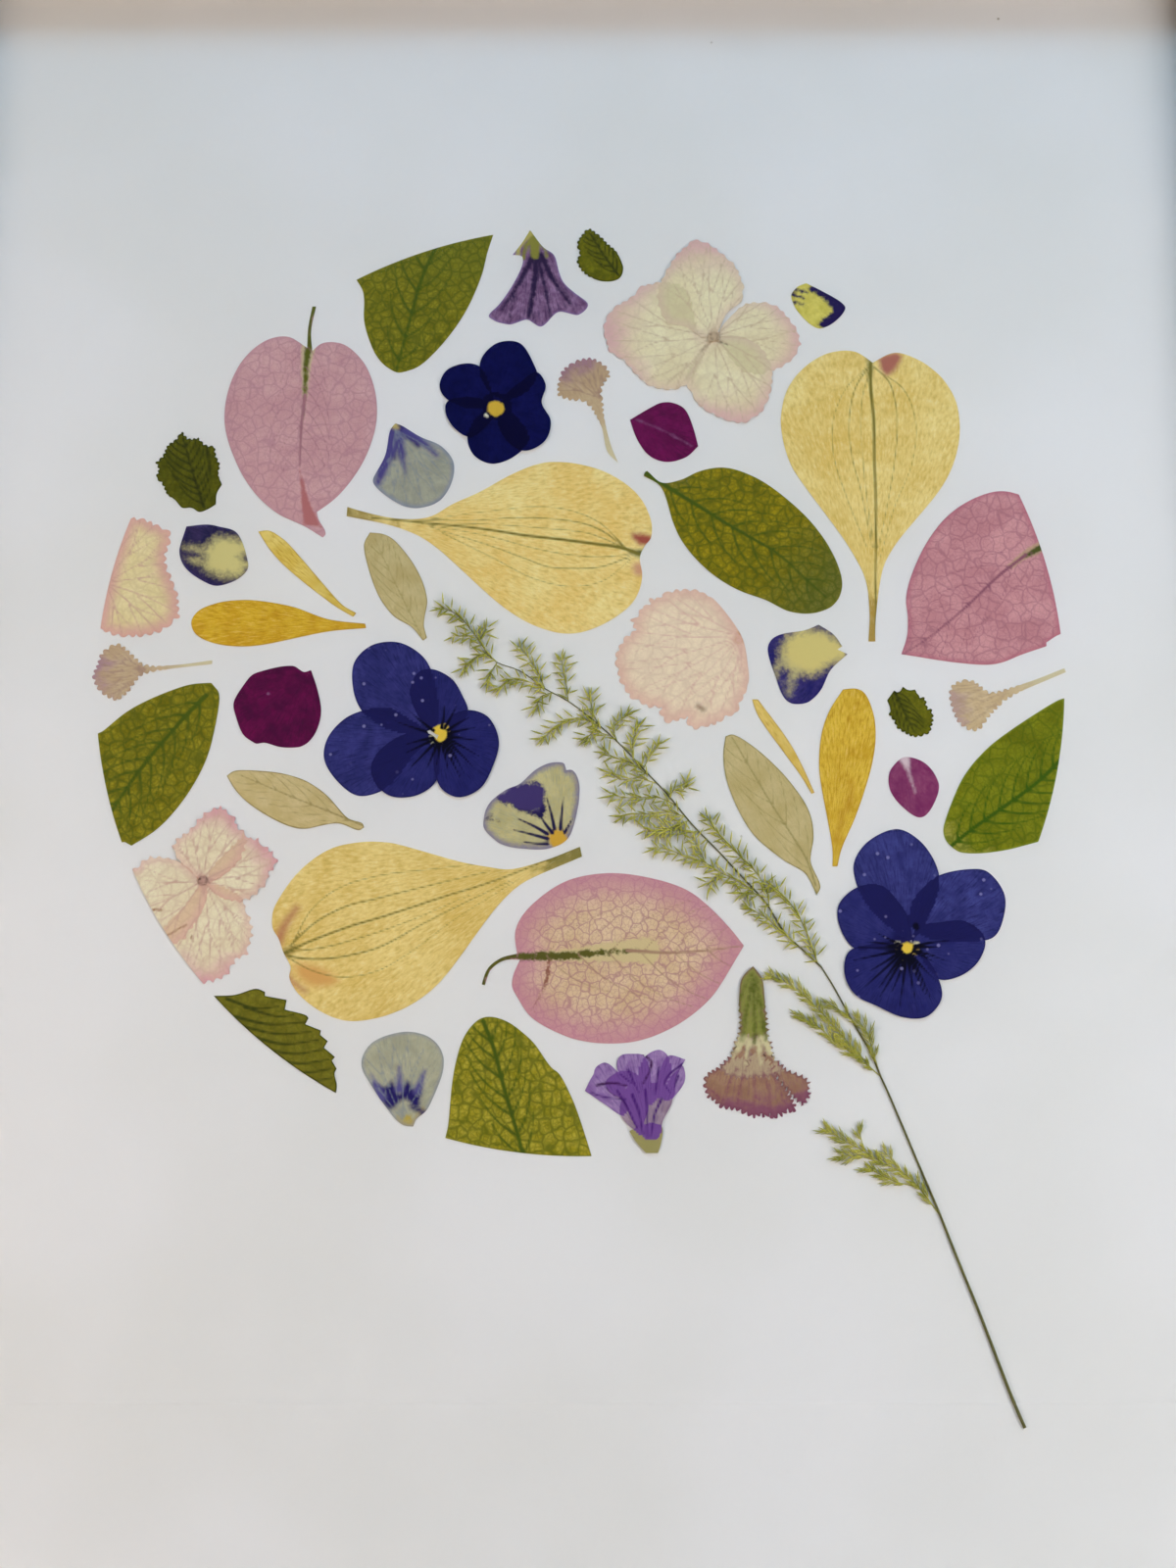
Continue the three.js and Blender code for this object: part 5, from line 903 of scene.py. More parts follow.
def bracts_and_tepals() -> list[Specimen]:
    """Pink bracts and the long yellow tepals with their olive stripes."""
    v, a, b, c = Channel.VEIN, Channel.A, Channel.B, Channel.C
    pink = dict(mottle=7.0, net_size=1.2, rim_width=1.4, net_line=0.1, bump=0.2)
    # The glint colour is a painted highlight, pale streaks that stand in for the tepals' satin sheen.
    stripe = dict(glint="f6e8ac", vein="7c7228", vein_soft=0.25, fibre="c29f40", fibre_width=0.22,
        fibre_share=0.5, mottle=7.0, roughness=0.42, sheen=0.3, bump=0.3)
    return [
        Specimen("bract_pink_left", "bract_pink", Tissue("cc9b9c", "d9acaa", net="a87484", net_share=0.45,
                rim="c4949c", rim_share=0.5, vein="a27078", mark_c="5c601c", mark_b="b8716f",
                mark_a="cbb890", **pink), (-56.5, 80), (-59.2, 26), fan=False,
            marks=strokes(c, "-56.3,80.4 -57.2,76.6 -57.3,71.6", 0.5, 0.55)
            + strokes(c, "-57.3,71.6 -57.8,66.5 -57.8,60.4", 0.7, 0.35)
            + strokes(c, "-57.8,60.4 -58,54.2", 0.25, 0.0)
            + strokes(a, "-57.3,72.1 -57.8,66.5 -57.8,59.8", 1.5, 0.5)
            + strokes(v, "-57.8,59.8 -58.4,52 -58.5,43.7", 0.3, 0.15)
            + patches(b, "-58.5,43.3! -56.3,36.3 -53.6,30.3! -57.3,30.9!")
            + pinnate("-57.4,73.2 -58.4,59.8 -58.5,43.7", 6, 14.0, 0.7, 0.03)),
        Specimen("bract_pink_right_cut", "bract_deep", Tissue("c5878b", "dda2a2", net="94586c",
                net_share=0.45, rim="b8697c", rim_share=0.6, vein="8f5668", mark_c="4c5220",
                mark_a="c2a080", **pink), (96.1, 26.8), (64.6, 2.2), fan=False, trimmed=True,
            marks=strokes(c, "96.5,26.8 94.4,25.5 91.5,23.8", 0.8, 0.35)
            + strokes(a, "96.1,26.6 91.9,24.3 88.5,21.7", 1.3, 0.5)
            + strokes(v, "91.9,24.3 86.2,19.8 78.9,12.8 71.6,6.7 65.7,2.7", 0.3, 0.1)
            + pinnate("96.1,26.8 86.2,19.8 75.3,9.6 65.7,2.7", 6, 15.0, 0.65, 0.03)),
        Specimen("bract_pink_centre", "bract_pink", Tissue("dabb90", "e9cea8", net="a8687a", net_size=0.95,
                net_share=0.65, net_line=0.1, bump=0.05, rim="c98699", rim_share=0.8, vein="a8826a",
                mark_c="5c5a20", mark_a="d8c490", mark_b="96604e", mottle=8.0, rim_width=8.5, ragged=1.2),
            (-19.1, -65.2), (33.6, -57.3), fan=False,
            marks=strokes(c,
                "-19.1,-65.2 -18.9,-63.6 -17.9,-61.8 -16.6,-60.7 -15.1,-59.9 -12.3,-59.5 -2.7,-59.3", 0.6,
                0.8) + strokes(c, "-2.7,-59.3 1.6,-58.9 11.3,-58.3", 0.8, 0.2)
            + strokes(a, "-6.2,-59.3 1.6,-58.9 13.2,-58.3", 0.8, 2.6)
            + strokes(v, "9.3,-58.3 17.1,-58.7 24.9,-58.3 32.4,-57.3", 0.3, 0.08)
            + strokes(b, "-6.1,-60.1 -6.7,-64.8 -9.2,-70.2", 0.3, 0.1)
            + pinnate("-10,-59.5 1.6,-58.9 17.1,-58.7 32.4,-57.3", 6, 20.0, 0.8, 0.05)),
        Specimen("tepal_yellow_right", "tepal_yellow", Tissue("e7c567", "f7df8e", foot="b08f3c",
                foot_reach=0.25, mark_a="b06a58", mark_b="5a5a20", mark_c="e0a848", blur=0.9, **stripe),
            (60.3, 5.6), (61.2, 67.6),
            marks=strokes(v, "61.2,67.1 61,62 61.4,54.7 61.3,45 61.3,35.4 60.7,17.4 60.4,6.9", 0.3, 0.12)
            + strokes(v, "60.5,65.8 57.9,61.6 56.6,56.7 56.2,51.4 56.8,45 58.1,39.3 60.2,26", 0.1, 0.0)
            + strokes(v, "59.9,65.8 55.6,60.9 53,54.2 52.8,46.5 55,37.8 59.1,26", 0.03, 0.0)
            + strokes(v, "61.8,66.2 64.8,62.9 66.1,58 66.3,52.3 65.4,44.1 63.7,35.4 61.6,26", 0.1, 0.0)
            + strokes(v, "62.6,65.3 68,60.9 70.2,53.1 69.1,44.4 65.1,34.6 61.9,23.8", 0.03, 0.0)
            + strokes(v, "61.2,66.2 59.1,58.7 58.8,47.6 59.5,36.7 60.6,26", 0.05, 0.0)
            + strokes(b, "61,68.2 60.9,64.2", 0.5, 0.2)
            + patches(a, "62.9,68 64.4,68.9 66.4,69.4 67.7,68.7 66.1,65.3 64.2,64.2")),
        Specimen("tepal_yellow_centre", "tepal_yellow", Tissue("f1cd73", "fae699", foot="96803a",
                foot_reach=0.22, mark_a="a65040", mark_b="4c5420", mark_c="d8a078", blur=0.9, **stripe),
            (-48.4, 32.8), (12.7, 25.5),
            marks=strokes(v,
                "12.1,24.5 8.5,25.8 2.2,26.8 -4.5,27.7 -11.2,28.5 -17.9,29.6 -24.6,30.5 -43.1,32.4", 0.3,
                0.12)
            + strokes(v, "9.7,25.5 4.4,29.6 0,31.3 -6.7,32.2 -13.4,32.4 -22.4,31.8 -39.1,32.2", 0.1, 0.0)
            + strokes(v, "9.7,25.5 4,31.3 -2.5,34.1 -9.6,34.8 -16.7,34.1 -30.9,32.2", 0.03, 0.0)
            + strokes(v, "10.1,23.8 4.4,21.7 -0.8,21.3 -6.7,21.7 -11.2,23.4 -17.9,26 -30.9,30.3", 0.1, 0.0)
            + strokes(v, "9.7,24.3 3.6,23.8 -3.5,24.5 -10.6,26 -18.7,28.3 -32.9,31.1", 0.05, 0.0)
            + strokes(v, "10.5,23.4 4.8,18.7 -1.4,17.4 -9.5,19.1 -17.6,23.4 -28.8,29.2", 0.03, 0.0)
            + strokes(v, "8.9,26 1.6,29 -6.5,30 -14.7,30.7 -26.9,31.3", 0.05, 0.0)
            + strokes(b, "12.9,24.5 10.5,24.9", 0.9, 0.3)
            + patches(a, "10.7,28.8 14.6,28.3 14.6,26.6 12.1,26.6")
            + patches(c, "10.9,22.1 13.3,22.5 13.1,20 11.3,20")),
        Specimen("tepal_yellow_lower", "tepal_yellow", Tissue("e4c267", "f6dc8b", foot="7c7430",
                foot_reach=0.24, mark_a="c08258", mark_b="6a5a1e", mark_c="dfa85c", blur=1.2, **stripe),
            (0, -37.3), (-59.5, -57.1),
            marks=strokes(v, """-58.1,-58.7 -53.9,-56.7 -49.7,-55 -44.7,-53.2 -38.7,-51.4 -32.7,-49.4
                    -27.1,-47.5 -17.7,-44.5 -2.3,-38.3""", 0.2, 0.1)
            + strokes(v, "-57.2,-57.3 -52.3,-52.6 -46.3,-49.4 -41.3,-48.1 -32.7,-45.9 -18,-42.3", 0.16,
                0.04)
            + strokes(v, "-56.6,-56.5 -53.3,-50.2 -48.2,-45.9 -40.4,-43.3 -29.7,-41.9 -16,-40.3", 0.08, 0.0)
            + strokes(v,
                "-57.7,-59.3 -54.6,-59.9 -49.5,-59.9 -43.9,-58.9 -39.3,-57.5 -30.1,-52.4 -14,-44.3", 0.16,
                0.04)
            + strokes(v,
                "-57.3,-59.9 -52.5,-62.4 -46.7,-63.6 -40,-62.4 -33.3,-58.5 -25.6,-52.6 -12.1,-43.9", 0.06,
                0.0) + strokes(v, "-56.9,-58.5 -50.7,-57.7 -43,-55.6 -33.4,-52.2 -21.8,-47.1", 0.1, 0.0)
            + strokes(b, "-58.8,-59.1 -56.6,-57.9", 0.7, 0.25)
            + strokes(a, "-59.7,-56.5 -58.3,-53 -56.2,-49.8", 1.0, 0.5)
            + strokes(a, "-58.4,-62 -56.4,-64.6 -54,-66.3", 0.6, 0.3)
            + patches(c, "-55.9,-61.1 -50.6,-62 -47.7,-64.4 -51.5,-65.5 -55.2,-63.6")),
    ]


def loose_petals() -> list[Specimen]:
    """Loose petals: gold rays, magenta petals, viola petals, sepals and small flowers."""
    v, a, b, c = Channel.VEIN, Channel.A, Channel.B, Channel.C
    # The glint colour is a painted highlight, pale streaks that stand in for the ray petals' satin sheen.
    gold = dict(glint="ecc870", fibre="b8861c", fibre_width=0.3, fibre_share=0.8, mottle=4.0, rim="b88a2c",
        rim_width=0.3, rim_share=0.5)
    deep = dict(fibre="3a0630", fibre_width=0.4, fibre_share=0.6, mottle=3.5, bump=0.45)
    pale = dict(mottle=3.5, fibre="8c9386", fibre_width=0.35, fibre_share=0.5, net="a7ad9c", net_share=0.2,
        net_size=0.8)
    trumpet = dict(fibre="a88a6c", fibre_width=0.35, fibre_share=0.5, mottle=4.0, foot="ddd2a8",
        foot_reach=0.55)
    return [
        Specimen("ray_petal_upper", "ray_gold", Tissue("e1c153", "f1db7c", **gold), (-46.1, 11.3),
            (-66.4, 29.2)),
        Specimen("ray_petal_lower", "ray_gold", Tissue("d19f1d", "e5bc31", **gold), (-43.8, 8.5),
            (-79.6, 9.8)),
        Specimen("ray_petal_thin", "ray_gold", Tissue("debd57", "f4d880", **gold), (47.1, -26.2),
            (34.9, -6.7)),
        Specimen("ray_petal_broad", "ray_gold",
            Tissue("d3a92b", "eac545", mark_a="c08c20", blur=1.6, **gold), (50.3, -41.3), (55.8, -4.4),
            marks=strokes(a, "54.5,-24.2 54.4,-26.6 53.5,-29.8", 0.1, 0.0)
            + strokes(a, "52.8,-30.2 51.9,-33.3 51.2,-35.9", 0.0, 0.0)),
        Specimen("petal_magenta_upper", "petal_magenta",
            Tissue("5a043f", "790e53", mark_a="844a74", blur=0.4, **deep), (11.9, 54.2), (23.3, 48.3),
            marks=strokes(a, "11.9,54.2 17.6,51.6 23.3,48.3", 0.15, 0.1)),
        Specimen("petal_magenta_left", "petal_magenta",
            Tissue("4c0136", "6f0347", mark_a="8a5c80", **deep), (-54.8, -0.5), (-68.1, -14.1),
            marks=strokes(a, "-63.4,-5.5 -63.2,-5.7", 0.15, 0.15)),
        Specimen("petal_magenta_small", "petal_magenta", Tissue("802d5d", "9b4f73", fibre="6c1858",
                fibre_width=0.35, fibre_share=0.6, mottle=3.0, mark_a="dcc4c8", blur=0.6), (65.3, -19.3),
            (68.5, -31.2),
            marks=strokes(a, "65.3,-18.9 65.9,-20.7", 1.1, 0.5)
            + strokes(a, "65.9,-20.7 67.3,-26.2", 0.2, 0.0)),
        Specimen("viola_petal_small_upper", "petal_yellow_purple", Tissue("cec04f", "ebde72",
                mark_a="23164e", blur=0.5, ragged=1.2, fibre="8a7424", mottle=2.5, fibre_width=0.3),
            (45, 82.7), (56.1, 79.3),
            marks=patches(a, "50.1,85.6 56.6,80.6 56.6,79 52.7,74.8 50.2,75.9 53.2,79 51.6,81.8 48.4,84.3")
            + strokes(a, "44.8,82.9 45.8,82.4 47.3,82", 0.35, 0.1)
            + strokes(a, "45.4,80.9 46.4,80.6 47.8,80.4", 0.3, 0.1)
            + strokes(a, "45.8,84 46.9,83.6 48.3,83.1", 0.25, 0.1)),
        Specimen("viola_petal_pale_upper", "petal_pale", Tissue("989887", "b7b39a", mark_a="2a1c5c",
                mark_b="4e4684", mark_c="cdb868", rim="7c88a8", rim_width=1.3, rim_share=0.6,
                vein="848e94", blur=0.8, **pale), (-38.9, 53.8), (-34, 34.1),
            marks=strokes(a, "-39.1,51.6 -40.8,48.1 -41.8,45.5", 2.0, 1.2)
            + strokes(a, "-38.4,51.6 -38.8,47.6 -38.9,45.5", 1.2, 0.2)
            + strokes(a, "-37.6,52.5 -35.8,50.7 -33.9,48.5", 1.2, 0.5)
            + strokes(b, "-39,50.3 -40.8,44.6 -42.1,40.2", 2.2, 0.6)
            + strokes(b, "-38.2,50.3 -37.3,46.3 -36.4,42.4", 1.4, 0.1)
            + strokes(b, "-36.6,51.6 -33.3,49.4 -29.9,46.3", 1.1, 0.4)
            + strokes(c, "-38.9,52.9 -38.5,52.5", 0.7, 0.5)
            + radiating((-38.7, 52),
                "-41.6,37.8 -39.1,35.7 -36.1,35 -32.6,35.7 -29.8,37.8 -27.8,41.1 -27,44.4", 0.02)),
        Specimen("viola_petal_pale_lower", "petal_pale", Tissue("a8a489", "c2bd9c", foot="c4aa48",
                foot_reach=0.15, mark_a="241a60", mark_b="5a5490", rim="8a94a8", rim_width=0.9,
                rim_share=0.5, vein="8a9294", blur=0.7, **pale), (-34.2, -92.4), (-36.7, -78.5),
            marks=patches(a, """-36.9,-89.4 -40.1,-84.4 -38.1,-85.2 -36.6,-84 -35.1,-86.3 -33.6,-84
                    -32,-85.6 -30.9,-84.8 -31.6,-89.7 -33.9,-87.5""")
            + strokes(b, "-38.5,-87.1 -40.5,-82.9; -35.1,-85.6 -35.2,-81.4; -31.6,-85.9 -30.2,-82.1", 0.8,
                0.2) + strokes(a, "-32.7,-89 -30.4,-90.1 -29.6,-91.8", 0.5, 0.4)
            + radiating((-34.4, -91.6),
                "-41.3,-81.4 -39.6,-77.5 -36.8,-75.6 -33.3,-76.4 -30.6,-78.3 -28.3,-81.7", 0.02)),
        Specimen("viola_petal_yellow_left", "petal_yellow_purple", Tissue("201a46", "3c305a",
                mark_a="d8cc84", blur=1.7, ragged=1.9, fibre="14102c", mottle=3.0, fibre_width=0.35,
                fibre_share=0.7, rim="3c3468", rim_width=0.5), (-68.5, 24.3), (-82.3, 26),
            marks=patches(a,
                "-77,26 -74.3,28.1 -69,26.8 -68.5,24.7 -70.1,23.8 -68.4,22.1 -70.3,19.6 -74,20 -77.3,21.7")
            + strokes(a, "-76.6,24.7 -79.4,25.5 -81.1,26", 0.5, 0.05)
            + strokes(a, "-76.5,23 -79.3,23 -80.6,23.4", 0.4, 0.05)),
        Specimen("viola_petal_yellow_right", "petal_yellow_purple", Tissue("241e66", "423a77",
                mark_a="dccb7c", mark_b="c4b880", blur=1.7, ragged=1.9, fibre="14103c", mottle=3.0,
                fibre_width=0.35, fibre_share=0.7), (54.5, 4.8), (38.2, -1.5),
            marks=patches(a, "42.9,6.9 48.2,8.1 54.1,4.3 54,2.2 50.8,0.6 46.7,-1.5 42.4,-0.3 41,3.1")
            + strokes(b, "41.6,1.4 39.5,-1.5 38.7,-3.6", 0.6, 0.1)
            + strokes(b, "44,-0.7 42.7,-3.2 42.3,-5.3", 0.5, 0.1)),
        Specimen("viola_petal_striped", "petal_pale", Tissue("c0b378", "d5c98e", mark_a="241a50",
                mark_b="43356c", mark_c="d8a838", vein="1c1444", vein_soft=0.2, rim="77709c",
                rim_width=1.6, rim_share=0.75, blur=0.5, ragged=1.4, **pale), (-4.3, -36.3),
            (-14.2, -24.2),
            marks=patches(b, "-16.5,-27.4 -14.2,-25.4 -8.9,-24.2 -7.1,-25.4 -7.5,-28.6 -9,-30.2 -13,-29")
            + strokes(a, "-8.2,-30.6 -12.2,-29 -16.1,-27.4; -7.7,-30 -8.1,-27.2 -9.3,-24.6", 0.9, 0.5)
            + strokes(a, "-11.2,-28.6 -12.2,-26.6 -13.4,-25.4; -9.4,-28.2 -9.8,-26.2 -11,-24.6", 0.5, 0.2)
            + strokes(c, "-4.4,-35.5 -4.3,-35.7", 1.9, 1.9)
            + strokes(v, """-6.4,-35.7 -10,-34.7 -13.3,-33.9; -6.5,-34.7 -9.2,-33.1 -12.6,-31.5;
                    -5.5,-34.5 -6.9,-32.7 -8.2,-30.6; -5.1,-33.7 -5.7,-30.8 -6.7,-27.2;
                    -3.9,-33.7 -3.7,-30.8 -3.3,-27.2""", 0.34, 0.1)
            + strokes(v, "-3.1,-34.5 -1.5,-31.5; -6.4,-36.7 -8.6,-36.7 -11.3,-36.3", 0.3, 0.1)
            + strokes(a, "-17.7,-30.8 -18.3,-31.5 -16.5,-32.1", 0.3, 0.2)),
        Specimen("hydrangea_sepal_left_cut", "hydrangea_cream", Tissue("e7d69b", "f1e1ad", net="ccb488",
                net_size=1.2, net_share=0.35, mottle=5.0, blur=1.0, vein="cfa292", rim="dea0a0",
                rim_width=3.2, rim_share=0.75), (-97.5, 18.1), (-86.5, 26), trimmed=True, ruffle=0.8,
            ruffle_step=2.0,
            marks=radiating((-97.5, 18.1),
                "-100,31.3 -94.3,31.3 -87.8,31.3 -83.1,26 -82.8,19.6 -82.9,12.1 -86.7,7.9 -93.7,7.3", 0.09)),
        Specimen("hydrangea_sepal_centre", "hydrangea_cream", Tissue("f0dabb", "f8e5c3", net="d0b094",
                net_size=1.3, net_share=0.3, mottle=6.0, bump=0.2, mark_a="c98f5c", mark_b="7c5230",
                rim="dd9c96", rim_width=3.2, rim_share=0.45, vein="e0b4a2", blur=0.8), (33.1, 6.7),
            (9.6, -3.6), ruffle=0.7, ruffle_step=2.0,
            marks=strokes(a, "33.1,6.7 32.1,5.8", 1.2, 0.5) + strokes(b, "24.1,-8.2 24.9,-8.8", 0.4, 0.3)
            + radiating((33.1, 6.7),
                "19.7,14.9 13.7,12.8 9.6,7.9 8,0.6 9.6,-5.7 14.5,-10.2 21.5,-11.9 28.4,-9.8 31.9,-3.6",
                0.09)),
        *[Specimen(f"trumpet_flower_{name}", "trumpet_mauve",
            Tissue(dark, light, tip=pink, tip_from=pink_from, vein=vein, **trumpet), base, tip,
            ruffle=0.7, ruffle_step=1.3, marks=radiating(throat, ends, 0.05))
          for name, dark, light, pink, pink_from, vein, base, tip, throat, ends in (
              ("upper", "bda07c", "ccb48e", "a88088", 0.78, "a08070", (7.9, 44.6), (-0.5, 67.3), (4.1, 59.1),
               "-4.2,62.7 -3,65.8 -0.5,67.6 2.4,67.6 4.9,65.8 6.1,62.7"),
              ("left", "c4a884", "d2bc98", "b08a94", 0.8, "a88878", (-75, 1.2), (-98.9, -1.9), (-88.4, -0.3),
               "-94.9,3.5 -97.7,2.2 -98.7,-0.7 -98.4,-4 -96.4,-6.5 -93.6,-6.9"),
              ("right", "ceb286", "dcc69c", "c0a294", 0.85, "b89c7c", (98.9, -0.9), (75.1, -6.9), (87.4, -4),
               "79.8,-3.6 76.6,-4.4 75.1,-7.3 75.6,-10.2 77.9,-12.7 81,-12.3"),
          )],
        Specimen("bell_flower", "bell_lilac", Tissue("674468", "a07ca0", fibre="36204a", fibre_width=0.45,
                fibre_share=0.7, mottle=2.5, mark_a="2e1c40", mark_b="8c8838", mark_c="b8ac5c", blur=0.4,
                ragged=0.6, rim="9a86b8", rim_width=0.5, rim_share=0.5), (-9.8, 98.9), (-8.4, 75.4),
            marks=strokes(a, "-9.9,92 -13,85.6 -16.7,79.3", 0.7, 0.3)
            + strokes(a, "-9.3,92 -9.9,84.5 -10.9,77.7", 0.8, 0.4)
            + strokes(a, "-8.5,92 -5.5,85.6 -2.2,80.6", 0.7, 0.3)
            + strokes(a, "-9.1,91.6 -7.6,84.5 -6.3,77.7", 0.5, 0.2)
            + strokes(a, "-11,90.2 -13.8,83.4 -15,77.5", 0.4, 0.1)
            + strokes(c, "-10.4,97.5 -12.7,94.8 -13.5,92", 0.7, 0.4)
            + strokes(c, "-9.3,97.5 -6.8,94.8 -4.7,92.9", 0.7, 0.3)
            + strokes(b, "-10,98.9 -9.7,96.2 -9.7,92", 1.5, 0.9)
            + strokes(b, "-10.4,95.7 -11.8,93.4 -12.2,91.1; -8.9,95.7 -7.6,93.4 -7.2,91.6", 0.6, 0.3)),
    ]


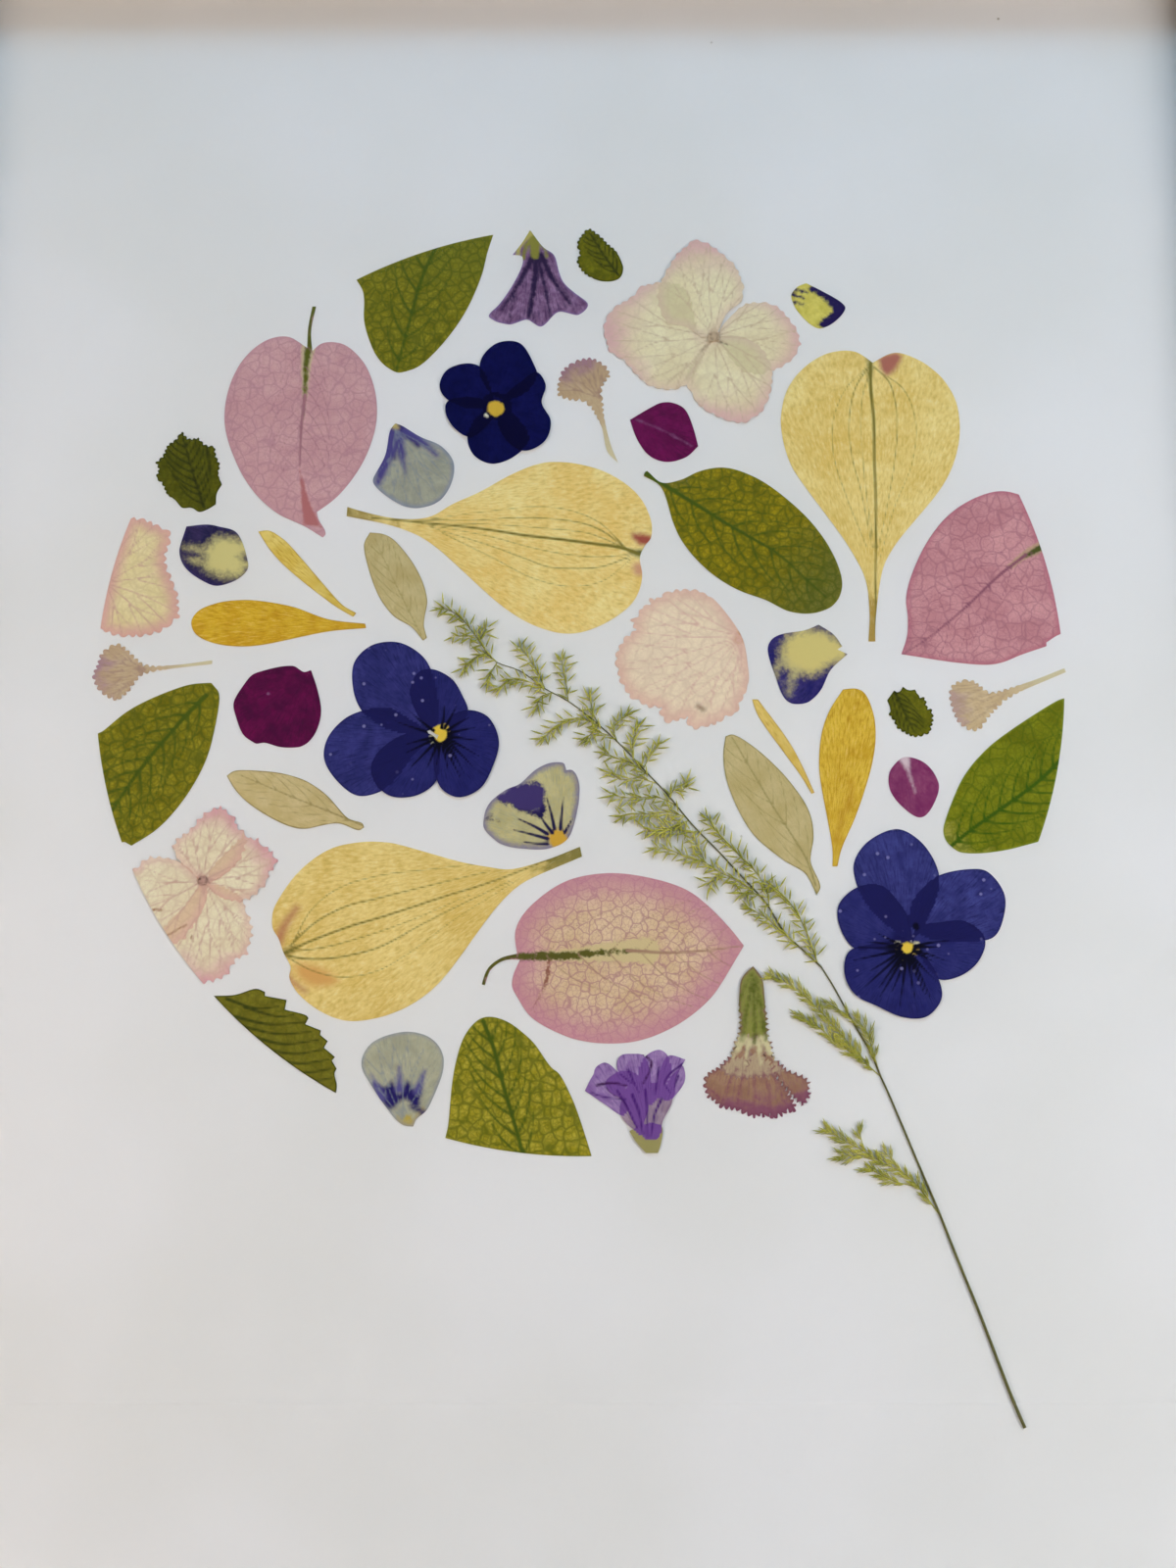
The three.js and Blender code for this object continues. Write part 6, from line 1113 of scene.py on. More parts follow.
def flowers() -> list[Specimen]:
    """Whole flowers, whose petals lie over each other."""
    v, a, b, c = Channel.VEIN, Channel.A, Channel.B, Channel.C
    blue = dict(mottle=3.0, fibre="181648", fibre_width=0.4, fibre_share=0.7, over="1c1b54", tone="1a1a5e",
        foot="13134a", foot_reach=0.25, vein="04041a", vein_soft=0.2, rim="1a184c", rim_width=0.5,
        rim_share=0.5, mark_a="06061e", mark_b="f0cc48", mark_c="eae2b0", blur=0.3, ragged=0.4,
        speck="8a86b8", gloss=0.04)
    return [
        Specimen("viola_dark", "viola_night", Tissue("060a3e", "0f1250", mottle=3.0, fibre="04042c",
                fibre_width=0.4, over="05052e", tone="0c0c44", mark_b="e0b840", mark_c="f0ead0", blur=0.3,
                gloss=0.02, roughness=0.75), (-18, 56.9), (-17.8, 43.3),
            marks=patches(b, "-19.2,57.8 -17.6,58.4 -16.1,57.3 -16.3,55.6 -18.1,54.9 -19.4,56.2")
            + strokes(c, "-19.8,55.1 -19.4,54.9", 0.35, 0.25),
            petals=petals("""-20.8,68.2 -17.5,71.6 -12.9,71.6 -9.8,66.7 -9.1,64 -11.2,60.4 -15.3,58.7
                    -19,60.4 -21.1,64.2; -19,61.8 -21.2,66.2 -24.3,66.9 -28.2,65.3 -29.6,61.8 -28.3,59.1
                    -23.1,56.5 -18.6,57.6""", 1, 0.0)
            + petals("""-9.2,64.9 -7.3,62 -8.1,58 -6.2,53.8 -7.4,49.4 -11.7,47.2 -15.6,49.8 -17.3,54.7
                    -15.7,59.6 -12,63.1; -27.9,58.2 -28.2,55.6 -26.1,52 -23,50.3 -19.6,52.9 -17.5,56.5
                    -22.1,59.1""", 2, 0.0)
            + petals("""-23.6,50.5 -22.2,46.3 -18.5,44.4 -14,45.9 -10.7,49.8 -13.6,55.1 -17.4,57.6
                    -21.4,55.1""", 0, 0.0)
            + petals("-20,59.6 -17,60.2 -14.9,59.1 -14.7,55.6 -17.3,54.2 -20,55.6", 0.5, 0.8)),
        Specimen("viola_left", "viola_blue", Tissue("2b2c66", "3d3e82", **blue), (-28.6, -14.3),
            (-18.2, -16),
            marks=patches(b, "-29.6,-12.7 -27,-12.1 -26.4,-14.1 -27.1,-16.2 -28.7,-16.2 -29.8,-14.3")
            + strokes(c, "-29.9,-14.8 -29.7,-15.8", 0.5, 0.4)
            + strokes(v, """-28,-12.7 -27.6,-10.4 -27.5,-8.2; -27.4,-12.9 -26.2,-10.6 -25.1,-8.2;
                    -26.8,-13.3 -24.8,-11.9 -22.5,-10.6; -26.6,-13.9 -24,-13.3 -21.2,-12.7;
                    -26.6,-14.5 -23.6,-15 -20.6,-15.4; -26.8,-15 -23.6,-16.8 -20.4,-18.6;
                    -27,-15.4 -23.9,-18.4 -21.1,-21.5; -27.2,-15.8 -25.1,-18.9 -23.3,-22.3;
                    -27.5,-15.8 -25.7,-19.9 -23.9,-23.5; -27.9,-16 -27.1,-19.1 -26.5,-21.9;
                    -28.3,-16 -28.5,-18.2 -28.9,-20.5; -28.7,-16 -29.7,-18.4 -30.8,-21.1;
                    -29.1,-15.6 -31.5,-18.2 -34,-20.9; -29.5,-15.2 -32.3,-16.6 -35.2,-18;
                    -29.7,-14.8 -32.3,-15.4 -35.1,-16.2; -29.8,-13.9 -33.6,-12.7 -37.4,-11.3;
                    -29.6,-13.3 -32,-11.5 -34.6,-9.2""", 0.32, 0.06),
            petals=petals("""-44.2,-9.2 -46.1,-4.6 -46,1.2 -42.5,4.8 -37.1,5.4 -32.6,2.9 -30.4,-0.3
                    -28.9,-6.1 -28.8,-11.9 -33.1,-13.9 -38.1,-13.3 -41.5,-11.5; -40.2,-26 -44.7,-26.8
                    -49.1,-23.5 -51.6,-19.1 -51,-14.8 -47.7,-10.8 -43.8,-9 -39.2,-8.4 -35.2,-10.4
                    -30.5,-14.3 -34,-19.1 -37.3,-23.7""", 0, 0.0)
            + petals("""-33,-1.1 -30.4,-0.3 -26.2,-2.3 -23.9,-5.9 -22.7,-9.4 -24.6,-12.5 -28.2,-14.3
                    -31,-12.5 -33.4,-9 -34.5,-5; -29.2,-24.2 -32.9,-26.8 -37.8,-27 -40.6,-25 -42.1,-21.5
                    -41,-18.2 -37.7,-15.2 -33.1,-13.5 -29.2,-14.8 -28.1,-19.7""", 1, 0.45)
            + petals("""-28.6,-14.3 -26.2,-10.4 -22.7,-9 -18.7,-10.4 -16.4,-15.4 -17.6,-20.9 -20.1,-25.4
                    -24.4,-27.2 -28,-25.2 -29.5,-19.7""", 2, 0.6)),
        Specimen("viola_right", "viola_blue", Tissue("2f306c", "44478a", **blue), (64.4, -57.9),
            (62.3, -69.8),
            marks=strokes(b, """64.6,-57.7 65.6,-57.7 66.7,-57.9; 64.6,-57.7 65.6,-58.3 66.3,-58.9;
                    64.6,-57.7 65,-58.9 65.3,-60.1; 64.6,-57.7 64.2,-58.9 63.7,-60.1;
                    64.6,-57.7 63.6,-58.3 62.6,-58.9; 64.6,-57.7 63.6,-57.7 62.5,-57.7""", 1.0, 0.3)
            + strokes(c, "62.5,-56.7 63.1,-56.7; 66.2,-56.7 66.8,-56.9", 0.3, 0.3)
            + strokes(a, "66.5,-53.4 66.7,-53.8", 0.7, 0.5)
            + strokes(v, """66,-57.9 68.5,-57.7 71.2,-57.5; 66,-57.5 69.5,-56.7 73,-56.3;
                    65.9,-58.3 69,-59.1 71.9,-60.3; 65.7,-58.5 67.8,-59.5 69.7,-60.5;
                    65.3,-59.1 67.6,-61.8 70,-64.4; 65.1,-59.1 67.1,-63.4 68.9,-67.9;
                    64.9,-59.3 66.2,-63.2 67.8,-67.1; 64.7,-59.3 65.2,-64 66,-68.6;
                    64.4,-59.3 63.6,-64.4 62.7,-69.4; 64.2,-59.3 62.9,-63 61.2,-66.7;
                    64,-59.1 61.5,-63.4 58.9,-67.5; 63.8,-59.1 61.2,-62.4 58.7,-65.9;
                    63.6,-58.7 59.8,-62.2 56,-65.5; 63.4,-58.5 60.3,-60.5 57.1,-62.4;
                    63.2,-58.3 58.5,-59.3 53.9,-60.3; 63.2,-57.9 59.2,-57.9 54.9,-57.7;
                    63.2,-57.7 59.8,-56.9 56.3,-56.5; 63.5,-57.3 61,-56 58.5,-54.6""", 0.32, 0.06),
            petals=petals("""55.1,-45.3 54.6,-40.7 57.5,-36.3 63.5,-33.7 67.9,-36.1 71,-41.1 71.5,-45.3
                    68.7,-52.2 65.6,-56.2 60.9,-53.4 56.9,-49.2; 71.6,-43.1 77.3,-41.9 81,-42.3
                    84.3,-46.9 83.9,-51.8 81.8,-55.6 76.3,-56.5 68.6,-55.8 65.3,-53.2 65.9,-48.7
                    68.5,-45.3""", 0, 0.0)
            + petals("""54.3,-57.9 51.5,-53.8 51.3,-49.2 55.3,-45.5 60,-45.3 63,-48.3 65,-51.8
                    65.2,-56.5 59.8,-57.7; 80.1,-56.9 78.4,-60.7 74.8,-63.4 70.6,-64 67.4,-60.1
                    65.6,-56.5 67.1,-53.6 71.6,-52.6 76.1,-52.4 79.5,-54.8""", 1, 0.45)
            + petals("""70.6,-64 71,-67.9 68,-71.4 63.6,-71.6 58,-69.2 54.1,-67.1 52.1,-63 53.1,-58.5
                    58.8,-56.9 64.5,-56.2 68,-59.3""", 2, 0.6)),
        Specimen("hydrangea_floret_upper", "hydrangea_cream", Tissue("e9dbb0", "f3eac2", net="cdb894",
                net_size=1.2, net_share=0.3, mottle=7.0, over="ddd2a4", bump=0.2, mark_b="3c280e",
                vein="cdb494", rim="dfb2b2", rim_width=2.6, rim_share=0.3, tip="e2b8b0", tip_from=0.6,
                blur=0.3), (28.2, 73), (28.5, 94.8), ruffle=0.45, ruffle_step=2.2,
            marks=strokes(b, "28,73 28.4,73", 0.95, 0.95)
            + strokes(b, "28.2,73 29.6,71.6 31,71.2", 0.3, 0.1)
            + strokes(b, "28.2,73 26.9,71.2 25.6,69.8", 0.25, 0.1)
            + radiating((28.2, 73), """17.5,89.1 22.6,93.6 27.8,95.2 33.4,90.7 35,83.4 7.8,78.8 6.6,72.1
                    9.9,64.2 15.6,59.8 20.2,60.9 28.3,54.2 34.5,52.5 40.7,56.5 41.9,64.2 46.2,70.9
                    45.3,77.7 39.1,81.1""", 0.09),
            petals=petals("""16.4,81.8 17.1,85.6 20.5,92! 24.3,95.7! 27.2,94.6 32.6,89.7 34.8,85.2!
                    34.3,81.1! 31.1,78.4 28.8,73.9 26.5,72.5 22.4,75.2 18.4,76.3""", 2, 0.0)
            + petals("""28.2,73 25.5,73.2 22.5,83.4 18.3,85.6 13.1,84.5! 11,82.2! 6.2,78.4 4.9,74.8
                    6.2,69.8! 9.3,67.6! 11.9,64.2! 15,61.8 20.2,61.3 23.9,64 26.5,69.8; 26.5,71.6
                    24,67.6 22.3,63.8 24.3,58.2! 26.7,56.2 33.5,53.6 37.6,55.8 40.2,62 38.9,69.4
                    35.2,72.5 30.7,73.2""", 1, 0.0)
            + petals("""29.2,73.6 31.8,77.7 36,80.9 41.2,80.2 45.6,75 46.6,71.2! 44.7,67.8! 41.9,66
                    36.7,64.2 32.6,66.7 30.2,70.7""", 0, 0.0)
            + petals("27.1,73.9 28.2,74.3 29.2,73.6 29.4,72.5 28.4,71.8 27.1,72.1", 4, 0.5)),
        Specimen("hydrangea_floret_lower_cut", "hydrangea_cream", Tissue("ebddb8", "f5ebc8", net="cda98c",
                net_size=1.2, net_share=0.35, mottle=6.0, over="e4c6a2", bump=0.2, mark_a="9a5f3c",
                mark_b="40280e", vein="cfa494", rim="dfa0a6", rim_width=2.2, rim_share=0.35, tip="dfa8aa",
                tip_from=0.6, blur=0.3), (-75, -44.3), (-69.9, -64), trimmed=True, ruffle=0.75,
            ruffle_step=1.9,
            marks=strokes(b, "-75.1,-44.3 -74.8,-44.3", 0.95, 0.95)
            + strokes(a, "-81.7,-55.4 -79.8,-54.2 -77.7,-53; -76.8,-55.2 -76.6,-56.7", 0.12, 0.08)
            + strokes(a, "-84.6,-50.2 -82.9,-50.2", 0.25, 0.2)
            + radiating((-75, -44.3), """-81.6,-34.3 -77.9,-30.6 -72.2,-30.2 -67.2,-33.3 -61.5,-38.3
                    -60.5,-43.3 -62.7,-48.3 -86.3,-44.3 -87,-50.2 -83.8,-56.2 -77.7,-61.1 -72.8,-64
                    -67.1,-62 -65.3,-56.2""", 0.09),
            petals=petals("""-81.1,-37.9 -80.6,-35.9! -77.9,-33.7! -75.1,-30.6 -71.8,-29! -69.6,-30.8
                    -68.5,-33.1! -67.1,-34.3 -67,-38.3 -69.8,-42.3 -74.5,-44.7 -77,-42.7 -79.8,-40.3""", 2,
                0.0)
            + petals("""-74.2,-43.5 -70.9,-38.7 -67.1,-34.3! -65.9,-35.7! -64.5,-35.5! -63.1,-37.3!
                    -61.1,-38.7! -60.4,-40.3 -61.9,-42.9! -62.1,-44.5! -63.6,-46.1! -66.2,-48.1
                    -69.5,-48.3 -73.5,-45.9; -90.3,-42.7! -88,-41.1 -85.7,-39.5 -80.6,-40.1 -76.2,-43.5
                    -74.1,-46.3 -75.3,-51.2 -78.9,-56.2 -85.6,-58.1 -93.9,-48.3""", 1, 0.0)
            + petals("""-74.9,-44.9 -71.6,-45.3 -67.6,-47.3 -65.3,-52.6 -64.8,-55.2! -65.8,-59.3!
                    -67.5,-59.7! -69.9,-63.4 -74.1,-65! -78.5,-65.9 -85.6,-59.1 -82.9,-54.2 -78.3,-49.2""",
                0, 0.0)
            + petals("-76,-43.5 -75,-43.1 -74,-43.7 -73.8,-44.7 -74.7,-45.3 -75.9,-45.1", 4, 0.5)),
        Specimen("trumpet_flower_purple", "trumpet_purple", Tissue("8c66a2", "b294c0", mottle=2.5,
                fibre="5c3478", fibre_width=0.4, fibre_share=0.7, over="7a4e98", tone="aaa25a",
                mark_a="5a2680", mark_b="3c1048", blur=0.25, ragged=0.25, vein="4a1c70", vein_soft=0.25),
            (13.9, -96.9), (10.8, -79.1),
            marks=strokes(b, "3.3,-84.8 6.4,-84.4 9.2,-85", 0.25, 0.15)
            + strokes(v, "7.9,-82.7 10.2,-84.6", 0.15, 0.1)
            + strokes(b, "12.5,-78.9 13.9,-80.2 13.7,-81.9 12.3,-84.4", 0.3, 0.15)
            + strokes(v, "2.2,-86.3 4.8,-87.1 9.2,-87.6", 0.15, 0.1)
            + strokes(v, "20.2,-80.6 17.7,-82.5 16.5,-84.4 17.6,-86.3; 19.2,-82.9 18.4,-85.2", 0.2, 0.1)
            + strokes(v, "10.2,-86.7 11.5,-90.1 12.2,-94.3; 15.9,-87.5 14.5,-90.5 13.8,-94.7", 0.25, 0.1)
            + strokes(v, """12.7,-85.6 13,-89 13,-95; 7.3,-85.9 9.2,-89 11.1,-93.1;
                    9.3,-81.7 10.4,-84 11.5,-86.3; 15.4,-81.4 15,-84 14.6,-86.7""", 0.2, 0.1),
            petals=petals("""9.6,-93.7! 11.5,-92.8 13.8,-92.2 15.9,-92.8 15.8,-95.6 15.1,-97.9!
                    12.8,-97.9! 10.9,-95.8""", 2, 1.0)
            + petals("""7.9,-90.3 10.2,-93.3 13.4,-95.4 15.5,-94.7 16.1,-91.8 18,-87.8 17.6,-85.2
                    13.1,-84.4 9.2,-85.6""", 1, 0.35)
            + petals("""1,-85.9! 2,-83.8 2.7,-82.7! 3.1,-81.4 4.9,-80.4 6.8,-81.6 8.5,-84 9.6,-89
                    8.5,-90.7 5,-88.6""", 0, 0.0)
            + petals("""7.5,-82.5 7.3,-80 8.3,-78.9 11.4,-78.7! 12.5,-78.9! 13.8,-82.5 13.2,-85.6
                    11.1,-87.5 8.9,-84.8""", 1, 0.0)
            + petals("""11.2,-83.3 12.7,-79.3 15.4,-77.9 16.9,-78.7 17.9,-81.4 16.9,-84.4 13.8,-88.6
                    12.1,-86.7""", 0, 0.0)
            + petals("17.3,-79.1 20.6,-79.8! 18.8,-83.3 18,-87.5 15.3,-87.1 15.4,-82.9", 1, 0.0)
            + petals("20,-81 20.5,-83.7 19,-86.3 17.6,-87.5 16.5,-86.7 17.7,-83.3", 0, 0.0)
            + petals("""5,-84.4 7,-82.5 9.6,-82.1 11.7,-83.3 13.2,-86.7 13,-90.5 11.5,-93.1 9.8,-90.9
                    8.5,-87.8 5.8,-86.1""", 2, 0.0)),
        Specimen("carnation", "carnation_mauve", Tissue("997158", "b18d6b", mottle=2.5, fibre="865260",
                fibre_width=0.3, fibre_share=0.55, tip="8c5468", tip_from=0.8, over="bca684",
                tone="8e9240", mark_a="d6cc9c", mark_b="84485c", mark_c="5c641e", blur=0.6, ragged=0.9,
                rim="7a3e54", rim_width=0.6, rim_share=0.6), (34.1, -62), (33.6, -90.9), ruffle=0.8,
            ruffle_step=1.1,
            marks=strokes(a, "31.7,-76 30.7,-77.9 29.8,-79.8", 1.0, 0.0)
            + strokes(a, "33.1,-76.4 32.7,-78.3 32.2,-80.6", 0.7, 0.0)
            + strokes(a, "34.8,-76.4 35.1,-78.3 35.3,-80.8", 0.8, 0.0)
            + strokes(a, "36.1,-76 36.9,-77.9 38,-79.8", 1.0, 0.0)
            + strokes(c, """34.1,-64 32.8,-69.8 31.7,-76; 34.2,-64 34.3,-69.8 34.2,-76.4;
                    34.4,-64 35.5,-69.8 36.3,-76""", 0.35, 0.2)
            + strokes(c, "33.7,-63.2 31.5,-67.9 30.4,-73.7", 0.2, 0.1)
            + strokes(b, "25.5,-85.6 28.3,-88.4 32.1,-89.7 35.9,-90.5 40.3,-89.4 43.2,-86.7", 0.1, 0.1)
            + strokes(b, """30.7,-81.7 28.7,-85.2 27.9,-88.2; 34.1,-82.5 34,-86.3 33.6,-90.1;
                    36.8,-81.7 38.7,-84.8 39.7,-88.6; 32.4,-82.1 31,-85.6 30.6,-89.4;
                    35.7,-82.1 36.7,-85.6 37,-89.7""", 0.05, 0.0),
            petals=petals("""34.1,-61.4! 35.8,-63.8 36.3,-67.9 36.7,-75 36.1,-79.6! 34.4,-75.2!
                    32.8,-81.6! 31.9,-76.2! 29.6,-78.9! 31,-74.6 31.3,-67.1 31.9,-63.8""", 2, 1.0)
            + petals("31,-75.6 36.9,-76 37.8,-79.4 39.9,-81.7 36,-83.3 29.3,-83.3 27.4,-81.4 29.4,-78.9",
                1, 0.0)
            + petals("""32.3,-79.1 27.4,-81.2 24.7,-83.3! 24.3,-85! 24.9,-87.1! 26.2,-87.6! 27.5,-89!
                    28.8,-89.2! 30.6,-89.4! 31.7,-90.1! 33.8,-91.1! 35.1,-90.5! 35.9,-90.9! 36.8,-90.3!
                    37.6,-91.4! 38.5,-90.7! 39.3,-90.7! 40.3,-89.7! 41.4,-90.1! 42,-89! 40.9,-87.3
                    40.3,-86.5! 37.9,-82.3 36.1,-79.4""", 0, 0.0)
            + petals("""37.3,-78.5 38.9,-80.8 42.1,-82.5 44,-83.5! 44.8,-84.4! 44.4,-85.6! 44.9,-86.7!
                    44.3,-87.8! 43.5,-88.8! 41.3,-87.1 38.9,-84.2""", 1, 0.0)),
    ]


# Grass

@dataclass(frozen=True)
class Grass:
    """A part of the pressed grass: a round stem, thin twigs and spikelets of narrow scales.

    The spikelets' length, the spacing between them and the bare start of a twig are in mm. The
    spread is the angle between a spikelet and its twig, in radians.
    """

    node: str
    twigs: tuple[Path, ...]
    spikelet: float
    spacing: float
    start_at: float
    spread: float
    seed: int
    stem: Path = ()
    stem_radius: float = 0.0

    def build(self, finish: bpy.types.Material) -> bpy.types.Object:
        """Builds the piece from tubes and spindles and joins them."""
        chance = random.Random(self.seed)
        parts = []
        if self.stem:
            mesh = bmesh.new()
            self.tube(mesh, self.stem, self.stem_radius * 1.15, self.stem_radius * 0.5, 8)
            culm = as_object(mesh, f"{self.node}.stem")
            set_attribute(culm, "tone", np.ones(len(culm.data.vertices)))
            parts.append(culm)
        for i, twig in enumerate(self.twigs):
            mesh = bmesh.new()
            self.tube(mesh, twig, TWIG_RADIUS, TWIG_RADIUS * 0.6, 6)
            self.spikelets(mesh, twig, chance)
            parts.append(as_object(mesh, f"{self.node}.{i}"))
        piece = joined(parts, f"pressed_{self.node}")
        piece.data.materials.append(finish)
        finish_piece(piece, self.node)
        return piece

    def tube(self, mesh: bmesh.types.BMesh, path: Path, start: float, end: float, sides: int) -> None:
        """Adds a tapering tube along a path, lying on the board.

        Args:
            mesh: The mesh to add to.
            path: The tube's points.
            start: Radius at the first point.
            end: Radius at the last point.
            sides: Sides of its section.
        """
        line = catmull_rom(as_arrays(path), 1.5)
        rings = []
        for i, at in enumerate(line):
            ahead = line[min(i + 1, len(line) - 1)] - line[max(i - 1, 0)]
            radius = start + (end - start) * i / max(1, len(line) - 1)
            place = Matrix.Translation(stand(at, radius)) @ turned_to(ahead)
            made = bmesh.ops.create_circle(mesh, segments=sides, radius=radius * MM, matrix=place,
                                           cap_ends=i in (0, len(line) - 1))
            rings.append(made["verts"])
        for lower, upper in zip(rings, rings[1:]):
            edges = [e for ring in (lower, upper) for e in {e for v in ring for e in v.link_edges}
                     if all(v in ring for v in e.verts)]
            bmesh.ops.bridge_loops(mesh, edges=edges)
        faces = list({f for ring in rings for v in ring for f in v.link_faces})
        bmesh.ops.recalc_face_normals(mesh, faces=faces)

    def spikelets(self, mesh: bmesh.types.BMesh, twig: Path, chance: random.Random) -> None:
        """Adds spikelets on both sides of a twig and at its tip."""
        line = catmull_rom(as_arrays(twig), 0.5)
        gaps = [np.linalg.norm(b - a) for a, b in zip(line, line[1:])]
        lengths = np.concatenate([[0], np.cumsum(gaps)])
        side = 1
        at = self.start_at
        while at < lengths[-1] + self.spacing * 0.6:
            i = min(len(line) - 2, int(np.searchsorted(lengths, min(at, lengths[-1]))))
            ahead = line[i + 1] - line[i]
            tip = at >= lengths[-1]
            lean = 0 if tip else side * self.spread * chance.uniform(0.5, 1.25)
            angle = math.atan2(ahead[1], ahead[0]) + lean
            length = self.spikelet * chance.uniform(0.75, 1.15)
            self.spikelet_at(mesh, line[i], angle, length, chance)
            at += self.spacing * chance.uniform(0.75, 1.25)
            side = -side

    def spikelet_at(self, mesh: bmesh.types.BMesh, foot: np.ndarray, angle: float, length: float,
                    chance: random.Random) -> None:
        """Adds one spikelet: scales in two rows, two of them in the open panicle and four elsewhere."""
        scales, share, opening, width = (2, 0.78, 0.5, 0.27) if self.spread > 0.6 else (4, 0.5, 0.25, 0.2)
        scale_length = length * share
        ahead = np.array((math.cos(angle), math.sin(angle)))
        for i in range(scales):
            lean = angle + (-1) ** i * opening * (1 - 0.6 * i / scales)
            base = foot + ahead * (length - scale_length) * i / (scales - 1)
            way = np.array((math.cos(lean), math.sin(lean)))
            height = 0.34 + 0.14 * (i % 2) + chance.uniform(0, 0.12)
            shape = Matrix.Diagonal((width * MM, width * 0.7 * MM, scale_length / 2 * MM, 1))
            place = Matrix.Translation(stand(base + way * scale_length / 2, height)) @ turned_to(way) @ shape
            made = bmesh.ops.create_uvsphere(mesh, u_segments=5, v_segments=4, radius=1, matrix=place)
            tip = max(made["verts"], key=lambda v: (v.co.x * way[0] + v.co.z * way[1]))
            tip.co += Vector((way[0], 0, way[1])) * 0.25 * scale_length * MM


def stand(at: np.ndarray, height: float) -> Vector:
    """A point over the board, from mm about the disc's centre to metres in the frame."""
    return Vector((at[0] * MM, (BOARD_FRONT - height) * MM, (at[1] + DISC_Z) * MM))


def turned_to(way: np.ndarray) -> Matrix:
    """Turns the z axis to a direction in the board's plane."""
    return Vector((way[0], 0, way[1])).to_track_quat("Z", "Y").to_matrix().to_4x4()


def grass_finish() -> bpy.types.Material:
    """Dried grass: dull green straw, with paler and browner scales."""
    g = Graph("dried grass")
    place = g.place()
    patchy = g.noise(place, 0.25, 3.0)
    fine = g.noise(place, 1.6, 3.0)
    g.colour = g.mix(g.step(patchy, 0.35, 0.65), "98992c", "c2bc50")
    g.cover(g.step(fine, 0.5, 0.75, 0.0, 0.45), "d4ca72")
    g.cover(g.step(fine, 0.42, 0.28, 0.0, 0.4), "70742c")
    g.cover(g.step(g.attribute("tone"), 0.2, 0.8, 0.0, 0.85), "4a4624")
    g.relief = g.math("MULTIPLY", fine, 0.15)
    return g.surface(0.6, 0.4, Specular_IOR_Level=0.3)


# Side twigs of the upper panicle.
UPPER_TWIGS = runs("""-21.7,6.9 -23.9,6.7 -26.1,6.9; -20.5,5.8 -19.9,7.1 -19.1,8.3;
    -19,3.3 -21.4,2.2 -23.8,-0.1; -17,1 -18.2,-1.1 -19,-3; -7.2,-4.4 -8.8,-0.5 -11,2.7 -12.4,4.6;
    -7.2,-4.4 -10.4,-3 -14.4,-2.6 -16.4,-4.2; -5.4,-5.3 -8,-6.1 -8.8,-8.2;
    -2.4,-7.1 -2.8,-3.6 -3.4,-0.7 -3.8,1.8; 4,-12.3 2.6,-9.6 2,-6.1; 4,-12.5 0.6,-10.8 -2.8,-11.3
    -5.4,-12.9 -7.7,-15.2; 5.8,-14.3 2.8,-13.5 1,-15.4; 7.5,-15.6 6.8,-12.7 9.6,-10;
    10.5,-18.4 10.7,-15.4 11.9,-12.3; 12.7,-21.3 14.3,-18.4 15.9,-16.4;
    13.6,-22.5 10.5,-20.1 7.5,-19.1 4.8,-17.6; 15.2,-24.2 11.5,-23.1 8.1,-23.5 6.1,-21.9; 19.3,-28.8
    15.8,-27.2 12.4,-27.2 9.1,-27.2 6.5,-26.6; 21.3,-31.2 17.7,-30.2 13.8,-30.6 10.4,-30.6 8.1,-31.2;
    21.8,-31.9 18.5,-33.3 15.3,-33.9 12.6,-33.5; 18.1,-27.4 18.8,-25.6 20.5,-25.8 21.7,-24.2;
    23.8,-34.3 19.7,-33.9 14.9,-34.1; 34.4,-46.1 30.5,-43.7 27.8,-42.5 24.9,-40.5 21.8,-39.7 18.8,-38.3
    14.9,-37.3; 24.9,-40.5 23.9,-37.9 22.6,-35.5; 27.8,-42.5 26.4,-43.9 25.2,-45.3; 37.6,-49.8
    37.3,-47.3 36.5,-44.9 34.6,-41.9 31.8,-39.1 29.6,-36.7 27.3,-34.1 25.6,-31.5; 46.9,-60.9 44.3,-53.4
    42.3,-49.6 40.2,-47.1 37.7,-44.7; 43.5,-57.7 40,-54.6 37,-51.8 33.5,-49.8;
    35.7,-47.3 33.8,-46.5 32,-46.9; -17,1.2 -19,3.3 -21.7,7.3 -25.4,11.5 -28.6,13""")

# Short twigs that stay with the stem.
STEM_TWIGS = runs("58.4,-82.6 57.4,-78.7 56.3,-74.6 54.7,-72.3; 54.6,-73.7 52,-70.8 49.4,-69.2")

# Twigs of the middle branch.
MIDDLE_TWIGS = runs("""58.6,-83.1 56.2,-81 53.3,-78.7 49.6,-76 46.6,-73.3 43.2,-71.4; 56.9,-81.6
    54.9,-79.2 51,-74.8 47.8,-71 44.4,-67.5 41.2,-65 37.7,-63.4""")

# Twigs of the lowest branch.
LOW_TWIGS = runs("""69.2,-109.8 65.1,-104.2 62.5,-101.8 58.8,-99.9 55.3,-97.7 51,-95.4 47.8,-93.3;
    65.1,-104.2 62.1,-103.7 59.3,-102.7 55.9,-100.9; 62.5,-101.8 60.9,-99.9 59.1,-97.9;
    57.5,-99.4 54.3,-98.6 50.5,-98.4; 55.3,-97.7 54.6,-95.8 54.2,-94.1""")

RACHIS = points("""47.6,-61.6 44.8,-58.9 40.6,-54.8 36.9,-48.7 32.3,-43.5 27.3,-37.9 22.4,-32.7
    17.6,-26.6 13.5,-22.1 8.9,-17 3.6,-11.9 -2.4,-7.1 -7.2,-4.4 -12.2,-0.7 -17,1.2 -19,3.3 -21.7,7.3
    -25.4,11.5 -28.6,13""")

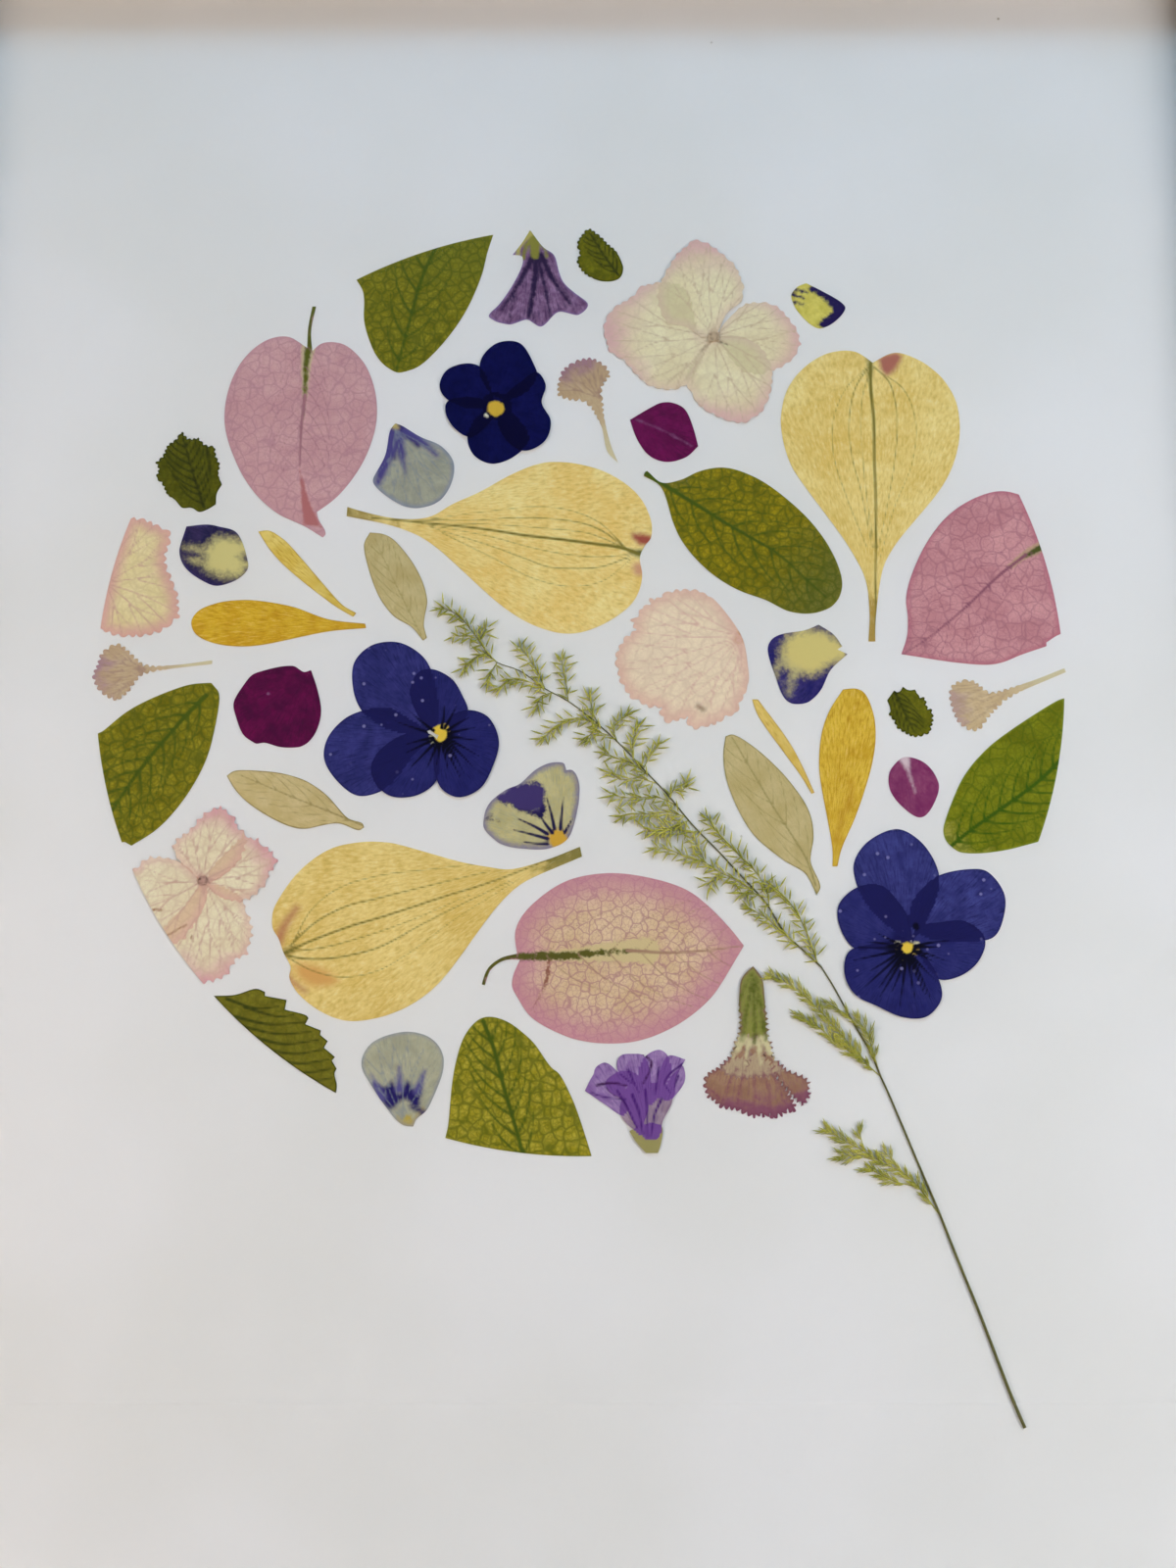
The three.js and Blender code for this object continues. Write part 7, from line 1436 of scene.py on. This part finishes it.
CULM = points("""83.6,-149 82.5,-146.3 81,-142.4 76.2,-128.7 71.6,-116.4 69.2,-109.8 65.3,-99.9
    60.2,-86.9 58.6,-83.1 57,-78.9 53.5,-72.5 49.9,-65.5 47.6,-61.6""")

GRASSES = (
    Grass("grass_stem", STEM_TWIGS, spikelet=3.2, spacing=0.95, start_at=2.0, spread=0.4, seed=3,
          stem=CULM, stem_radius=0.27),
    Grass("grass_panicle_upper", UPPER_TWIGS, spikelet=2.8, spacing=0.85, start_at=0.3, spread=0.85, seed=5,
          stem=RACHIS, stem_radius=0.15),
    Grass("grass_branch_middle", MIDDLE_TWIGS, spikelet=2.9, spacing=0.75, start_at=1.8, spread=0.5, seed=7),
    Grass("grass_branch_low", LOW_TWIGS, spikelet=2.9, spacing=0.75, start_at=2.4, spread=0.5, seed=9),
)


# Frame, board and glass

def oak_finish() -> bpy.types.Material:
    """Light oak with a satin oil finish: long grain, darker pores and slow colour changes."""
    g = Graph("satin oak")
    place = g.place()
    # The grain runs along each rail: a spot nearer to the frame's side than to its end is on an upright.
    half_width, half_height, middle_below_origin = 154.5, 193.0, 185.0
    split = g.add("ShaderNodeSeparateXYZ", {0: place})
    from_side = g.math("SUBTRACT", half_width, g.math("ABSOLUTE", split.outputs[0]))
    from_middle = g.math("ABSOLUTE", g.math("ADD", split.outputs[2], middle_below_origin))
    upright = g.math("LESS_THAN", from_side, g.math("SUBTRACT", half_height, from_middle))
    tall = g.scaled(place, 0.55, 0.55, 0.035)
    wide = g.scaled(place, 0.035, 0.55, 0.55)
    grain = g.add("ShaderNodeMix", {0: upright, 4: wide, 5: tall}, data_type="VECTOR").outputs[1]
    rings = g.noise(grain, 0.55, 5.0, 0.6, 0.6)
    pores = g.noise(grain, 3.2, 3.0, 0.7)
    g.colour = g.mix(g.step(rings, 0.3, 0.7), "b8905c", "d3b184")
    g.cover(g.step(pores, 0.56, 0.74, 0.0, 0.55), "86602f")
    g.cover(g.step(g.noise(place, 0.012, 2.0), 0.35, 0.7, 0.0, 0.3), "a87c48")
    worn = g.step(g.add("ShaderNodeNewGeometry").outputs["Pointiness"], 0.5, 0.62, 0.0, 0.3)
    g.cover(worn, "e0c79c")
    rough = g.step(pores, 0.3, 0.8, 0.42, 0.6)
    g.relief = g.math("MULTIPLY", pores, -0.15)
    return g.surface(rough, 0.25, Coat_Weight=0.08, Coat_Roughness=0.35)


def board_finish() -> bpy.types.Material:
    """Matt white mount board: faint paper fibres and a few specks of plant dust and glue."""
    g = Graph("white mount board")
    place = g.place()
    pulp = g.noise(place, 1.1, 5.0, 0.7)
    cloud = g.noise(place, 0.015, 2.0)
    g.colour = g.mix(g.step(cloud, 0.35, 0.65), "ebe9e4", "efedea")
    g.cover(g.step(pulp, 0.55, 0.8, 0.0, 0.15), "dfdcd4")
    spots = g.add("ShaderNodeTexVoronoi", {"Vector": place, "Scale": 0.05, "Randomness": 1.0})
    g.cover(g.step(spots.outputs["Distance"], 0.022, 0.008, 0.0, 0.7), "8c8468")
    g.relief = g.math("MULTIPLY", pulp, 0.02)
    return g.surface(0.85, 0.04, Specular_IOR_Level=0.1)


def backing_finish() -> bpy.types.Material:
    """Brown hardboard: pressed fibres, smooth side out."""
    g = Graph("brown hardboard")
    place = g.place()
    fibre = g.noise(place, 0.9, 6.0, 0.75, 1.2)
    g.colour = g.mix(g.step(fibre, 0.3, 0.7), "5c3f26", "82603c")
    g.cover(g.step(g.noise(place, 3.0, 2.0), 0.62, 0.75, 0.0, 0.6), "a5865c")
    g.relief = g.math("MULTIPLY", fibre, 0.2)
    return g.surface(g.step(fibre, 0.3, 0.7, 0.5, 0.7))


def steel_finish(name: str, colour: str, scratched: float) -> bpy.types.Material:
    """Thin rolled steel: fine rolling lines, dull patches, brighter scratches."""
    g = Graph(name)
    place = g.place()
    lines = g.noise(g.scaled(place, 0.4, 4.0, 4.0), 1.0, 4.0, 0.7)
    dull = g.noise(place, 0.35, 3.0)
    g.colour = g.mix(g.step(dull, 0.35, 0.7, 0.0, 0.4), colour, "6f6a62")
    g.cover(g.step(lines, 0.6, 0.8, 0.0, scratched), "d5d3ce")
    g.relief = g.math("MULTIPLY", lines, 0.06)
    return g.surface(g.step(lines, 0.3, 0.8, 0.3, 0.5), 0.2, Metallic=1.0)


def glass_finish() -> bpy.types.Material:
    """Clear picture glass that casts no shadow, so that the lights reach the flowers."""
    g = Graph("picture glass")
    glass = g.add("ShaderNodeBsdfPrincipled", {"Base Color": linear("ffffff"), "Roughness": 0.0, "IOR": 1.5,
                                               "Transmission Weight": 1.0})
    clear = g.add("ShaderNodeBsdfTransparent")
    shadow = g.add("ShaderNodeLightPath").outputs["Is Shadow Ray"]
    both = g.add("ShaderNodeMixShader", {0: shadow, 1: glass.outputs[0], 2: clear.outputs[0]})
    g.material.node_tree.links.new(both.outputs[0], g.output.inputs[0])
    return g.material


class Housing:
    """The frame's own solids, which keep their shape and get their finishes."""

    def build(self) -> None:
        """Assigns a material to each kept solid."""
        oak = oak_finish()
        spring = steel_finish("dull spring steel", "7d7b78", 0.25)
        finishes = {"glass_pane": glass_finish(), "mount_board": board_finish(),
                    "backing_board": backing_finish(),
                    "sawtooth_hanger": steel_finish("zinc plated steel", "a5a29a", 0.4)}
        for side in ("top", "right", "bottom", "left"):
            finishes[f"rail_{side}"] = oak
            finishes[f"flexible_tab_{side}"] = spring
        for node, finish in finishes.items():
            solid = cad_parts[node]
            solid.data.materials.clear()
            solid.data.materials.append(finish)
            log.info("finished %s", node)


# Stage

@dataclass(frozen=True)
class SoftLight:
    """One soft box: where it is, what it points at and its size, in metres, and its strength."""

    name: str
    place: tuple[float, float, float]
    target: tuple[float, float, float]
    size: tuple[float, float]
    watts: float
    colour: str

    def build(self) -> None:
        """Adds the area light."""
        data = bpy.data.lights.new(self.name, "AREA")
        data.shape = "RECTANGLE"
        data.size, data.size_y = self.size
        data.energy = self.watts
        data.color = linear(self.colour)[:3]
        light = bpy.data.objects.new(self.name, data)
        light.location = self.place
        light.rotation_euler = (Vector(self.target) - Vector(self.place)).to_track_quat("-Z", "Y").to_euler()
        bpy.context.scene.collection.objects.link(light)


@dataclass(frozen=True)
class Studio:
    """Floor, lights and camera, in metres; the lens and the sensor are in mm."""

    distance: float = 0.4562
    tilt: float = math.radians(14)
    target: tuple[float, float, float] = (0.0016, -0.01045, -0.1912)
    lens: float = 52
    sensor: tuple[float, float] = (27, 36)
    nearest: float = 0.01
    floor_size: float = 3.0
    floor_gap: float = 0.0005

    def build(self) -> None:
        """Builds the whole stage."""
        self.floor()
        self.world()
        for light in (
            SoftLight("overhead", (0.03, -0.6, 0.7), (0.0, -0.01, -0.12), (0.6, 0.3), 2.45, "9cd6ff"),
            SoftLight("low right", (0.5, -0.42, -0.27), (0.05, -0.01, -0.36), (0.3, 0.2), 1.38, "fbf9fa"),
            SoftLight("low left", (-0.5, -0.42, -0.27), (-0.05, -0.01, -0.36), (0.3, 0.2), 1.22, "fdebdc"),
            SoftLight("back fill", (0.5, 1.2, 0.2), (0.0, 0.0, -0.2), (1.2, 1.2), 12.0, "ffffff"),
        ):
            light.build()
        self.camera()

    def floor(self) -> None:
        """Adds a pale floor under the frame."""
        mesh = bmesh.new()
        bmesh.ops.create_grid(mesh, x_segments=2, y_segments=2, size=self.floor_size)
        data = bpy.data.meshes.new("floor")
        mesh.to_mesh(data)
        mesh.free()
        data.transform(Matrix.Translation((0, 0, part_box("rail_bottom")[0].z - self.floor_gap)))
        g = Graph("pale studio floor")
        place = g.add("ShaderNodeTexCoord").outputs["Object"]
        g.colour = g.mix(g.noise(place, 3.0, 2.0), "d6d5d2", "dddcda")
        data.materials.append(g.surface(0.8))
        floor = bpy.data.objects.new("floor", data)
        bpy.context.scene.collection.objects.link(floor)

    def world(self) -> None:
        """Sets an even pale surround."""
        world = bpy.data.worlds.new("studio")
        world.use_nodes = True
        back = world.node_tree.nodes["Background"]
        back.inputs["Color"].default_value = linear("dfe3e8")
        back.inputs["Strength"].default_value = 0.03
        bpy.context.scene.world = world

    def camera(self) -> None:
        """Places the camera in front of the picture, looking slightly up at it."""
        ahead = Vector((0, math.cos(self.tilt), math.sin(self.tilt)))
        data = bpy.data.cameras.new("camera")
        data.sensor_fit = "VERTICAL"
        data.sensor_width, data.sensor_height = self.sensor
        data.lens = self.lens
        data.clip_start = self.nearest
        camera = bpy.data.objects.new("camera", data)
        camera.location = Vector(self.target) - ahead * self.distance
        camera.rotation_euler = ahead.to_track_quat("-Z", "Y").to_euler()
        bpy.context.scene.collection.objects.link(camera)
        bpy.context.scene.camera = camera


def main() -> None:
    """Builds every piece in order."""
    logging.basicConfig(level=logging.INFO)
    Housing().build()
    for specimen in leaves() + bracts_and_tepals() + loose_petals() + flowers():
        specimen.build()
    straw = grass_finish()
    for grass in GRASSES:
        grass.build(straw)
    bpy.context.scene.view_settings.view_transform = "Standard"
    Studio().build()


if __name__ == "__main__":
    main()
